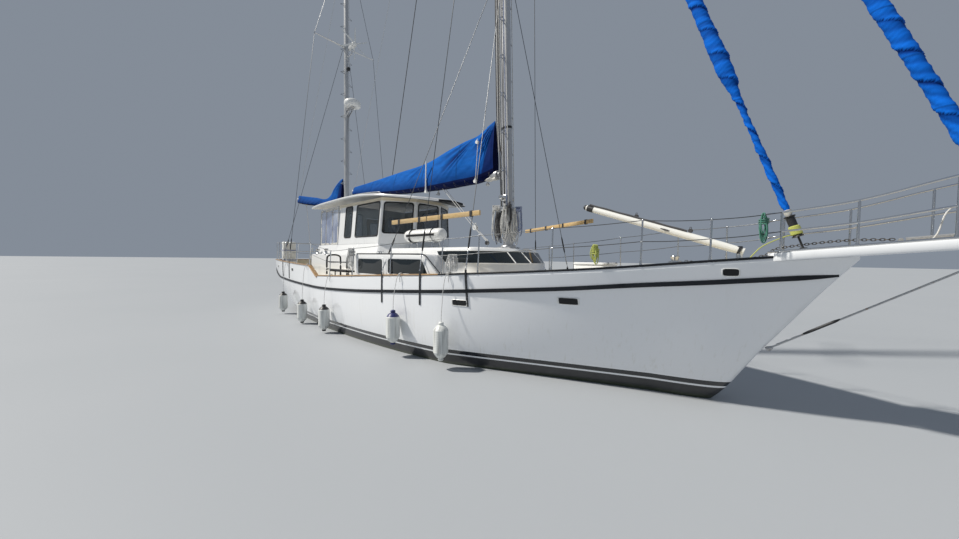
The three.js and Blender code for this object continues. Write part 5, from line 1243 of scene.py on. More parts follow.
# Sail covers laced round the booms: distance abaft the pin, foot, head, half-thickness
MAIN_COVER = [(0.14, 0, 1.265, 0.112), (0.43, -0.075, 1.165, 0.15), (0.72, -0.103, 1.05, 0.175),
              (1.2, -0.1, 1, 0.2), (1.76, -0.095, 0.92, 0.21), (2.7, -0.055, 0.745, 0.205),
              (4.1, 0.035, 0.7, 0.185), (6, 0.23, 0.65, 0.14), (7.08, 0.335, 0.635, 0.112)]
MIZZEN_COVER = [(0.13, -0.088, 0.99, 0.094), (0.28, -0.084, 0.945, 0.105), (0.65, -0.075, 0.707, 0.118),
                (0.9, -0.058, 0.43, 0.126), (1.2, -0.03, 0.3, 0.13), (1.96, 0.062, 0.404, 0.13),
                (2.86, 0.19, 0.537, 0.112), (3.26, 0.265, 0.6, 0.092)]
# Part of its half-thickness that a cover has from the foot, 0, to the ridge, 1
COVER_SHAPE = [(0, 0.4), (0.03, 0.74), (0.08, 0.9), (0.16, 0.98), (0.3, 1), (0.45, 0.88), (0.62, 0.68),
               (0.8, 0.46), (0.93, 0.27), (1, 0)]
# Folds fan out from a point on the ridge. Rows: angle below the level, looking aft, height, shade (0 to 1)
PEAK_FAN = [(0.27, 0, 0), (0.57, 0.2, 0.1), (0.65, 0.9, 0.1), (0.71, 0.1, 0.8), (0.79, 0, 0.95),
            (0.87, 0.2, 0.7), (0.93, 1, 0), (0.99, 0.1, 0.85), (1.03, 0.2, 0.8), (1.07, 0.9, 0),
            (1.12, 0.1, 0.9), (1.16, 0.2, 0.8), (1.2, 1, 0), (1.24, 0.1, 0.8), (1.29, 0, 0.9), (3.14, 0, 0.9)]
SIDE_FAN = [(0, 0, 0), (0.2, 0.2, 0.1), (0.26, 0.8, 0), (0.31, 0.2, 0.4), (0.36, 0.1, 0.45), (0.43, 0.9, 0),
            (0.47, 0.8, 0), (0.52, 0.2, 0.6), (0.56, 0, 1), (0.6, 0.05, 0.95), (0.65, 1, 0),
            (0.69, 0.3, 0.5), (0.72, 0.2, 0.55), (0.76, 0.7, 0), (0.82, 0.2, 0.35), (0.9, 0.4, 0),
            (1, 0.1, 0.1), (1.15, 0, 0)]
# Fans: start abaft the pin and above it, distance where they are deepest, spread of that, height
MAIN_FANS = [(0.1, 1.3, 0.45, 0.45, 0.036, PEAK_FAN), (0.7, 1.07, 0.75, 0.6, 0.034, SIDE_FAN),
             (2.6, 0.8, 0.7, 0.6, 0.016, SIDE_FAN), (4.5, 0.73, 0.8, 0.6, 0.01, SIDE_FAN)]
MIZZEN_FANS = [(0.1, 1.04, 0.35, 0.4, 0.022, PEAK_FAN), (1.2, 0.4, 0.6, 0.5, 0.012, SIDE_FAN)]


def cover_folds(table, fans, s, z):
    """Height of the folds and the shade between them, which is deep at the mast and along the foot."""
    height, shade = 0 * (s + z), 0 * (s + z)
    for start, top, far, wide, size, rows in fans:
        turn, out = np.arctan2(top - z, s - start), np.hypot(s - start, top - z)
        angles, heights, shades = np.array(rows).T
        fall = np.exp(-((out - far) / wide) ** 2)
        height = height + size * np.interp(turn, angles, heights) * fall
        shade = shade + np.interp(turn, angles, shades) * fall * min(1, size / 0.03)
    start, top = fans[0][:2]
    # Painted shade: a dark wedge against the mast and a darker band towards the foot.
    front = np.clip((np.arctan2(top - z, s - start) - 1.24) / 0.05, 0, 1) * 0.92
    foot = np.clip(1 - (z - flow(s, table, 1)) / 0.5, 0, 1) * 0.8
    return height, np.clip(np.maximum(np.maximum(shade, front), foot), 0, 0.94)


def cover_skin(boom, table, folds, rake, s, v, off=0):
    """A point of a sail cover. v runs from the foot, 0, to the ridge, 1; s is negative on the starboard half.

    The half-thickness follows the table and carries the folds, a slow drape and small crumples.
    """
    side, s = np.sign(s), np.abs(s)
    foot, head, half = (flow(s, table, i) for i in (1, 2, 3))
    z = foot + (head - foot) * v
    fold, _ = cover_folds(table, folds, s, z)
    drape = np.sin(s * 4.3 + 2.2 * np.sin(z * 3.1) + side * 1.3) * 0.01 * (0.35 + 0.65 * v)
    crumple = np.sin(s * 17 + 5 * np.sin(z * 5 + side) + 3 * np.sin(s * 2.3)) * 0.003
    ends = np.clip(np.minimum(s - table[0][0], table[-1][0] - s) / 0.06, 0, 1)
    fade = np.sin(np.clip(v, 0, 1) * math.pi) ** 0.5 * (0.3 + 0.7 * ends)
    y = half * flow(v, COVER_SHAPE) + (fold + drape + crumple) * fade - 0.02 * (1 - ends) * fade + off
    lean = np.where(s < 0.4, rake * z, 0)
    return on_boom(boom, s + lean, side * np.maximum(y, off), z + off * (v > 0.98))


def make_covers():
    """Blue acrylic covers with a navy band along the foot that is painted shade, with their lacing, the
    lazyjack poles and the mainsail's foot.
    """
    for boom, table, folds, rake, node in (("main_boom", MAIN_COVER, MAIN_FANS, 0.0391, "main_sail_cover"),
                                           ("mizzen_boom", MIZZEN_COVER, MIZZEN_FANS, 0.007,
                                            "mizzen_sail_cover")):
        form, ties = Form(), Form()
        near = table[0][0] + 1.2
        s = np.concatenate([np.arange(table[0][0], near, 0.0105), np.arange(near, table[-1][0], 0.024),
                            table[-1][:1]])[:, None]
        v = np.concatenate([np.linspace(0, 0.13, 8), np.linspace(0.14, 0.94, 64), np.linspace(0.95, 1, 4)])
        starboard, port = (cover_skin(boom, table, folds, rake, side * s, v) for side in BOTH)
        ring = np.concatenate([starboard, port[:, -2::-1]], axis=1)
        column = np.arange(ring.shape[1])
        # The lowest rows on each side take the navy paint, a painted shade where the cloth turns under.
        form.grid(ring, mark=np.where((column < 6) | (column > ring.shape[1] - 8), 1, 0)[None, :])
        cloth = piece(node + "_cloth", form, [BLUE, FOOT_SHADE_BLUE], body=boom, replaces=node, sharp=60)
        # Painted shade of the folds, by the mast and along the foot, set on the cloth's points.
        foot, head = flow(s, table, 1), flow(s, table, 2)
        z = foot + (head - foot) * v
        _, shade = cover_folds(table, folds, s, z)
        shade = np.concatenate([shade, shade[:, -2::-1]], axis=1)
        paint_shade(cloth, shade)
        hooks = np.arange(table[0][0] + 0.12, table[-1][0] - 0.05, 0.19)
        zigzag = []
        for i, at in enumerate(hooks):
            side = BOTH[i % 2]
            on = lambda s, v: cover_skin(boom, table, folds, rake, np.array([side * s]), np.array([v]),
                                         0.006)[0]
            zigzag += [on(at - 0.05, 0), on(at, 0.05), on(at + 0.05, 0)]
            ties.lathe([(0, -6), (10, -4), (12, 0), (10, 5), (0, 7)], on(at, 0.055), (0, 1, 0), 10, mark=1)
        ties.tube(curve(zigzag, len(zigzag) * 4), 0.003, 6)
        piece(node + "_lacing", ties, [ROPE_DARK, MOULDED], body=boom, sharp=60)
    poles = Form()
    for side in BOTH:
        at = lambda s, y, z: on_boom("main_boom", s, side * y, z)
        poles.rod(at(2.495, 0.235, -0.11), at(2.495, 0.225, 0.69), 0.02, sides=14)
        poles.rod(at(2.495, 0.235, -0.16), at(2.495, 0.12, -0.16), 0.008, mark=1)
        poles.rod(at(0.6, 0.215, -0.11), at(0.55, 0.2, 0.76), 0.009, mark=1)
        for s, z in ((2.495, -0.13), (0.55, 0.79), (0.6, -0.12)):
            block_and_cheeks(poles, at(s, 0.225, z), 0.04)
    piece("lazyjack_poles", poles, [MOULDED_WHITE, ROPE], body="main_boom", sharp=60)
    sail = Form()
    s = np.linspace(0.1, 0.52, 30)[:, None]
    angle = (np.arange(20) * TAU / 20)[None, :]
    r = (0.055 + 0.012 * np.sin(s * 24 + 2 * np.sin(angle))
         + 0.008 * np.sin(angle * 3 + s * 9)) * np.clip((0.56 - s) / 0.2, 0.2, 1)
    sail.grid(on_boom("main_boom", s, 1.5 * r * np.cos(angle), -0.075 + 0.8 * r * np.sin(angle)))
    piece("main_sail_foot", sail, CANVAS_WHITE, body="main_boom", sharp=60)


def make_running_rigging():
    """Vang, topping lifts and sheets. The vang and sheets, which join a boom to the boat, are set on no body.
    """
    for name, mast, at, up, top, back, radius, sides, paint in (
            ("main_topping_lift", MAIN, 7.12, MAIN_RISE * 7.12 + 0.09, 20.3, 0.16, 0.005, 6, ROPE),
            ("main_quarter_lift", MAIN, 4.54, 0.69, 20.2, 0.2, 0.011, 8, ROPE_DARK),
            ("mizzen_topping_lift", MIZZEN, 3.3, MIZZEN_RISE * 3.3 + 0.075, 13.9, 0.12, 0.005, 6, ROPE)):
        boom = name.split("_")[0] + "_boom"
        head = (mast_x(mast, top) - back, 0, top)
        piece(name, Form().rod(on_boom(boom, at, 0, up), head, radius, sides=sides), paint, body=boom,
              sharp=60)
    vang = Form()
    high, low = on_boom("main_boom", 2.05, 0, 0.02), np.array([2.353, 0, 2.42])
    fiddle = high + (low - high) * 0.76
    for y in (-0.055, 0.055):
        vang.rod(high + (0, y, -0.05), fiddle + (0, y, 0), 0.008, sides=6)
        vang.rod(fiddle + (0, y / 2, 0), low + (0, y / 2, 0.05), 0.008, sides=6)
    for spot, size, mark in ((high - (0, 0, 0.05), 0.07, 2), (fiddle, 0.06, 3), (low, 0.045, 2)):
        block_and_cheeks(vang, spot, size, mark)
    vang.rod(low, (2.353, 0, COACH_TOP), 0.01, mark=1)
    bend("main_vang", vang, [ROPE, STEEL, MOULDED, MOULDED_WHITE], "main_boom", low + (0, 0, 0.05), high)
    sheet = Form()
    for at in (5.76, 6.3):
        high = on_boom("main_boom", at, 0, MAIN_RISE * at - 0.12)
        low = np.array([high[0] + 0.12, 0, roof_under(max(high[0], -4.7), 0) + ROOF_THICK + 0.05])
        tackle(sheet, high, low, (0, 0.014, 0), 0.036)
    bend("main_sheet", sheet, [ROPE, STEEL], "main_boom", low, high)
    track, x = Form(), low[0]
    y = np.linspace(-0.9, 0.9, 24)
    track.sweep(xyz(x, y, roof_under(x, y) + ROOF_THICK + 0.012), bar(32, 24, 4))
    track.block(*corners((x, 0, low[2] - 0.036), (0.05, 0.07, 0.014)), 0.006)
    piece("mainsheet_track", track, STEEL, sharp=45)
    sheet, post = Form(), Form()
    high, low = on_boom("mizzen_boom", 2.7, 0, MIZZEN_RISE * 2.7 - 0.19), np.array([-7.75, -0.3, 2])
    tackle(sheet, high, low, (0.012, 0, 0), 0.034)
    bend("mizzen_sheet", sheet, [ROPE, STEEL], "mizzen_boom", low, high)
    post.rod((-7.75, -0.3, AFT_DECK), (-7.75, -0.3, 1.96), 0.022)
    post.lathe([(0, 0), (70, 0), (70, 8), (30, 14), (0, 16)], (-7.75, -0.3, AFT_DECK), sides=20)
    piece("mizzen_sheet_post", post, STEEL)


def bend(name, form, paints, body, start, end):
    """A piece set on no body, with its transform baked into its points. `start` is not used."""
    thing = piece(name, form, paints, body=None, sharp=55)
    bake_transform(thing)


def make_staysail_boom():
    """The white boom that the furled staysail is set on, with its lines, on a pedestal."""
    form, fittings, lines = Form(), Form(), Form()
    x, z = CLUB_PIN
    a, b = np.array([x + 0.05, 0, z - 0.006]), np.array([x - 2.33, 0, z + 0.83])
    t = np.linspace(0, 1, 10)[:, None]
    thin = np.interp(t[:, 0], [0, 0.06, 0.94, 1], [0.86, 1, 1, 0.9])
    form.sweep(a + (b - a) * t, disc(0.057, 24), scale=thin)
    piece("staysail_boom_tube", form, CREAM_PAINT, body="staysail_boom", replaces="staysail_boom")
    ahead = unit(b - a)
    for at, half in ((0.02, 0.018), (0.965, 0.06)):
        c = a + (b - a) * at
        fittings.sweep(np.array([c - ahead * half, c + ahead * half]), disc(0.06, 24))
    fittings.lathe([(0, 0), (45, 0), (50, 20), (35, 50), (15, 60), (0, 60)], b, ahead, 20)
    fittings.rod((x, 0, z - 0.065), (x, 0, z + 0.06), 0.026, sides=18)
    fittings.lathe([(0, 0), (34, 0), (34, 12), (0, 14)], (x, 0, z + 0.06), sides=16)
    piece("staysail_boom_ends", fittings, MOULDED, body="staysail_boom", sharp=45)
    u = np.linspace(0.3, 0.97, 24)[:, None]
    lines.tube(a + (b - a) * u + (0, -0.018, 0.072) + (0, 0, -0.006) * np.sin(u * 6 * math.pi) ** 2, 0.018, 8)
    for at in (0.28, 0.62):
        block_and_cheeks(lines, a + (b - a) * at + (0, 0, 0.092), 0.03)
    horn_cleat(lines, a + (b - a) * 0.42 - (0, 0.055, 0), ahead, (0, -1, 0), 0.14)
    piece("staysail_boom_lines", lines, ROPE_DARK, body="staysail_boom", sharp=50)
    stand = Form().lathe([(0, 0), (110, 0), (110, 14), (55, 30), (40, 60), (38, 200), (44, 215), (44, 229),
                          (0, 229)], (x, 0, z - 0.189), sides=28)
    piece("staysail_pedestal", stand, STEEL, replaces="staysail_boom_pedestal")


def plank_top(x):
    """Height of the bowsprit's plank."""
    return 2.1643 + (x - 7.54) * 0.1


def deck_level(x):
    """Where a loose line lies: on the plank, or on the deck abaft it."""
    return 0.008 + (plank_top(x) if x > 7.54 else rail_height(x))


# Furled headsails: foot, head, rows of (distance, radius), drum start, height, radius
STAYS = {
    "genoa": ((9.44, plank_top(9.44)), (mast_x(MAIN, 20.65) + 0.106, 20.65),
              [(0.612, 0.03), (0.7, 0.046), (0.8, 0.053), (1.6, 0.066), (15.5, 0.052), (18.6, 0.034),
               (19.4, 0.012)],
              (0.42, 0.19, 0.085)),
    "staysail": ((7.88, plank_top(7.88)), (mast_x(MAIN, 17.4) + 0.139, 17.4),
                 [(0.492, 0.024), (0.6, 0.032), (1.2, 0.041), (2.4, 0.05), (2.6, 0.08), (3.7, 0.088),
                  (11.5, 0.072), (15.1, 0.038), (16, 0.012)],
                 (0.2, 0.29, 0.06)),
}


def stay_line(name):
    """Foot, direction and length of a headsail's stay."""
    (x0, z0), (x1, z1), _, _ = STAYS[name]
    a, b = np.array([x0, 0, z0]), np.array([x1, 0, z1])
    return a, unit(b - a), float(np.linalg.norm(b - a))


def make_furled_sails():
    """Rolled sails: a spiral edge climbs the roll, with close cross creases where the cloth is bunched."""
    for name, (_, _, rows, (drum_at, h, r)) in STAYS.items():
        foot, ahead, length = stay_line(name)
        basis = np.array([ahead, (ahead[2], 0, -ahead[0]), (0, 1, 0)])
        around = lambda s, radius, angle: foot + xyz(s, radius * np.cos(angle),
                                                     radius * np.sin(angle)) @ basis
        last = min(rows[-1][0], length - 0.01)
        s = np.concatenate([np.arange(rows[0][0], 6, 0.014), np.arange(6, last, 0.035), [last]])[:, None]
        angle = (np.arange(22) * TAU / 22)[None, :]
        radius = flow(s, rows)
        climb = (angle / TAU + s / 0.42) % 1
        edge = 0.012 * np.exp(-climb * 4) - 0.006 * np.exp(-(1 - climb) * 18)
        crease = np.sin(s * TAU / 0.17 + 2 * angle + 1.6 * np.sin(angle + s * 1.7)
                        + 2.6 * np.sin(s * 3.1)) * 0.0036
        fine = np.sin(s * TAU / 0.063 + 3 * np.sin(angle * 2 - s * 2.3) + 3 * np.sin(s * 5)) * 0.0016
        lump = np.sin(angle * 2 + s * 2.9) * 0.05 * radius + np.sin(angle + s * 1.3) * 0.04 * radius
        start = np.clip((s - rows[0][0]) / 0.12, 0.15, 1)
        form = Form().grid(around(s, radius + (edge + crease + fine + lump) * start, angle))
        roll = piece(f"{name}_rolled", form, BLUE_SAIL, replaces=f"furled_{name}", sharp=70)
        # Painted shade along the spiral edge of the cloth and in the crease valleys.
        shade = np.clip(np.exp(-(1 - climb) * 7) * 0.9 + np.clip(-crease / 0.0036, 0, 1) * 0.35, 0, 0.9)
        paint_shade(roll, shade)
        drum, line, base, colour = Form(), Form(), foot + ahead * drum_at, ROPE
        a, b = r * 1000, h * 1000
        drum.lathe([(0, 0), (a, 0), (a + 4, 6), (a, 14), (a * 0.8, 18), (a * 0.78, b * 0.5),
                    (a * 0.8, b - 20), (a, b - 14), (a + 3, b - 6), (a, b), (22, b), (20, b + 50),
                    (0, b + 50)], base, ahead, 28)
        drum.rod(foot + ahead * 0.02, base + ahead * 0.02, 0.012)
        drum.rod(base + ahead * h, foot + ahead * length * 0.999, 0.01, sides=8)
        drum.block((foot[0] - 0.05, -0.022, foot[2] - 0.002), (foot[0] + 0.03, 0.022, foot[2] + 0.05), 0.008)
        if name == "staysail":
            colour = ROPE_YELLOW
            band = [(a * 0.86, 0), (a * 1.02, 10), (a * 1.02, 110), (a * 0.86, 120), (a * 0.86, 0)]
            piece("staysail_drum_band", Form().lathe(band, base + ahead * 0.03, ahead, 24), colour)
        turns = np.linspace(0, 9 * TAU, 9 * 14)
        line.tube(around(drum_at + np.interp(turns, [0, 9 * TAU], [0.03, h * 0.45]), r * 0.8 + 0.005, turns),
                  0.006, 6)
        start = base + ahead * 0.03
        x = foot[0]
        away = [start, start + (-0.12, -0.1, -0.03), start + (-0.34, -0.2, -0.16),
                (x - 0.62, -0.26, deck_level(x - 0.62)), (x - 1, -0.42, deck_level(x - 1))]
        line.tube(curve(away, 26), 0.007, 8)
        cloth = Form().lathe([(12, -20), (30, 0), (40, 50), (46, 100), (12, 110)],
                             foot + ahead * (rows[0][0] - 0.02), ahead, 18)
        piece(f"{name}_tack_cloth", cloth, CANVAS_WHITE)
        piece(f"{name}_furling_drum", drum, MOULDED, replaces=f"{name}_drum", sharp=40)
        piece(f"{name}_furling_line", line, colour, sharp=60)


def make_lashed_planks():
    """Two timber planks along the main shrouds, with rope lashings where wire and wood cross."""
    for label, (a, b) in {"starboard": ((1.21, -1.883, 2.815), (3.6, -1.58, 2.875)),
                          "port": ((2.05, 1.999, 2.84), (4.4, 1.288, 2.93))}.items():
        form, cord = Form(), Form()
        a, b = np.array(a), np.array(b)
        path = a + (b - a) * np.linspace(0, 1, 12)[:, None]
        form.sweep(path, bar(44, 90, 5), up=(0, 0, 1))
        piece(f"{label}_plank", form, PINE, replaces=f"lashed_plank_{label}", sharp=40)
        for t in (0.1, 0.36, 0.62, 0.92):
            c = a + (b - a) * t
            for k in range(5):
                loop = bar(60, 106, 16, 4)
                shift = unit(b - a) * (k - 2) * 0.011
                across = unit(np.cross((0, 0, 1), b - a))
                ring = c + shift + loop[:, :1] * across + loop[:, 1:] * np.array([0, 0, 1])
                cord.tube(ring, 0.005, 6, up=unit(b - a), closed=True)
        piece(f"{label}_plank_lashings", cord, ROPE_DARK, sharp=60)


# Radar and wind generator on the mizzen
def make_radar():
    """Radar dome on the platform of a bracket, with its cable down the mast."""
    z = 7.76
    front = mast_x(MIZZEN, z - 0.38) + MIZZEN[2][0]
    dome, arm = Form(), Form()
    dome.lathe([(0, 0), (200, 0), (262, 12), (290, 45), (300, 90), (300, 105), (294, 110),
                (300, 115), (296, 165), (270, 215), (205, 252), (100, 270), (0, 275)],
               (front + 0.4, 0, z - 0.13), sides=44)
    piece("radar_dome", dome, MOULDED_WHITE, replaces="radar_scanner", sharp=50)
    for side in BOTH:
        arm.sweep(np.array([(front, side * 0.055, z - 0.36), (front + 0.4, side * 0.055, z - 0.15)]),
                  bar(12, 44, 3, 2))
    arm.block((front, -0.07, z - 0.155), (front + 0.52, 0.07, z - 0.131), 0.006)
    arm.block((front - 0.004, -0.07, z - 0.4), (front + 0.012, 0.07, z - 0.14), 0.004)
    cable = curve([(front + 0.3, 0.03, z - 0.15), (front + 0.2, 0.04, z - 0.24),
                   (front + 0.06, 0.03, z - 0.36), (front + 0.008, 0.02, z - 0.6),
                   (front - 0.01, 0.02, z - 1.4)], 30)
    arm.tube(cable, 0.006, 8, mark=1)
    piece("radar_bracket", arm, [SPAR, MOULDED], sharp=40)


WIND_HUB, WIND_RADIUS = (-4.37, 0, 9.88), 0.58


def blades(form, centre, count, reach, chord, twist, u, upper, lower):
    """Twisted blades round a fore-and-aft axle. Their section has two faces along u, in chords."""
    along = np.concatenate([u, u[-2:0:-1]]) * chord
    thick = np.concatenate([upper, lower[-2:0:-1]]) * chord
    fore = along * np.sin(twist) + thick * np.cos(twist)
    athwart = along * np.cos(twist) - thick * np.sin(twist)
    x, _, z = centre
    for a in np.arange(count) * TAU / count:
        c, s = math.cos(a), math.sin(a)
        form.grid(xyz(x + fore, athwart * c - reach * s, z + athwart * s + reach * c))


def make_wind_generator():
    """Nacelle on its bracket with cooling ribs, and a rotor of six twisted blades."""
    x, _, z = WIND_HUB
    body, arm = Form(), Form()
    body.lathe([(0, -420), (45, -410), (68, -360), (85, -240), (95, -120), (92, -70), (0, -65)], WIND_HUB,
               (1, 0, 0), 32)
    for angle in np.arange(10) * TAU / 10:
        out = np.array([0, math.cos(angle), math.sin(angle)])
        rib = np.array([(x - 0.3, 0, z) + out * 0.084, (x - 0.12, 0, z) + out * 0.096])
        body.sweep(rib, bar(8, 12, 2, 2), up=out)
    front = mast_x(MIZZEN, z - 0.29) + MIZZEN[2][0]
    arm.rod((front - 0.01, 0, z - 0.26), (x - 0.23, 0, z - 0.26), 0.024, sides=16)
    arm.rod((x - 0.23, 0, z - 0.284), (x - 0.23, 0, z - 0.06), 0.024, sides=16)
    arm.block((front - 0.012, -0.06, z - 0.34), (front + 0.006, 0.06, z - 0.18), 0.004)
    piece("wind_nacelle", body, MOULDED_WHITE, replaces="wind_generator", sharp=45)
    piece("wind_bracket", arm, STEEL, sharp=45)
    rotor = Form()
    rotor.lathe([(0, -50), (82, -50), (86, -30), (84, 5), (70, 40), (45, 70), (0, 88)], WIND_HUB, (1, 0, 0),
                32)
    t = np.linspace(0, 1, 14)[:, None]
    chord = np.interp(t, [0, 0.12, 0.25, 1], [0.03, 0.055, 0.062, 0.032])
    u = np.linspace(0, 1, 9)
    back = 0.1 * np.sqrt(u) * (1 - u) * 1.4
    blades(rotor, WIND_HUB, 6, 0.06 + (WIND_RADIUS - 0.06) * t, chord, np.radians(34 - 28 * t), u - 0.3,
           back, -back * 0.25)
    piece("wind_blades", rotor, MOULDED_WHITE, body="wind_rotor", replaces="wind_rotor", sharp=40)


# Guard rails, pulpit and pushpit. Stanchions: x, how far the head leans inboard
STANCHIONS = [(-7.3, 0), (-5.8, 0), (-4.3, 0.06), (-2.96, 0.03), (-1.4, 0.03), (-0.12, 0.03), (1.45, 0.03),
              (2.92, 0.03), (3.72, 0.03), (5, 0.03), (6.2, 0.03), (6.97, 0.03)]
# Pulpit's posts: x, half-breadth, height. The plank under them: x, half-breadth
PULPIT = [(7.66, 0.44, 0.49), (8.3, 0.44, 0.51), (8.95, 0.44, 0.62), (9.48, 0.38, 0.68)]
PLANK = [(7.54, 0.38), (7.7, 0.5), (9.3, 0.5), (9.52, 0.42), (9.6, 0.25)]
FLANGE = [(0, 0), (34, 0), (34, 6), (18, 12), (17, 40), (0, 40)]
WIRE_LEVELS = (0.99, 0.52)        # parts of a stanchion's height


def on_post(i, level, side):
    """A point up a stanchion, foot 0 to head 1, or up the pulpit's first post after the last stanchion."""
    if i == len(STANCHIONS):
        x, half, high = PULPIT[0]
        return np.array([x, side * half, plank_top(x) + high * (1 if level > 0.9 else 0.52)])
    x, lean = STANCHIONS[i]
    inboard, lift = (0.03, 0.031) if x < STEP_X[0] else (0.028, 0.07)
    foot = np.array([x, side * (deck_half(x) - inboard), rail_height(x) + lift])
    return foot + np.array([0, -side * lean, 0.66 - 0.12 * min(max(x - 6, 0), 1)]) * level


def make_guard_rails():
    """Stanchions in bolted sockets, sheathed wires that end in turnbuckles, the pulpit and the pushpit."""
    for label, side in SIDES:
        posts, wires = Form(), Form()
        for i in range(len(STANCHIONS)):
            a, b = (on_post(i, level, side) for level in (0, 1))
            posts.rod(a, b, 0.0125, sides=14)
            posts.lathe([(0, -34), (36, -34), (36, -28), (18, -22), (17, 52), (0, 52)], a, b - a, 16)
            posts.lathe([(0, 0), (15.5, 0), (15.5, 10), (9, 18), (0, 19)], b - (0, 0, 0.006), sides=12)
            for level in WIRE_LEVELS:
                spot = on_post(i, level, side) + (0, side * 0.01, 0)
                posts.lathe([(0, -16), (9, -14), (9, 14), (0, 16)], spot, (1, 0, 0), 10)
        for level in WIRE_LEVELS:
            for i in range(len(STANCHIONS)):
                start, end = on_post(i, level, side), on_post(i + 1, level, side)
                if level < 0.9 and 0 < (start[0] + end[0]) / 2 < 2.9:
                    continue
                t = np.linspace(0, 1, 10)[:, None]
                sag = (0, 0, -0.012) * np.sin(math.pi * t)
                wires.tube(start + (end - start) * t + sag + (0, side * 0.01, 0), 0.0055, 8)
            ahead = unit(end - start)
            posts.lathe([(0, 0), (8, 4), (8, 20), (5, 30), (9, 35), (9, 120), (5, 125), (5, 160), (0, 170)],
                        end - ahead * 0.19, ahead, 10)
        piece(f"stanchions_{label}", posts, STEEL, replaces=f"guard_rail_{label}", sharp=40)
        piece(f"guard_wires_{label}", wires, RIGGING, sharp=60)
    pulpit = Form()
    for k in (1, 0.52):
        half = [(x, y, plank_top(x) + top * k) for x, y, top in (*PULPIT, (9.6, 0.22, 0.68))]
        pulpit.tube(curve(half + [(x, -y, z) for x, y, z in half[::-1]], 90), 0.0125, 12)
    for x, half, top in PULPIT:
        for side in BOTH:
            foot = np.array([x, side * half, plank_top(x)])
            pulpit.rod(foot, foot + (0, 0, top), 0.0125, sides=12)
            pulpit.lathe(FLANGE, foot, sides=18)
    piece("pulpit_rails", pulpit, STEEL, replaces="pulpit", sharp=45)
    pushpit = Form()
    spot = lambda x, k, side, z: np.array([x, side * (deck_half(max(x, -8.15)) - 0.04) * k,
                                           rail_height(max(x, -8.45)) + 0.031 + z])
    for z in (0.69, 0.35):
        path = [spot(x, k, 1, z) for x, k in ((-7.42, 1), (-7.8, 1), (-8.15, 1), (-8.38, 0.83), (-8.4, 0.4))]
        path += [p * (1, -1, 1) for p in path[::-1]]
        pushpit.tube(curve(path, 90), 0.0125, 12)
    for side in BOTH:
        for x, k in ((-7.42, 1), (-8.15, 1), (-8.38, 0.83)):
            foot = spot(x, k, side, 0)
            pushpit.rod(foot, spot(x, k, side, 0.7), 0.0125, sides=12)
            pushpit.lathe(FLANGE, foot, sides=18)
    piece("pushpit_rails", pushpit, STEEL, replaces="pushpit", sharp=45)


def make_bulwark_cap():
    """Varnished cap over the stern bulwark, in lengths scarfed together, its ends run down the steps."""
    form = Form()
    x = np.concatenate([np.linspace(STEP_X[1] + 0.03, STEP_X[0], 8), np.linspace(-3.1, -8.15, 50),
                        -8.15 - 0.3 * np.sin(np.linspace(0.1, 1.5, 14))])
    half = np.array([deck_half(v) for v in x]) - BULWARK_WALL / 2
    starboard = xyz(x, -half, rail_height(x) + 0.001)
    end = np.linspace(-1, 1, 12)[1:-1, None] * (0, 1, 0) * half[-1] + (x[-1], 0, float(starboard[-1, 2]))
    path = np.concatenate([starboard, end, starboard[::-1] * (1, -1, 1)])
    form.sweep(path, rounded(-0.062, 0.062, 0, 0.031, 0.012, 4))
    piece("bulwark_cap_timber", form, TEAK, replaces="bulwark_cap", sharp=40)


# Bow
def make_bowsprit():
    """Plank on its steel frame, with non-skid top, two rollers, a stowed anchor and the furler eyes."""
    form, frame_work, anchor = Form(), Form(), Form()
    x = np.concatenate([np.linspace(7.54, 9.3, 26), np.linspace(9.34, 9.6, 14)])
    half = np.interp(x, *np.array(PLANK).T)
    top = plank_top(x)
    section = [(0, -0.108), (0.97, -0.108), (1, -0.085), (1, -0.02), (0.985, -0.004), (0.95, 0), (0.6, 0),
               (0, 0)]
    half_ring = np.stack([xyz(x, -half * u, top + v) for u, v in section], axis=1)
    marks = np.zeros(14, int)
    marks[5:9] = 1
    form.grid(np.concatenate([half_ring, half_ring[:, -2:0:-1] * (1, -1, 1)], axis=1), mark=marks[None, :])
    piece("bowsprit_deck", form, [GELCOAT, DECK], replaces="bowsprit", sharp=40)
    for side in BOTH:
        frame_work.sweep(xyz(x[:34], side * (half[:34] - 0.03), top[:34] + 0.012), bar(24, 24, 4))
        for at in (7.9, 8.7):
            frame_work.lathe([(0, 0), (28, 0), (32, 12), (12, 30), (0, 30)],
                             (at, side * 0.36, plank_top(at)), sides=16)
    for y in (-0.14, 0.14):
        for side in BOTH:
            frame_work.block(*corners((9.52, y + side * 0.042, plank_top(9.4) + 0.01), (0.16, 0.004, 0.04)),
                             0.003)
        frame_work.lathe([(0, -36), (30, -36), (22, 0), (30, 36), (0, 36)],
                         (9.62, y, plank_top(9.6) + 0.012), (0, 1, 0), 20)
    piece("bowsprit_fittings", frame_work, STEEL, sharp=45)
    y, z = 0.14, plank_top(9.6) + 0.055
    shank = [(8.72, y, plank_top(8.72) + 0.05), (9.25, y, plank_top(9.25) + 0.05), (9.62, y, z),
             (9.7, y, z - 0.07), (9.7, y, z - 0.2)]
    anchor.sweep(np.array(shank), bar(24, 52, 6))
    tip, heel = np.array([9.36, y, z - 0.4]), np.array([9.74, y, z - 0.2])
    for side in BOTH:
        wing = np.array([heel, heel + (-0.1, side * 0.15, -0.1), tip + (0, side * 0.01, 0), tip])
        anchor.grid(np.stack([wing, wing + (0, 0, -0.014)]))
    anchor.lathe([(0, 0), (20, 0), (20, 50), (0, 50)], (8.68, y - 0.025, plank_top(8.7) + 0.05), (0, 1, 0),
                 14)
    piece("bow_anchor", anchor, ZINC, sharp=35)


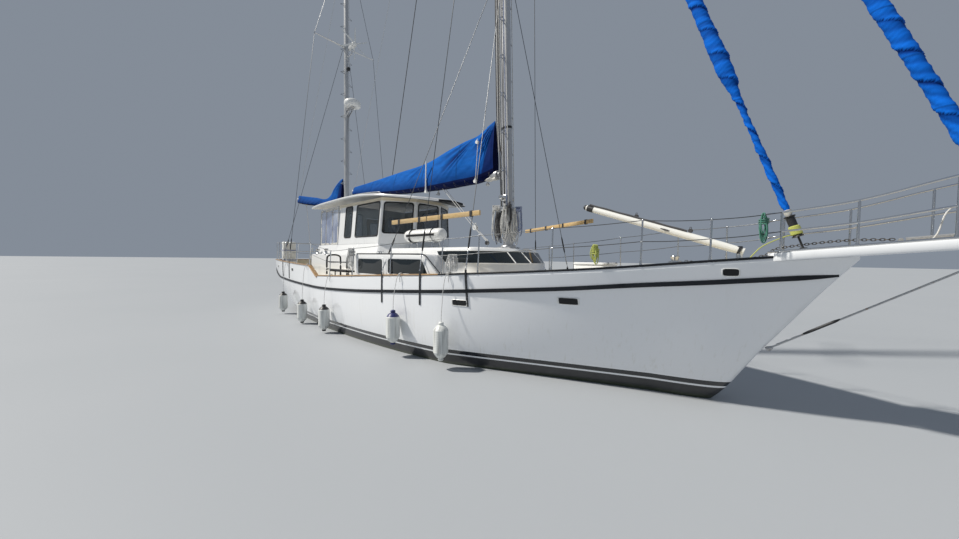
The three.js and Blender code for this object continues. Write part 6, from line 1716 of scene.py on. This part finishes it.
def chain_links(form, path, size=0.024, wire=0.0045):
    """Stud-less links laid end to end, each turned a quarter from the last."""
    along = np.concatenate([[0], np.cumsum(np.linalg.norm(np.diff(path, axis=0), axis=1))])
    pitch = size * 1.5
    turn = (np.arange(10) * TAU / 10)[:, None]
    for i, at in enumerate(np.arange(0, along[-1] - pitch, pitch)):
        a, b = (np.array([np.interp(v, along, path[:, k]) for k in range(3)]) for v in (at, at + pitch))
        ahead = unit(b - a)
        level = unit(np.cross((0, 0, 1), ahead))
        flat = level if i % 2 else np.cross(ahead, level)
        ring = (a + b) / 2 + size * (ahead * np.cos(turn) + flat * 0.62 * np.sin(turn))
        form.tube(ring, wire, 6, up=np.cross(ahead, flat), closed=True)


def make_foredeck():
    """Windlass with its gypsy, drum and chain, the hatch, cleats, hawse openings and mushroom vents."""
    base, chain, rim, lid = Form(), Form(), Form(), Form()
    base.block((6.25, -0.15, 1.915), (6.52, 0.15, 1.945), 0.01)
    base.block((6.27, -0.12, 1.94), (6.5, 0.12, 2.009), 0.016)
    base.lathe([(0, 0), (75, 0), (75, 10), (58, 22), (50, 55), (56, 95), (66, 118), (60, 132), (0, 140)],
               (6.39, 0, 2), sides=30)
    for side in BOTH:
        base.lathe([(0, 0), (50, 0), (50, 30), (72, 36), (74, 50), (56, 58), (74, 66), (72, 80), (40, 85),
                    (0, 88)], (6.42, side * 0.11, 1.985), (0, side, 0), 24)
    base.lathe([(0, 0), (20, 0), (16, 45), (0, 50)], (6.3, 0.07, 2), sides=12)
    piece("windlass_body", base, STEEL, replaces="windlass", sharp=45)
    on_deck = [(x, 0.15, rail_height(x) + lift) for x, lift in ((6.75, 0.056), (7.1, 0.026))]
    on_plank = [(x, 0.14, plank_top(x) + lift) for x, lift in ((7.62, 0.07), (8.2, 0.1), (8.66, 0.06))]
    path = [(6.5, 0.16, 2.05), *on_deck, (7.5, 0.14, rail_height(7.5) + 0.106), *on_plank]
    chain_links(chain, curve(path, 80))
    piece("anchor_chain", chain, CHAIN, sharp=60)
    outer, inner = rounded(4.78, 5.38, -0.3, 0.3, 0.05, 6), rounded(4.84, 5.32, -0.24, 0.24, 0.03, 6)
    drawn = outer * 0.98 + np.array([5.08, 0]) * 0.02
    rows = ((outer, 1.8), (outer, 1.945), (drawn, 1.959), (inner, 1.959), (inner, 1.952), (inner, 1.85))
    rim.grid(np.stack([xyz(*loop.T, z) for loop, z in rows]), mark=np.array([0, 0, 0, 0, 1])[:, None])
    piece("hatch_coaming", rim, [GELCOAT, GASKET], replaces="foredeck_hatch_coaming")
    x0, x1 = 5.392 - 0.615, 5.392
    lid.slab(rounded(x0, x1, -0.315, 0.315, 0.06, 7), [1.966, 1.994, 2.004, 2.006], [0, 0, 0.012, 0.03])
    lid.slab(rounded(x0 + 0.07, x1 - 0.07, -0.25, 0.25, 0.05, 6), [2.001, 2.0105], [0, 0.006], mark=1)
    for y in (-0.18, 0.18):
        lid.block((x1 - 0.07, y - 0.03, 1.98), (x1 + 0.006, y + 0.03, 2.014), 0.004, mark=2)
        lid.rod((x1, y - 0.032, 1.985), (x1, y + 0.032, 1.985), 0.01, mark=2)
        lid.block((x0 - 0.006, y - 0.025, 1.975), (x0 + 0.05, y + 0.025, 2.014), 0.004, mark=2)
    piece("hatch_lid_frame", lid, [GELCOAT, GLASS, STEEL], body="hatch_lid", replaces="foredeck_hatch_lid",
          sharp=45)
    cleats, holes, rims, vents = Form(), Form(), Form(), Form()
    for side in BOTH:
        for x in (6.95, 4.3, 0.9, -1.5):
            y = side * (deck_half(x) - (0.3 if x > 2.9 else 0.16))
            horn_cleat(cleats, (x, y, HOUSE_TOP if 0 < x < 2.4 else rail_height(x)), (1, 0, 0), (0, 0, 1),
                       0.26)
        for x in (-7.2, -4.6):
            horn_cleat(cleats, (x, side * (deck_half(x) - BULWARK_WALL - 0.05), 1.6), (1, 0, 0),
                       (0, -side, 0), 0.24)
        for x, z, wide, high in ((7.19, 1.91, 0.085, 0.048), (3.34, 1.23, 0.15, 0.052),
                                 (5.22, 1.395, 0.145, 0.052), (-7.35, 1.62, 0.1, 0.045),
                                 (-4.7, 1.58, 0.1, 0.045)):
            loop = disc(1, 28)
            loop = np.sign(loop) * np.abs(loop) ** (0.22 if wide > 0.12 else 0.42) * (wide, high)
            on = lambda k, off: xyz(x + loop[:, 0] * k,
                                    side * (side_y(x + loop[:, 0] * k, z + loop[:, 1] * k) + off),
                                    z + loop[:, 1] * k)
            holes.grid(np.stack([on(1, -0.01), *(on(k, 0.003) for k in (1, 0.5, 0.05))]))
            rows = ((1.12, -0.004), (1.12, 0.007), (1.03, 0.011), (0.96, 0.007), (0.96, -0.004))
            rims.grid(np.stack([on(*row) for row in rows]), loop=True)
        for x in (4.2, 5.75):
            vents.lathe([(0, 0), (70, 0), (70, 12), (45, 16), (45, 50), (85, 52), (88, 62), (60, 82),
                         (0, 90)], (x, side * 0.5, rail_height(x)), sides=28)
    piece("deck_cleats", cleats, STEEL, sharp=50)
    piece("hull_openings", holes, GASKET, sharp=50)
    piece("hull_opening_rims", rims, MOULDED_WHITE, sharp=50)
    piece("mushroom_vents", vents, STEEL, sharp=50)


# Gear along the side
def make_fenders():
    """Ribbed vinyl fenders with moulded eyes, each on a lanyard tied to the rail."""
    profile = [(0, -350), (30, -348), (45, -325), (48, -300), (85, -275), (125, -220)]
    for z in range(-190, 200, 32):
        profile += [(137, z), (140, z + 8), (140, z + 18), (137, z + 26)]
    profile += [(128, 235), (90, 285), (48, 312), (46, 335), (36, 362), (0, 368)]
    capped = np.array([[z > 230] for _, z in profile[:-1]]).astype(int)
    for i, (x, high, cap) in enumerate([(3.1, 0.51, FENDER_SKIN), (1.8, 0.6, FENDER_NAVY),
                                        (-1.34, 0.4, MOULDED), (-3.05, 0.37, MOULDED),
                                        (-5.37, 0.42, MOULDED)]):
        y = -(deck_half(x) + 0.152)
        form, cord = Form().lathe(profile, (x, y, high), sides=30, mark=capped), Form()
        for at in (high - 0.322, high + 0.336):
            form.lathe([(0, -26), (40, -24), (51, -10), (51, 12), (38, 28), (0, 30)], (x, y, at), sides=20,
                       mark=1)
        piece(f"fender_skin_{i + 1}", form, [FENDER_SKIN, cap], replaces=f"fender_{i + 1}", sharp=50)
        edge = rail_height(x) + (0.035 if x < STEP_X[0] else 0.07)
        points = [(x, y, high + 0.35), (x + 0.006, y + 0.006, high + 0.6), (x, y + 0.05, edge - 0.24),
                  (x, y + 0.1, edge - 0.04), (x, y + 0.152, edge + 0.01)]
        cord.tube(curve(points, 28), 0.006, 8)
        wrap, rail_y = np.linspace(0, 3 * TAU, 40), y + 0.152 + 0.03
        turns = xyz(x + np.linspace(-0.02, 0.02, 40), rail_y + 0.045 * np.cos(wrap),
                    edge - 0.005 + 0.034 * np.sin(wrap))
        cord.tube(turns, 0.006, 8)
        tail = [(x + 0.02, rail_y - 0.04, edge), (x + 0.05, rail_y - 0.065, edge - 0.07),
                (x + 0.055, rail_y - 0.055, edge - 0.16)]
        cord.tube(curve(tail, 14), 0.006, 8)
        piece(f"fender_lanyard_{i + 1}", cord, ROPE, sharp=60)


def make_canister():
    """Life-raft canister: two moulded halves banded together, in a cradle on the raised deck."""
    centre, r = np.array([1.09, -0.9, 2.59]), 0.16
    form, cradle = Form(), Form()
    profile = [(0, -725), (70, -722), (115, -705), (142, -670), (152, -620)]
    for k in range(-560, -79, 120):
        profile += [(154, k - 30), (160, k - 18), (160, k + 18), (154, k + 30)]
    profile += [(156, -20)]
    form.lathe(profile + [(a, -b) for a, b in profile[::-1]], centre, (1, 0, 0), 44)
    t = np.linspace(-0.7, 0.7, 30)
    reach = r * np.minimum(1, np.sqrt(np.maximum(1.02 - (t / 0.74) ** 6, 0.1)))
    for side in BOTH:
        form.sweep(centre + xyz(t, side * reach, 0), rounded(-0.014, 0.012, -0.028, 0.028, 0.004, 2), mark=1)
    turn = np.linspace(0, TAU, 40)[:-1]
    for at in (-0.42, 0.42):
        ring = centre + xyz(at, (r + 0.004) * np.cos(turn), (r + 0.004) * np.sin(turn))
        form.sweep(ring, bar(36, 4, 1, 2), up=(1, 0, 0), closed=True, mark=1)
    piece("liferaft_shell", form, [MOULDED_WHITE, GASKET], replaces="liferaft_canister", sharp=50)
    turn = np.linspace(math.pi * 1.12, math.pi * 1.88, 14)
    for at in (-0.45, 0.45):
        arc = centre + xyz(at, (r + 0.012) * np.cos(turn), (r + 0.012) * np.sin(turn))
        cradle.sweep(arc, bar(60, 12, 3, 2), up=(1, 0, 0))
        x, y, z = centre + (at, 0, 0)
        for side in BOTH:
            cradle.rod((x, y + side * 0.1, z - r * 0.85), (x, y + side * 0.16, HOUSE_TOP), 0.012, sides=10)
            cradle.block(*corners((x, y + side * 0.16, HOUSE_TOP + 0.004), (0.04, 0.03, 0.004)), 0.003)
    piece("liferaft_cradle", cradle, STEEL, sharp=45)


def make_hank(name, paint, top, face, drop, wide, turns, radius):
    """A rope hung up in a hank: long loops one behind another, three turns about their neck, a short tail."""
    face = unit(np.asarray(face, float))
    basis = np.array([unit(np.cross((0, 0, 1), face)), face, (0, 0, -1)])
    pitch, neck = 3 * radius, 0.03
    t = np.linspace(0, turns, turns * 40 + 1)
    turn = t % 1
    which = np.minimum(np.floor(t), turns - 1)
    reach = neck + (wide / 2 * (1 - 0.62 * np.sin(which * 2.4) ** 2) - neck) * np.sin(turn * math.pi) ** 2
    level = (1 - np.cos(turn * TAU)) / 2 * (1 - 0.42 * np.sin(which * 1.7 + 0.4) ** 2)
    side = np.sin(turn * TAU) * reach * (0.78 + 0.22 * np.abs(np.sin(turn * TAU)))
    fan = np.sin(0.75 * np.abs(np.sin(which * 2.7 + 0.9)))
    out = t * pitch + np.abs(side) * fan
    loops = top + xyz(side * np.sqrt(1 - fan ** 2), out, level * drop) @ basis
    a, half_depth = np.linspace(0, 3 * TAU, 91), turns * pitch / 2
    round_neck = xyz((neck + 0.018) * np.sin(a), half_depth + (half_depth + 2.6 * radius) * np.cos(a),
                     0.06 + a / TAU * pitch)
    wrap = top + round_neck @ basis
    from_end = lambda end, steps: [end + np.array(step) @ basis for step in steps]
    lead = from_end(loops[-1], [(0, 0, 0), (0.012, 2.4 * radius, 0.006), (0.012, 2.7 * radius, 0.028)])
    tail = from_end(wrap[-1], [(0, 0, 0), (0.03, 0, 0.012), (0.04, 0, 0.06), (0.036, 0, 0.16)])
    path = np.concatenate([loops, curve([*lead, wrap[0]], 16)[1:-1], wrap, curve(tail, 18)[1:]])
    thing = piece(name, Form().tube(path, radius, 8, up=face), paint, sharp=60)


def make_hanks():
    """Halyard tails coiled on the masts and spare lines hung on the guard wires."""
    places = [(MAIN, 3.16, -22, 0.8, 0.24, 6, ROPE), (MAIN, 3.24, -64, 0.86, 0.3, 7, ROPE),
              (MAIN, 3.08, -108, 0.7, 0.16, 6, ROPE_DARK), (MAIN, 3.26, -144, 0.9, 0.32, 7, ROPE),
              (MAIN, 3.14, 176, 0.78, 0.22, 8, ROPE_DARK), (MAIN, 3.2, 90, 0.85, 0.24, 8, ROPE),
              (MAIN, 3.3, -43, 0.66, 0.16, 5, ROPE_DARK), (MAIN, 3.22, 24, 0.74, 0.22, 6, ROPE_BLUE),
              (MIZZEN, 2.6, -90, 0.55, 0.17, 6, ROPE), (MIZZEN, 2.6, 90, 0.55, 0.17, 6, ROPE_BLUE)]
    for i, (mast, z, bearing, drop, wide, turns, paint) in enumerate(places):
        angle = math.radians(bearing)
        face = np.array([math.cos(angle), math.sin(angle), 0])
        top = np.array([mast_x(mast, z), 0, z]) + face * (mast[2][0] + 0.045)
        make_hank(f"halyard_hank_{i + 1}", paint, top, face, drop, wide, turns, 0.007)
    for name, paint, x, level, drop, wide, turns in (("green_line", ROPE_GREEN, 7.5, 0.99, 0.38, 0.11, 7),
                                                     ("yellow_line", ROPE_YELLOW, 5.645, 0.52, 0.3, 0.12, 5),
                                                     ("warp_amidships", ROPE, 3.28, 0.52, 0.32, 0.36, 8),
                                                     ("gate_line", ROPE, -0.02, 0.99, 0.55, 0.16, 6)):
        i = max(k for k, row in enumerate(STANCHIONS) if row[0] <= x)
        a, b = (on_post(k, level, -1) for k in (i, i + 1))
        top = a + (b - a) * (x - a[0]) / (b[0] - a[0]) + (0, -0.03, -0.004)
        make_hank(f"hank_{name}", paint, top, (0, -1, 0), drop, wide, turns, 0.0075)


# Cockpit
def make_cockpit():
    """Moulded seat round the well with padded cushions, steering console, instruments and wheel."""
    seat = Form()
    for x0, y0, x1, y1 in ((-4.48, -1.11, -4.08, 1.11), (-4.08, -1.11, -3.5, -0.68),
                           (-4.08, 0.68, -3.5, 1.11)):
        seat.block((x0, y0, AFT_DECK), (x1, y1, 1.848), 0.012)
        seat.block((x0 + 0.06, y0 + 0.06, 1.846), (x1 - 0.06, y1 - 0.06, 1.854), 0.003, mark=1)
    piece("seat_moulding", seat, [GELCOAT, TEAK], replaces="cockpit_bench")
    heights = 1.856 + np.array([0, 0.008, 0.022, 0.04, 0.07, 0.088, 0.1, 0.106])
    insets = (0.02, 0.006, 0, -0.004, -0.004, 0.002, 0.016, 0.05)
    for i, edges in enumerate(((-4.46, -4.1, -0.64, 0.64), (-4.46, -3.52, -1.09, -0.7),
                               (-4.46, -3.52, 0.7, 1.09))):
        loop = rounded(*edges, 0.04, 6)
        middle = loop.mean(0)
        ring = lambda k, z: xyz(*(middle + (loop - middle) * k).T, z)
        cushion = Form().slab(loop, heights, insets)
        cushion.grid(np.stack([ring(k, 1.962 + 0.012 * (1 - k)) for k in (0.92, 0.7, 0.4, 0.02)]))
        for z in (1.868, 1.95):
            cushion.tube(ring(1.004, z), 0.005, 6, closed=True)
        piece(f"seat_cushion_{i + 1}", cushion, SEAT, sharp=50)
    desk, dials, wheel = Form(), Form(), Form()
    x, z = np.array([(-0.6, AFT_DECK), (-0.6, 2.3), (-0.42, 2.56), (-0.15, 2.56), (-0.15, AFT_DECK)]).T
    desk.grid(np.stack([xyz(x, y, z) for y in (-0.56, 0.56)]))
    piece("console_moulding", desk, HOUSE_WHITE, replaces="helm_console")
    for y in (-0.4, -0.24, 0.24, 0.4):
        centre = (-0.6 + 0.18 * 0.55, y, 2.3 + 0.26 * 0.55)
        dials.lathe([(0, 0), (55, 0), (55, 10), (48.4, 13), (46.75, 9), (0, 9)], centre, (-0.26, 0, 0.18), 26)
    piece("console_dials", dials, GASKET, sharp=45)
    hub = np.array([-0.64, 0, 2.23])
    turn = np.arange(48) * TAU / 48
    wheel.tube(hub + 0.3 * xyz(0, np.cos(turn), np.sin(turn)), 0.0138, 12, up=(1, 0, 0), closed=True, mark=1)
    for k in range(5):
        angle = TAU * k / 5 + math.pi / 2
        spoke = np.array([0, math.cos(angle), math.sin(angle)])
        wheel.rod(hub + spoke * 0.045, hub + spoke * 0.292, 0.0075, sides=10)
    wheel.lathe([(0, -34), (30, -34), (50, -20), (50, 20), (30, 28), (0, 30)], hub, (1, 0, 0), 28)
    piece("wheel_rim", wheel, [STEEL, GASKET], body="wheel", replaces="steering_wheel", sharp=45)


def make_bulkhead():
    """After wall of the pilothouse with its two lights, and the door with its own light and lever handle."""
    wall, gaskets, panes, leaf, pane, lever = (Form() for _ in range(6))
    on = lambda p, off: xyz(-2.84 - off, p[:, 0], p[:, 1])
    for side in BOTH:
        jamb = side * 0.345
        light = rounded(side * 0.72 - 0.24, side * 0.72 + 0.24, 2.62, 3.45, 0.06, 6)
        pierced(wall, on, spread(light, *sorted((jamb, side * 1.12)), AFT_DECK + 0.7, 3.68), light, 0.044)
        right, left = sorted((jamb, side * 1.09))
        wall.block((-2.84, right, AFT_DECK), (-2.796, left, AFT_DECK + 0.702), 0.003)
        gaskets.rim(on, light, [(12, 2), (8, 12), (-14, 12), (-16, 2)])
        panes.rim(on, light, [(0, -15), (0, -22), (-200, -22)], closed=False)
        wall.sweep(np.array([(-2.845, jamb, AFT_DECK + 0.02), (-2.845, jamb, 3.36)]), bar(40, 28, 4), mark=1)
        level = np.array([AFT_DECK + 0.72, WALL_HEAD])
        slope = wall_point(0, np.zeros(2), level, side)[:, 1:] - (side * 0.02, 0)
        slip = np.concatenate([slope, [(side * 1.05, z) for z in level[::-1]]])
        wall.grid(np.stack([on(slip, -0.004), on(slip, -0.04)]))
    wall.block((-2.84, -0.345, 3.335), (-2.796, 0.345, 3.68), 0.003)
    piece("after_wall", wall, [HOUSE_WHITE, TEAK], replaces="pilothouse_bulkhead")
    piece("after_wall_gaskets", gaskets, GASKET, sharp=60)
    piece("after_wall_panes", panes, PANE)
    on = lambda p, off: xyz(-2.886 - off, p[..., 0], p[..., 1])
    light = rounded(-0.2, 0.2, 2.5, 3.2, 0.06, 6)
    pierced(leaf, on, spread(light, -0.322, 0.338, 1.48, 3.325), light, 0.038)
    leaf.rim(on, light, [(14, -1), (10, 7), (-12, 7), (-16, -1)], mark=1)
    leaf.slab(rounded(-0.22, 0.24, 1.62, 2.36, 0.04, 5), [0, 0.006, 0.008], [0, 0, 0.01],
              place=lambda p: on(p, p[..., 2]))
    piece("door_leaf", leaf, [TEAK, GASKET], body="door", replaces="pilothouse_door")
    pane.rim(on, light, [(0, -14), (0, -24), (-200, -24)], closed=False)
    piece("door_pane", pane, PANE, body="door", replaces="pilothouse_door_light")
    lever.lathe([(0, 0), (28, 0), (28, 8), (10, 12), (10, 35), (0, 35)], (-2.886, -0.26, 2.42), (-1, 0, 0),
                18)
    lever.tube(curve([(-2.916, -0.26, 2.42), (-2.92, -0.2, 2.422), (-2.916, -0.14, 2.416)], 10), 0.008, 10)
    for z in (1.75, 2.45, 3.1):
        lever.rod((-2.852, 0.34, z - 0.045), (-2.852, 0.34, z + 0.045), 0.0085, sides=10)
    piece("door_handle", lever, STEEL, body="door", sharp=45)


ENCLOSURE_X = (-4.54, -2.915)     # after and forward posts


def curtain_y(x, z):
    """Half-breadth of the curtains' plane, which leans in with height."""
    wide = 1.33 + (1.44 - 1.33) * (x + 4.6) / 1.755 - 0.168
    return wide * (1 - 0.03 * np.clip((z - SILL) / 1.48, 0, 1))


def finer(loop, parts):
    """A closed loop with each of its edges cut into equal parts."""
    ahead = (np.roll(loop, -1, 0) - loop)[:, None]
    return (loop[:, None] + ahead * np.linspace(0, 1, parts + 1)[:-1, None]).reshape(-1, 2)


def make_enclosure():
    """Tube frame round the cockpit and its clear curtains, each with a hem, two zips and turn buttons."""
    tubes = Form()
    for side in BOTH:
        for x in ENCLOSURE_X:
            z = np.linspace(SILL - 0.002, 3.64, 8)
            tubes.tube(xyz(x, side * curtain_y(x, z), z), 0.0155, 14)
            tubes.lathe([(0, 0), (36, 0), (36, 6), (19, 12), (18, 50), (0, 50)],
                        (x, side * curtain_y(x, SILL), SILL - 0.001), sides=18)
        x = np.linspace(*ENCLOSURE_X, 12)
        tubes.tube(xyz(x, side * curtain_y(x, 3.64), 3.64), 0.0155, 14)
    y = np.linspace(-1, 1, 12) * curtain_y(ENCLOSURE_X[0], 3.64)
    tubes.tube(xyz(ENCLOSURE_X[0], y, 3.64), 0.0155, 14)
    piece("enclosure_tubes", tubes, STEEL, replaces="enclosure_frame", sharp=50)
    x0, x1, z0, z1 = ENCLOSURE_X[0] + 0.024, ENCLOSURE_X[1] - 0.024, SILL + 0.012, 3.618
    for label, side in SIDES:
        sheet, hem, zips = Form(), Form(), Form()
        x, z = np.linspace(x0, x1, 60)[:, None], np.linspace(z0, z1, 44)[None, :]
        dent = lambda u, v: 0.006 * np.sin(u * 5.3 + 1.1) * np.sin(v * 4.1)
        ripple = 0.0035 * np.sin(x * 13 + z * 7) + 0.003 * np.sin(z * 15 - x * 4)
        sheet.grid(xyz(x, side * (curtain_y(x, z) + dent(x, z) + ripple), z), ring=False)
        thing = piece(f"side_curtain_{label}_vinyl", sheet, VINYL_CLEAR, replaces=f"side_curtain_{label}",
                      sharp=60)
        skin = lambda u, v, off: xyz(u, side * (curtain_y(u, v) + off + dent(u, v)), v)
        edges = rounded(x0, x1, z0, z1, 0.03, 5)
        outer, inner = finer(edges, 7).T, finer(grown(edges, -0.055), 7).T
        rows = ((outer, -0.003), (outer, 0.004), (inner, 0.004), (inner, -0.003))
        hem.grid(np.stack([skin(*loop, off) for loop, off in rows]), loop=True)
        piece(f"side_curtain_{label}_hem", hem, CANVAS_WHITE, sharp=60)
        v = np.linspace(SILL + 0.03, 3.6, 30)
        for u in (-4.02, -3.42):
            tape = ((-0.026, -0.003), (-0.026, 0.004), (0.026, 0.004), (0.026, -0.003))
            teeth = ((-0.005, 0.003), (-0.004, 0.008), (0.004, 0.008), (0.005, 0.003))
            for mark, strip in enumerate((tape, teeth)):
                zips.grid(np.stack([skin(u + w, v, off) for w, off in strip], axis=1), mark=mark)
            zips.block(*corners(skin(u, 2.62, 0.006), (0.01, 0.006, 0.02)), 0.003, mark=2)
        for u in np.arange(-4.46, -2.95, 0.17):
            for level in (SILL + 0.035, 3.595):
                zips.lathe([(0, 0), (11, 0), (10, 6), (0, 8)], skin(u, level, 0.004), (0, side, 0), 10,
                           mark=2)
        piece(f"side_curtain_{label}_zips", zips, [CANVAS_WHITE, GASKET, STEEL], sharp=50)
    drums = Form()
    for side in BOTH:
        for x, y in ((-3.25, 1.5), (-4.1, 1.43)):
            winch(drums, (x, side * y, HOUSE_TOP), (0, 0, 1), 1.12)
        horn_cleat(drums, (-3.7, side * 1.47, HOUSE_TOP), (1, 0, 0), (0, 0, 1), 0.2)
    piece("cockpit_winch_drums", drums, STEEL, sharp=45)


def make_stern():
    """Two cloth-covered lockers by the pushpit, the stern light, and the boarding gate to starboard."""
    boxes, bits = Form(), Form()
    for y0, y1 in ((-1.3, -1.065), (-1.05, -0.815)):
        loop = rounded(-8.3, -8.06, y0, y1, 0.03, 5)
        z = np.concatenate([[AFT_DECK, AFT_DECK + 0.02], np.linspace(1.5, 2.58, 24), [2.615, 2.635, 2.64]])
        swell = 0.01 * np.abs(np.sin((z - 1.4) * 6)) + 0.006
        inset = np.concatenate([[0.02, 0.008], 0.012 - swell[2:26], [0.004, 0.02, 0.06]])
        boxes.slab(loop, z, inset)
        for level in (1.86, 2.28):
            ring = rounded(-8.306, -8.054, y0 - 0.006, y1 + 0.006, 0.034, 5)
            bits.sweep(xyz(*ring.T, level), rounded(-0.002, 0.004, -0.014, 0.014, 0.001, 2), closed=True)
    boxes.block((-8.288, -1.25, 1.9), (-8.07, -0.85, 2.598), 0.01)
    piece("stern_lockers_cloth", boxes, CREAM_CLOTH, replaces="stern_lockers", sharp=60)
    piece("stern_locker_straps", bits, WEBBING, sharp=60)
    more = Form()
    more.lathe([(0, 0), (30, 0), (32, 50), (26, 70), (0, 75)], (-8.42, 0, 2.35), sides=20)
    more.rod((-8.42, 0, 2.22), (-8.42, 0, 2.35), 0.012, sides=10)
    piece("stern_light", more, MOULDED_WHITE)
    gate = Form()
    for x in (-1.655, -0.44):
        hoop = [(x, -2.145, 1.555), (x, -2.14, 1.95), (x, -2.1, 2.06), (x, -1.95, 2.09), (x, -1.8, 2.06),
                (x, -1.76, 1.95), (x, -1.76, AFT_DECK)]
        gate.tube(curve(hoop, 40), 0.023, 12)
    for z in (1.7, 1.9):
        gate.rod((-1.655, -2.144, z), (-0.44, -2.144, z), 0.014, sides=10)
    gate.block((-1.55, -2.11, 1.64), (-0.55, -1.86, 1.685), 0.006)
    for x in (-1.45, -0.65):
        gate.rod((x, -2, AFT_DECK), (x, -2, 1.64), 0.014, sides=10)
    piece("boarding_gate", gate, MOULDED, sharp=50)


def make_underwater():
    """Keel, skeg, stern gear, rudder and propeller, with zinc anodes and a bearing collar."""
    def foil(form, rows, count=20, mark=0):
        """Loft through rows of (aft x, forward x, half thickness, z), each a rounded wing section."""
        t = np.linspace(0, 1, count)
        thick = 2.6 * (0.55 * np.sqrt(t) - 0.3 * t - 0.16 * t ** 2 - 0.09 * t ** 4) + 0.02
        thick[-1] = 0.02
        rings = []
        for tail, nose, half, z in rows:
            u = nose + (tail - nose) * t
            rings.append(np.concatenate([xyz(u, -half * thick, z),
                                         xyz(u[::-1][1:-1], (half * thick)[::-1][1:-1], z)]))
        form.grid(np.stack(rings), mark=mark)

    keel, zincs = Form(), Form()
    foil(keel, [(-3.5, 3.3, 0.2, -0.5), (-3.4, 3, 0.19, -0.9), (-3.3, 2.7, 0.18, -1.248)])
    foil(keel, [(-6.36, -5, 0.075, -0.3), (-6.355, -5.5, 0.068, -1), (-6.35, -5.95, 0.06, -1.65)])
    keel.rod((-3.2, 0, -1), (-3.62, 0, -1), 0.06, sides=24)
    keel.sweep(np.array([(-4.975, 0, -0.56), (-4.975, 0, -0.97)]), bar(24, 110, 8), up=(1, 0, 0))
    keel.rod((-5.05, 0, -1), (-4.9, 0, -1), 0.048, sides=24)
    piece("keel_stub_and_skeg", keel, BOTTOM)
    ballast = Form()
    rows = [(-3.3, 2.7, 0.18, -1.251), (-3.2, 2.5, 0.205, -1.7), (-3.12, 2.32, 0.19, -1.88),
            (-3.05, 2.15, 0.15, -2)]
    foil(ballast, rows)
    piece("ballast_casting", ballast, BOTTOM, replaces="ballast_keel")
    rudder = Form()
    rows = [(-0.7, 0.06, -0.47), (-0.88, 0.06, -1), (-0.8, 0.045, -1.65)]
    foil(rudder, [(-6.42 + tail, -6.42 + 0.035, half, z) for tail, half, z in rows])
    rudder.rod((-6.42, 0, -0.3), (-6.42, 0, -1.6), 0.04, sides=20)
    for z in (-0.62, -1.48):
        rudder.block((-6.74, -0.062, z - 0.035), (-6.385, 0.062, z + 0.035), 0.006, mark=1)
    piece("rudder_blade", rudder, [BOTTOM, BRONZE], body="rudder", replaces="rudder", sharp=50)
    prop = Form()
    x, z = -5.2, -1
    prop.lathe([(0, -160), (18, -150), (42, -90), (52, -30), (55, 50), (48, 75), (0, 80)], (x, 0, z),
               (1, 0, 0), 28)
    prop.rod((x, 0, z), (-3.62, 0, z), 0.0245, sides=18, mark=1)
    t = np.linspace(0, 1, 12)[:, None]
    reach = 0.045 + (0.328 - 0.045) * t
    oval = np.sqrt(np.clip(1.02 - (2 * t - 0.95) ** 4 * 0.9, 0.02, 1))
    chord = 0.17 * oval * np.interp(t, [0, 0.4, 1], [0.55, 1, 0.75])
    u = np.linspace(0, 1, 11)
    up, low = 0.055 * np.sqrt(u) * (1 - u) * 2.2, -0.01 * np.sin(math.pi * u)
    blades(prop, (x, 0, z), 3, reach, chord, np.arctan2(0.4 / TAU, reach), u - 0.5, up, low)
    piece("propeller_blades", prop, [BRONZE, STEEL], body="propeller", replaces="propeller", sharp=40)
    zincs.lathe([(0, -40), (42, -30), (46, 0), (42, 30), (0, 40)], (-4.2, 0, -1), (1, 0, 0), 22)
    piece("shaft_anode", zincs, ZINC, body="propeller")


def make_studio():
    """Pale floor at the waterline, a pale sky all round and one soft sun."""
    floor = bpy.data.meshes.new("studio_floor")
    reach = 260
    floor.from_pydata([(-reach, -reach, 0), (reach, -reach, 0), (reach, reach, 0), (-reach, reach, 0)], [],
                      [(0, 1, 2, 3)])
    finish = Paint("floor_paint", (0.38, 0.4, 0.42), 0.6)
    cloud = finish.noise(0.15, 3)
    floor.materials.append(finish.set(finish.mix(cloud, (0.36, 0.385, 0.41), (0.4, 0.42, 0.445))))
    thing = bpy.data.objects.new("studio_floor", floor)
    bpy.context.scene.collection.objects.link(thing)
    world = bpy.data.worlds.new("studio")
    world.use_nodes = True
    world.node_tree.nodes["Background"].inputs[0].default_value = (0.7, 0.8, 0.95, 1)
    world.node_tree.nodes["Background"].inputs[1].default_value = 0.33
    bpy.context.scene.world = world
    sun = bpy.data.lights.new("sun", "SUN")
    sun.energy, sun.angle, sun.color = 4.3, 0.05, (1, 0.95, 0.87)
    lamp = bpy.data.objects.new("sun", sun)
    lamp.rotation_euler = Vector((-0.5, -0.45, 0.74)).to_track_quat("Z", "Y").to_euler()
    bpy.context.scene.collection.objects.link(lamp)
    bpy.context.scene.view_settings.view_transform = "Standard"
    bpy.context.scene.view_settings.exposure = 0


make_camera()
make_hanks()
make_studio()
make_hull()
make_strake()
make_toe_rails()
make_deckhouse()
make_house_windows()
make_roof()
make_pilothouse()
make_plinth()
make_masts()
make_rigging()
make_booms()
make_covers()
make_running_rigging()
make_staysail_boom()
make_furled_sails()
make_lashed_planks()
make_radar()
make_wind_generator()
make_guard_rails()
make_bulwark_cap()
make_bowsprit()
make_foredeck()
make_fenders()
make_canister()
make_cockpit()
make_bulkhead()
make_enclosure()
make_stern()
make_underwater()
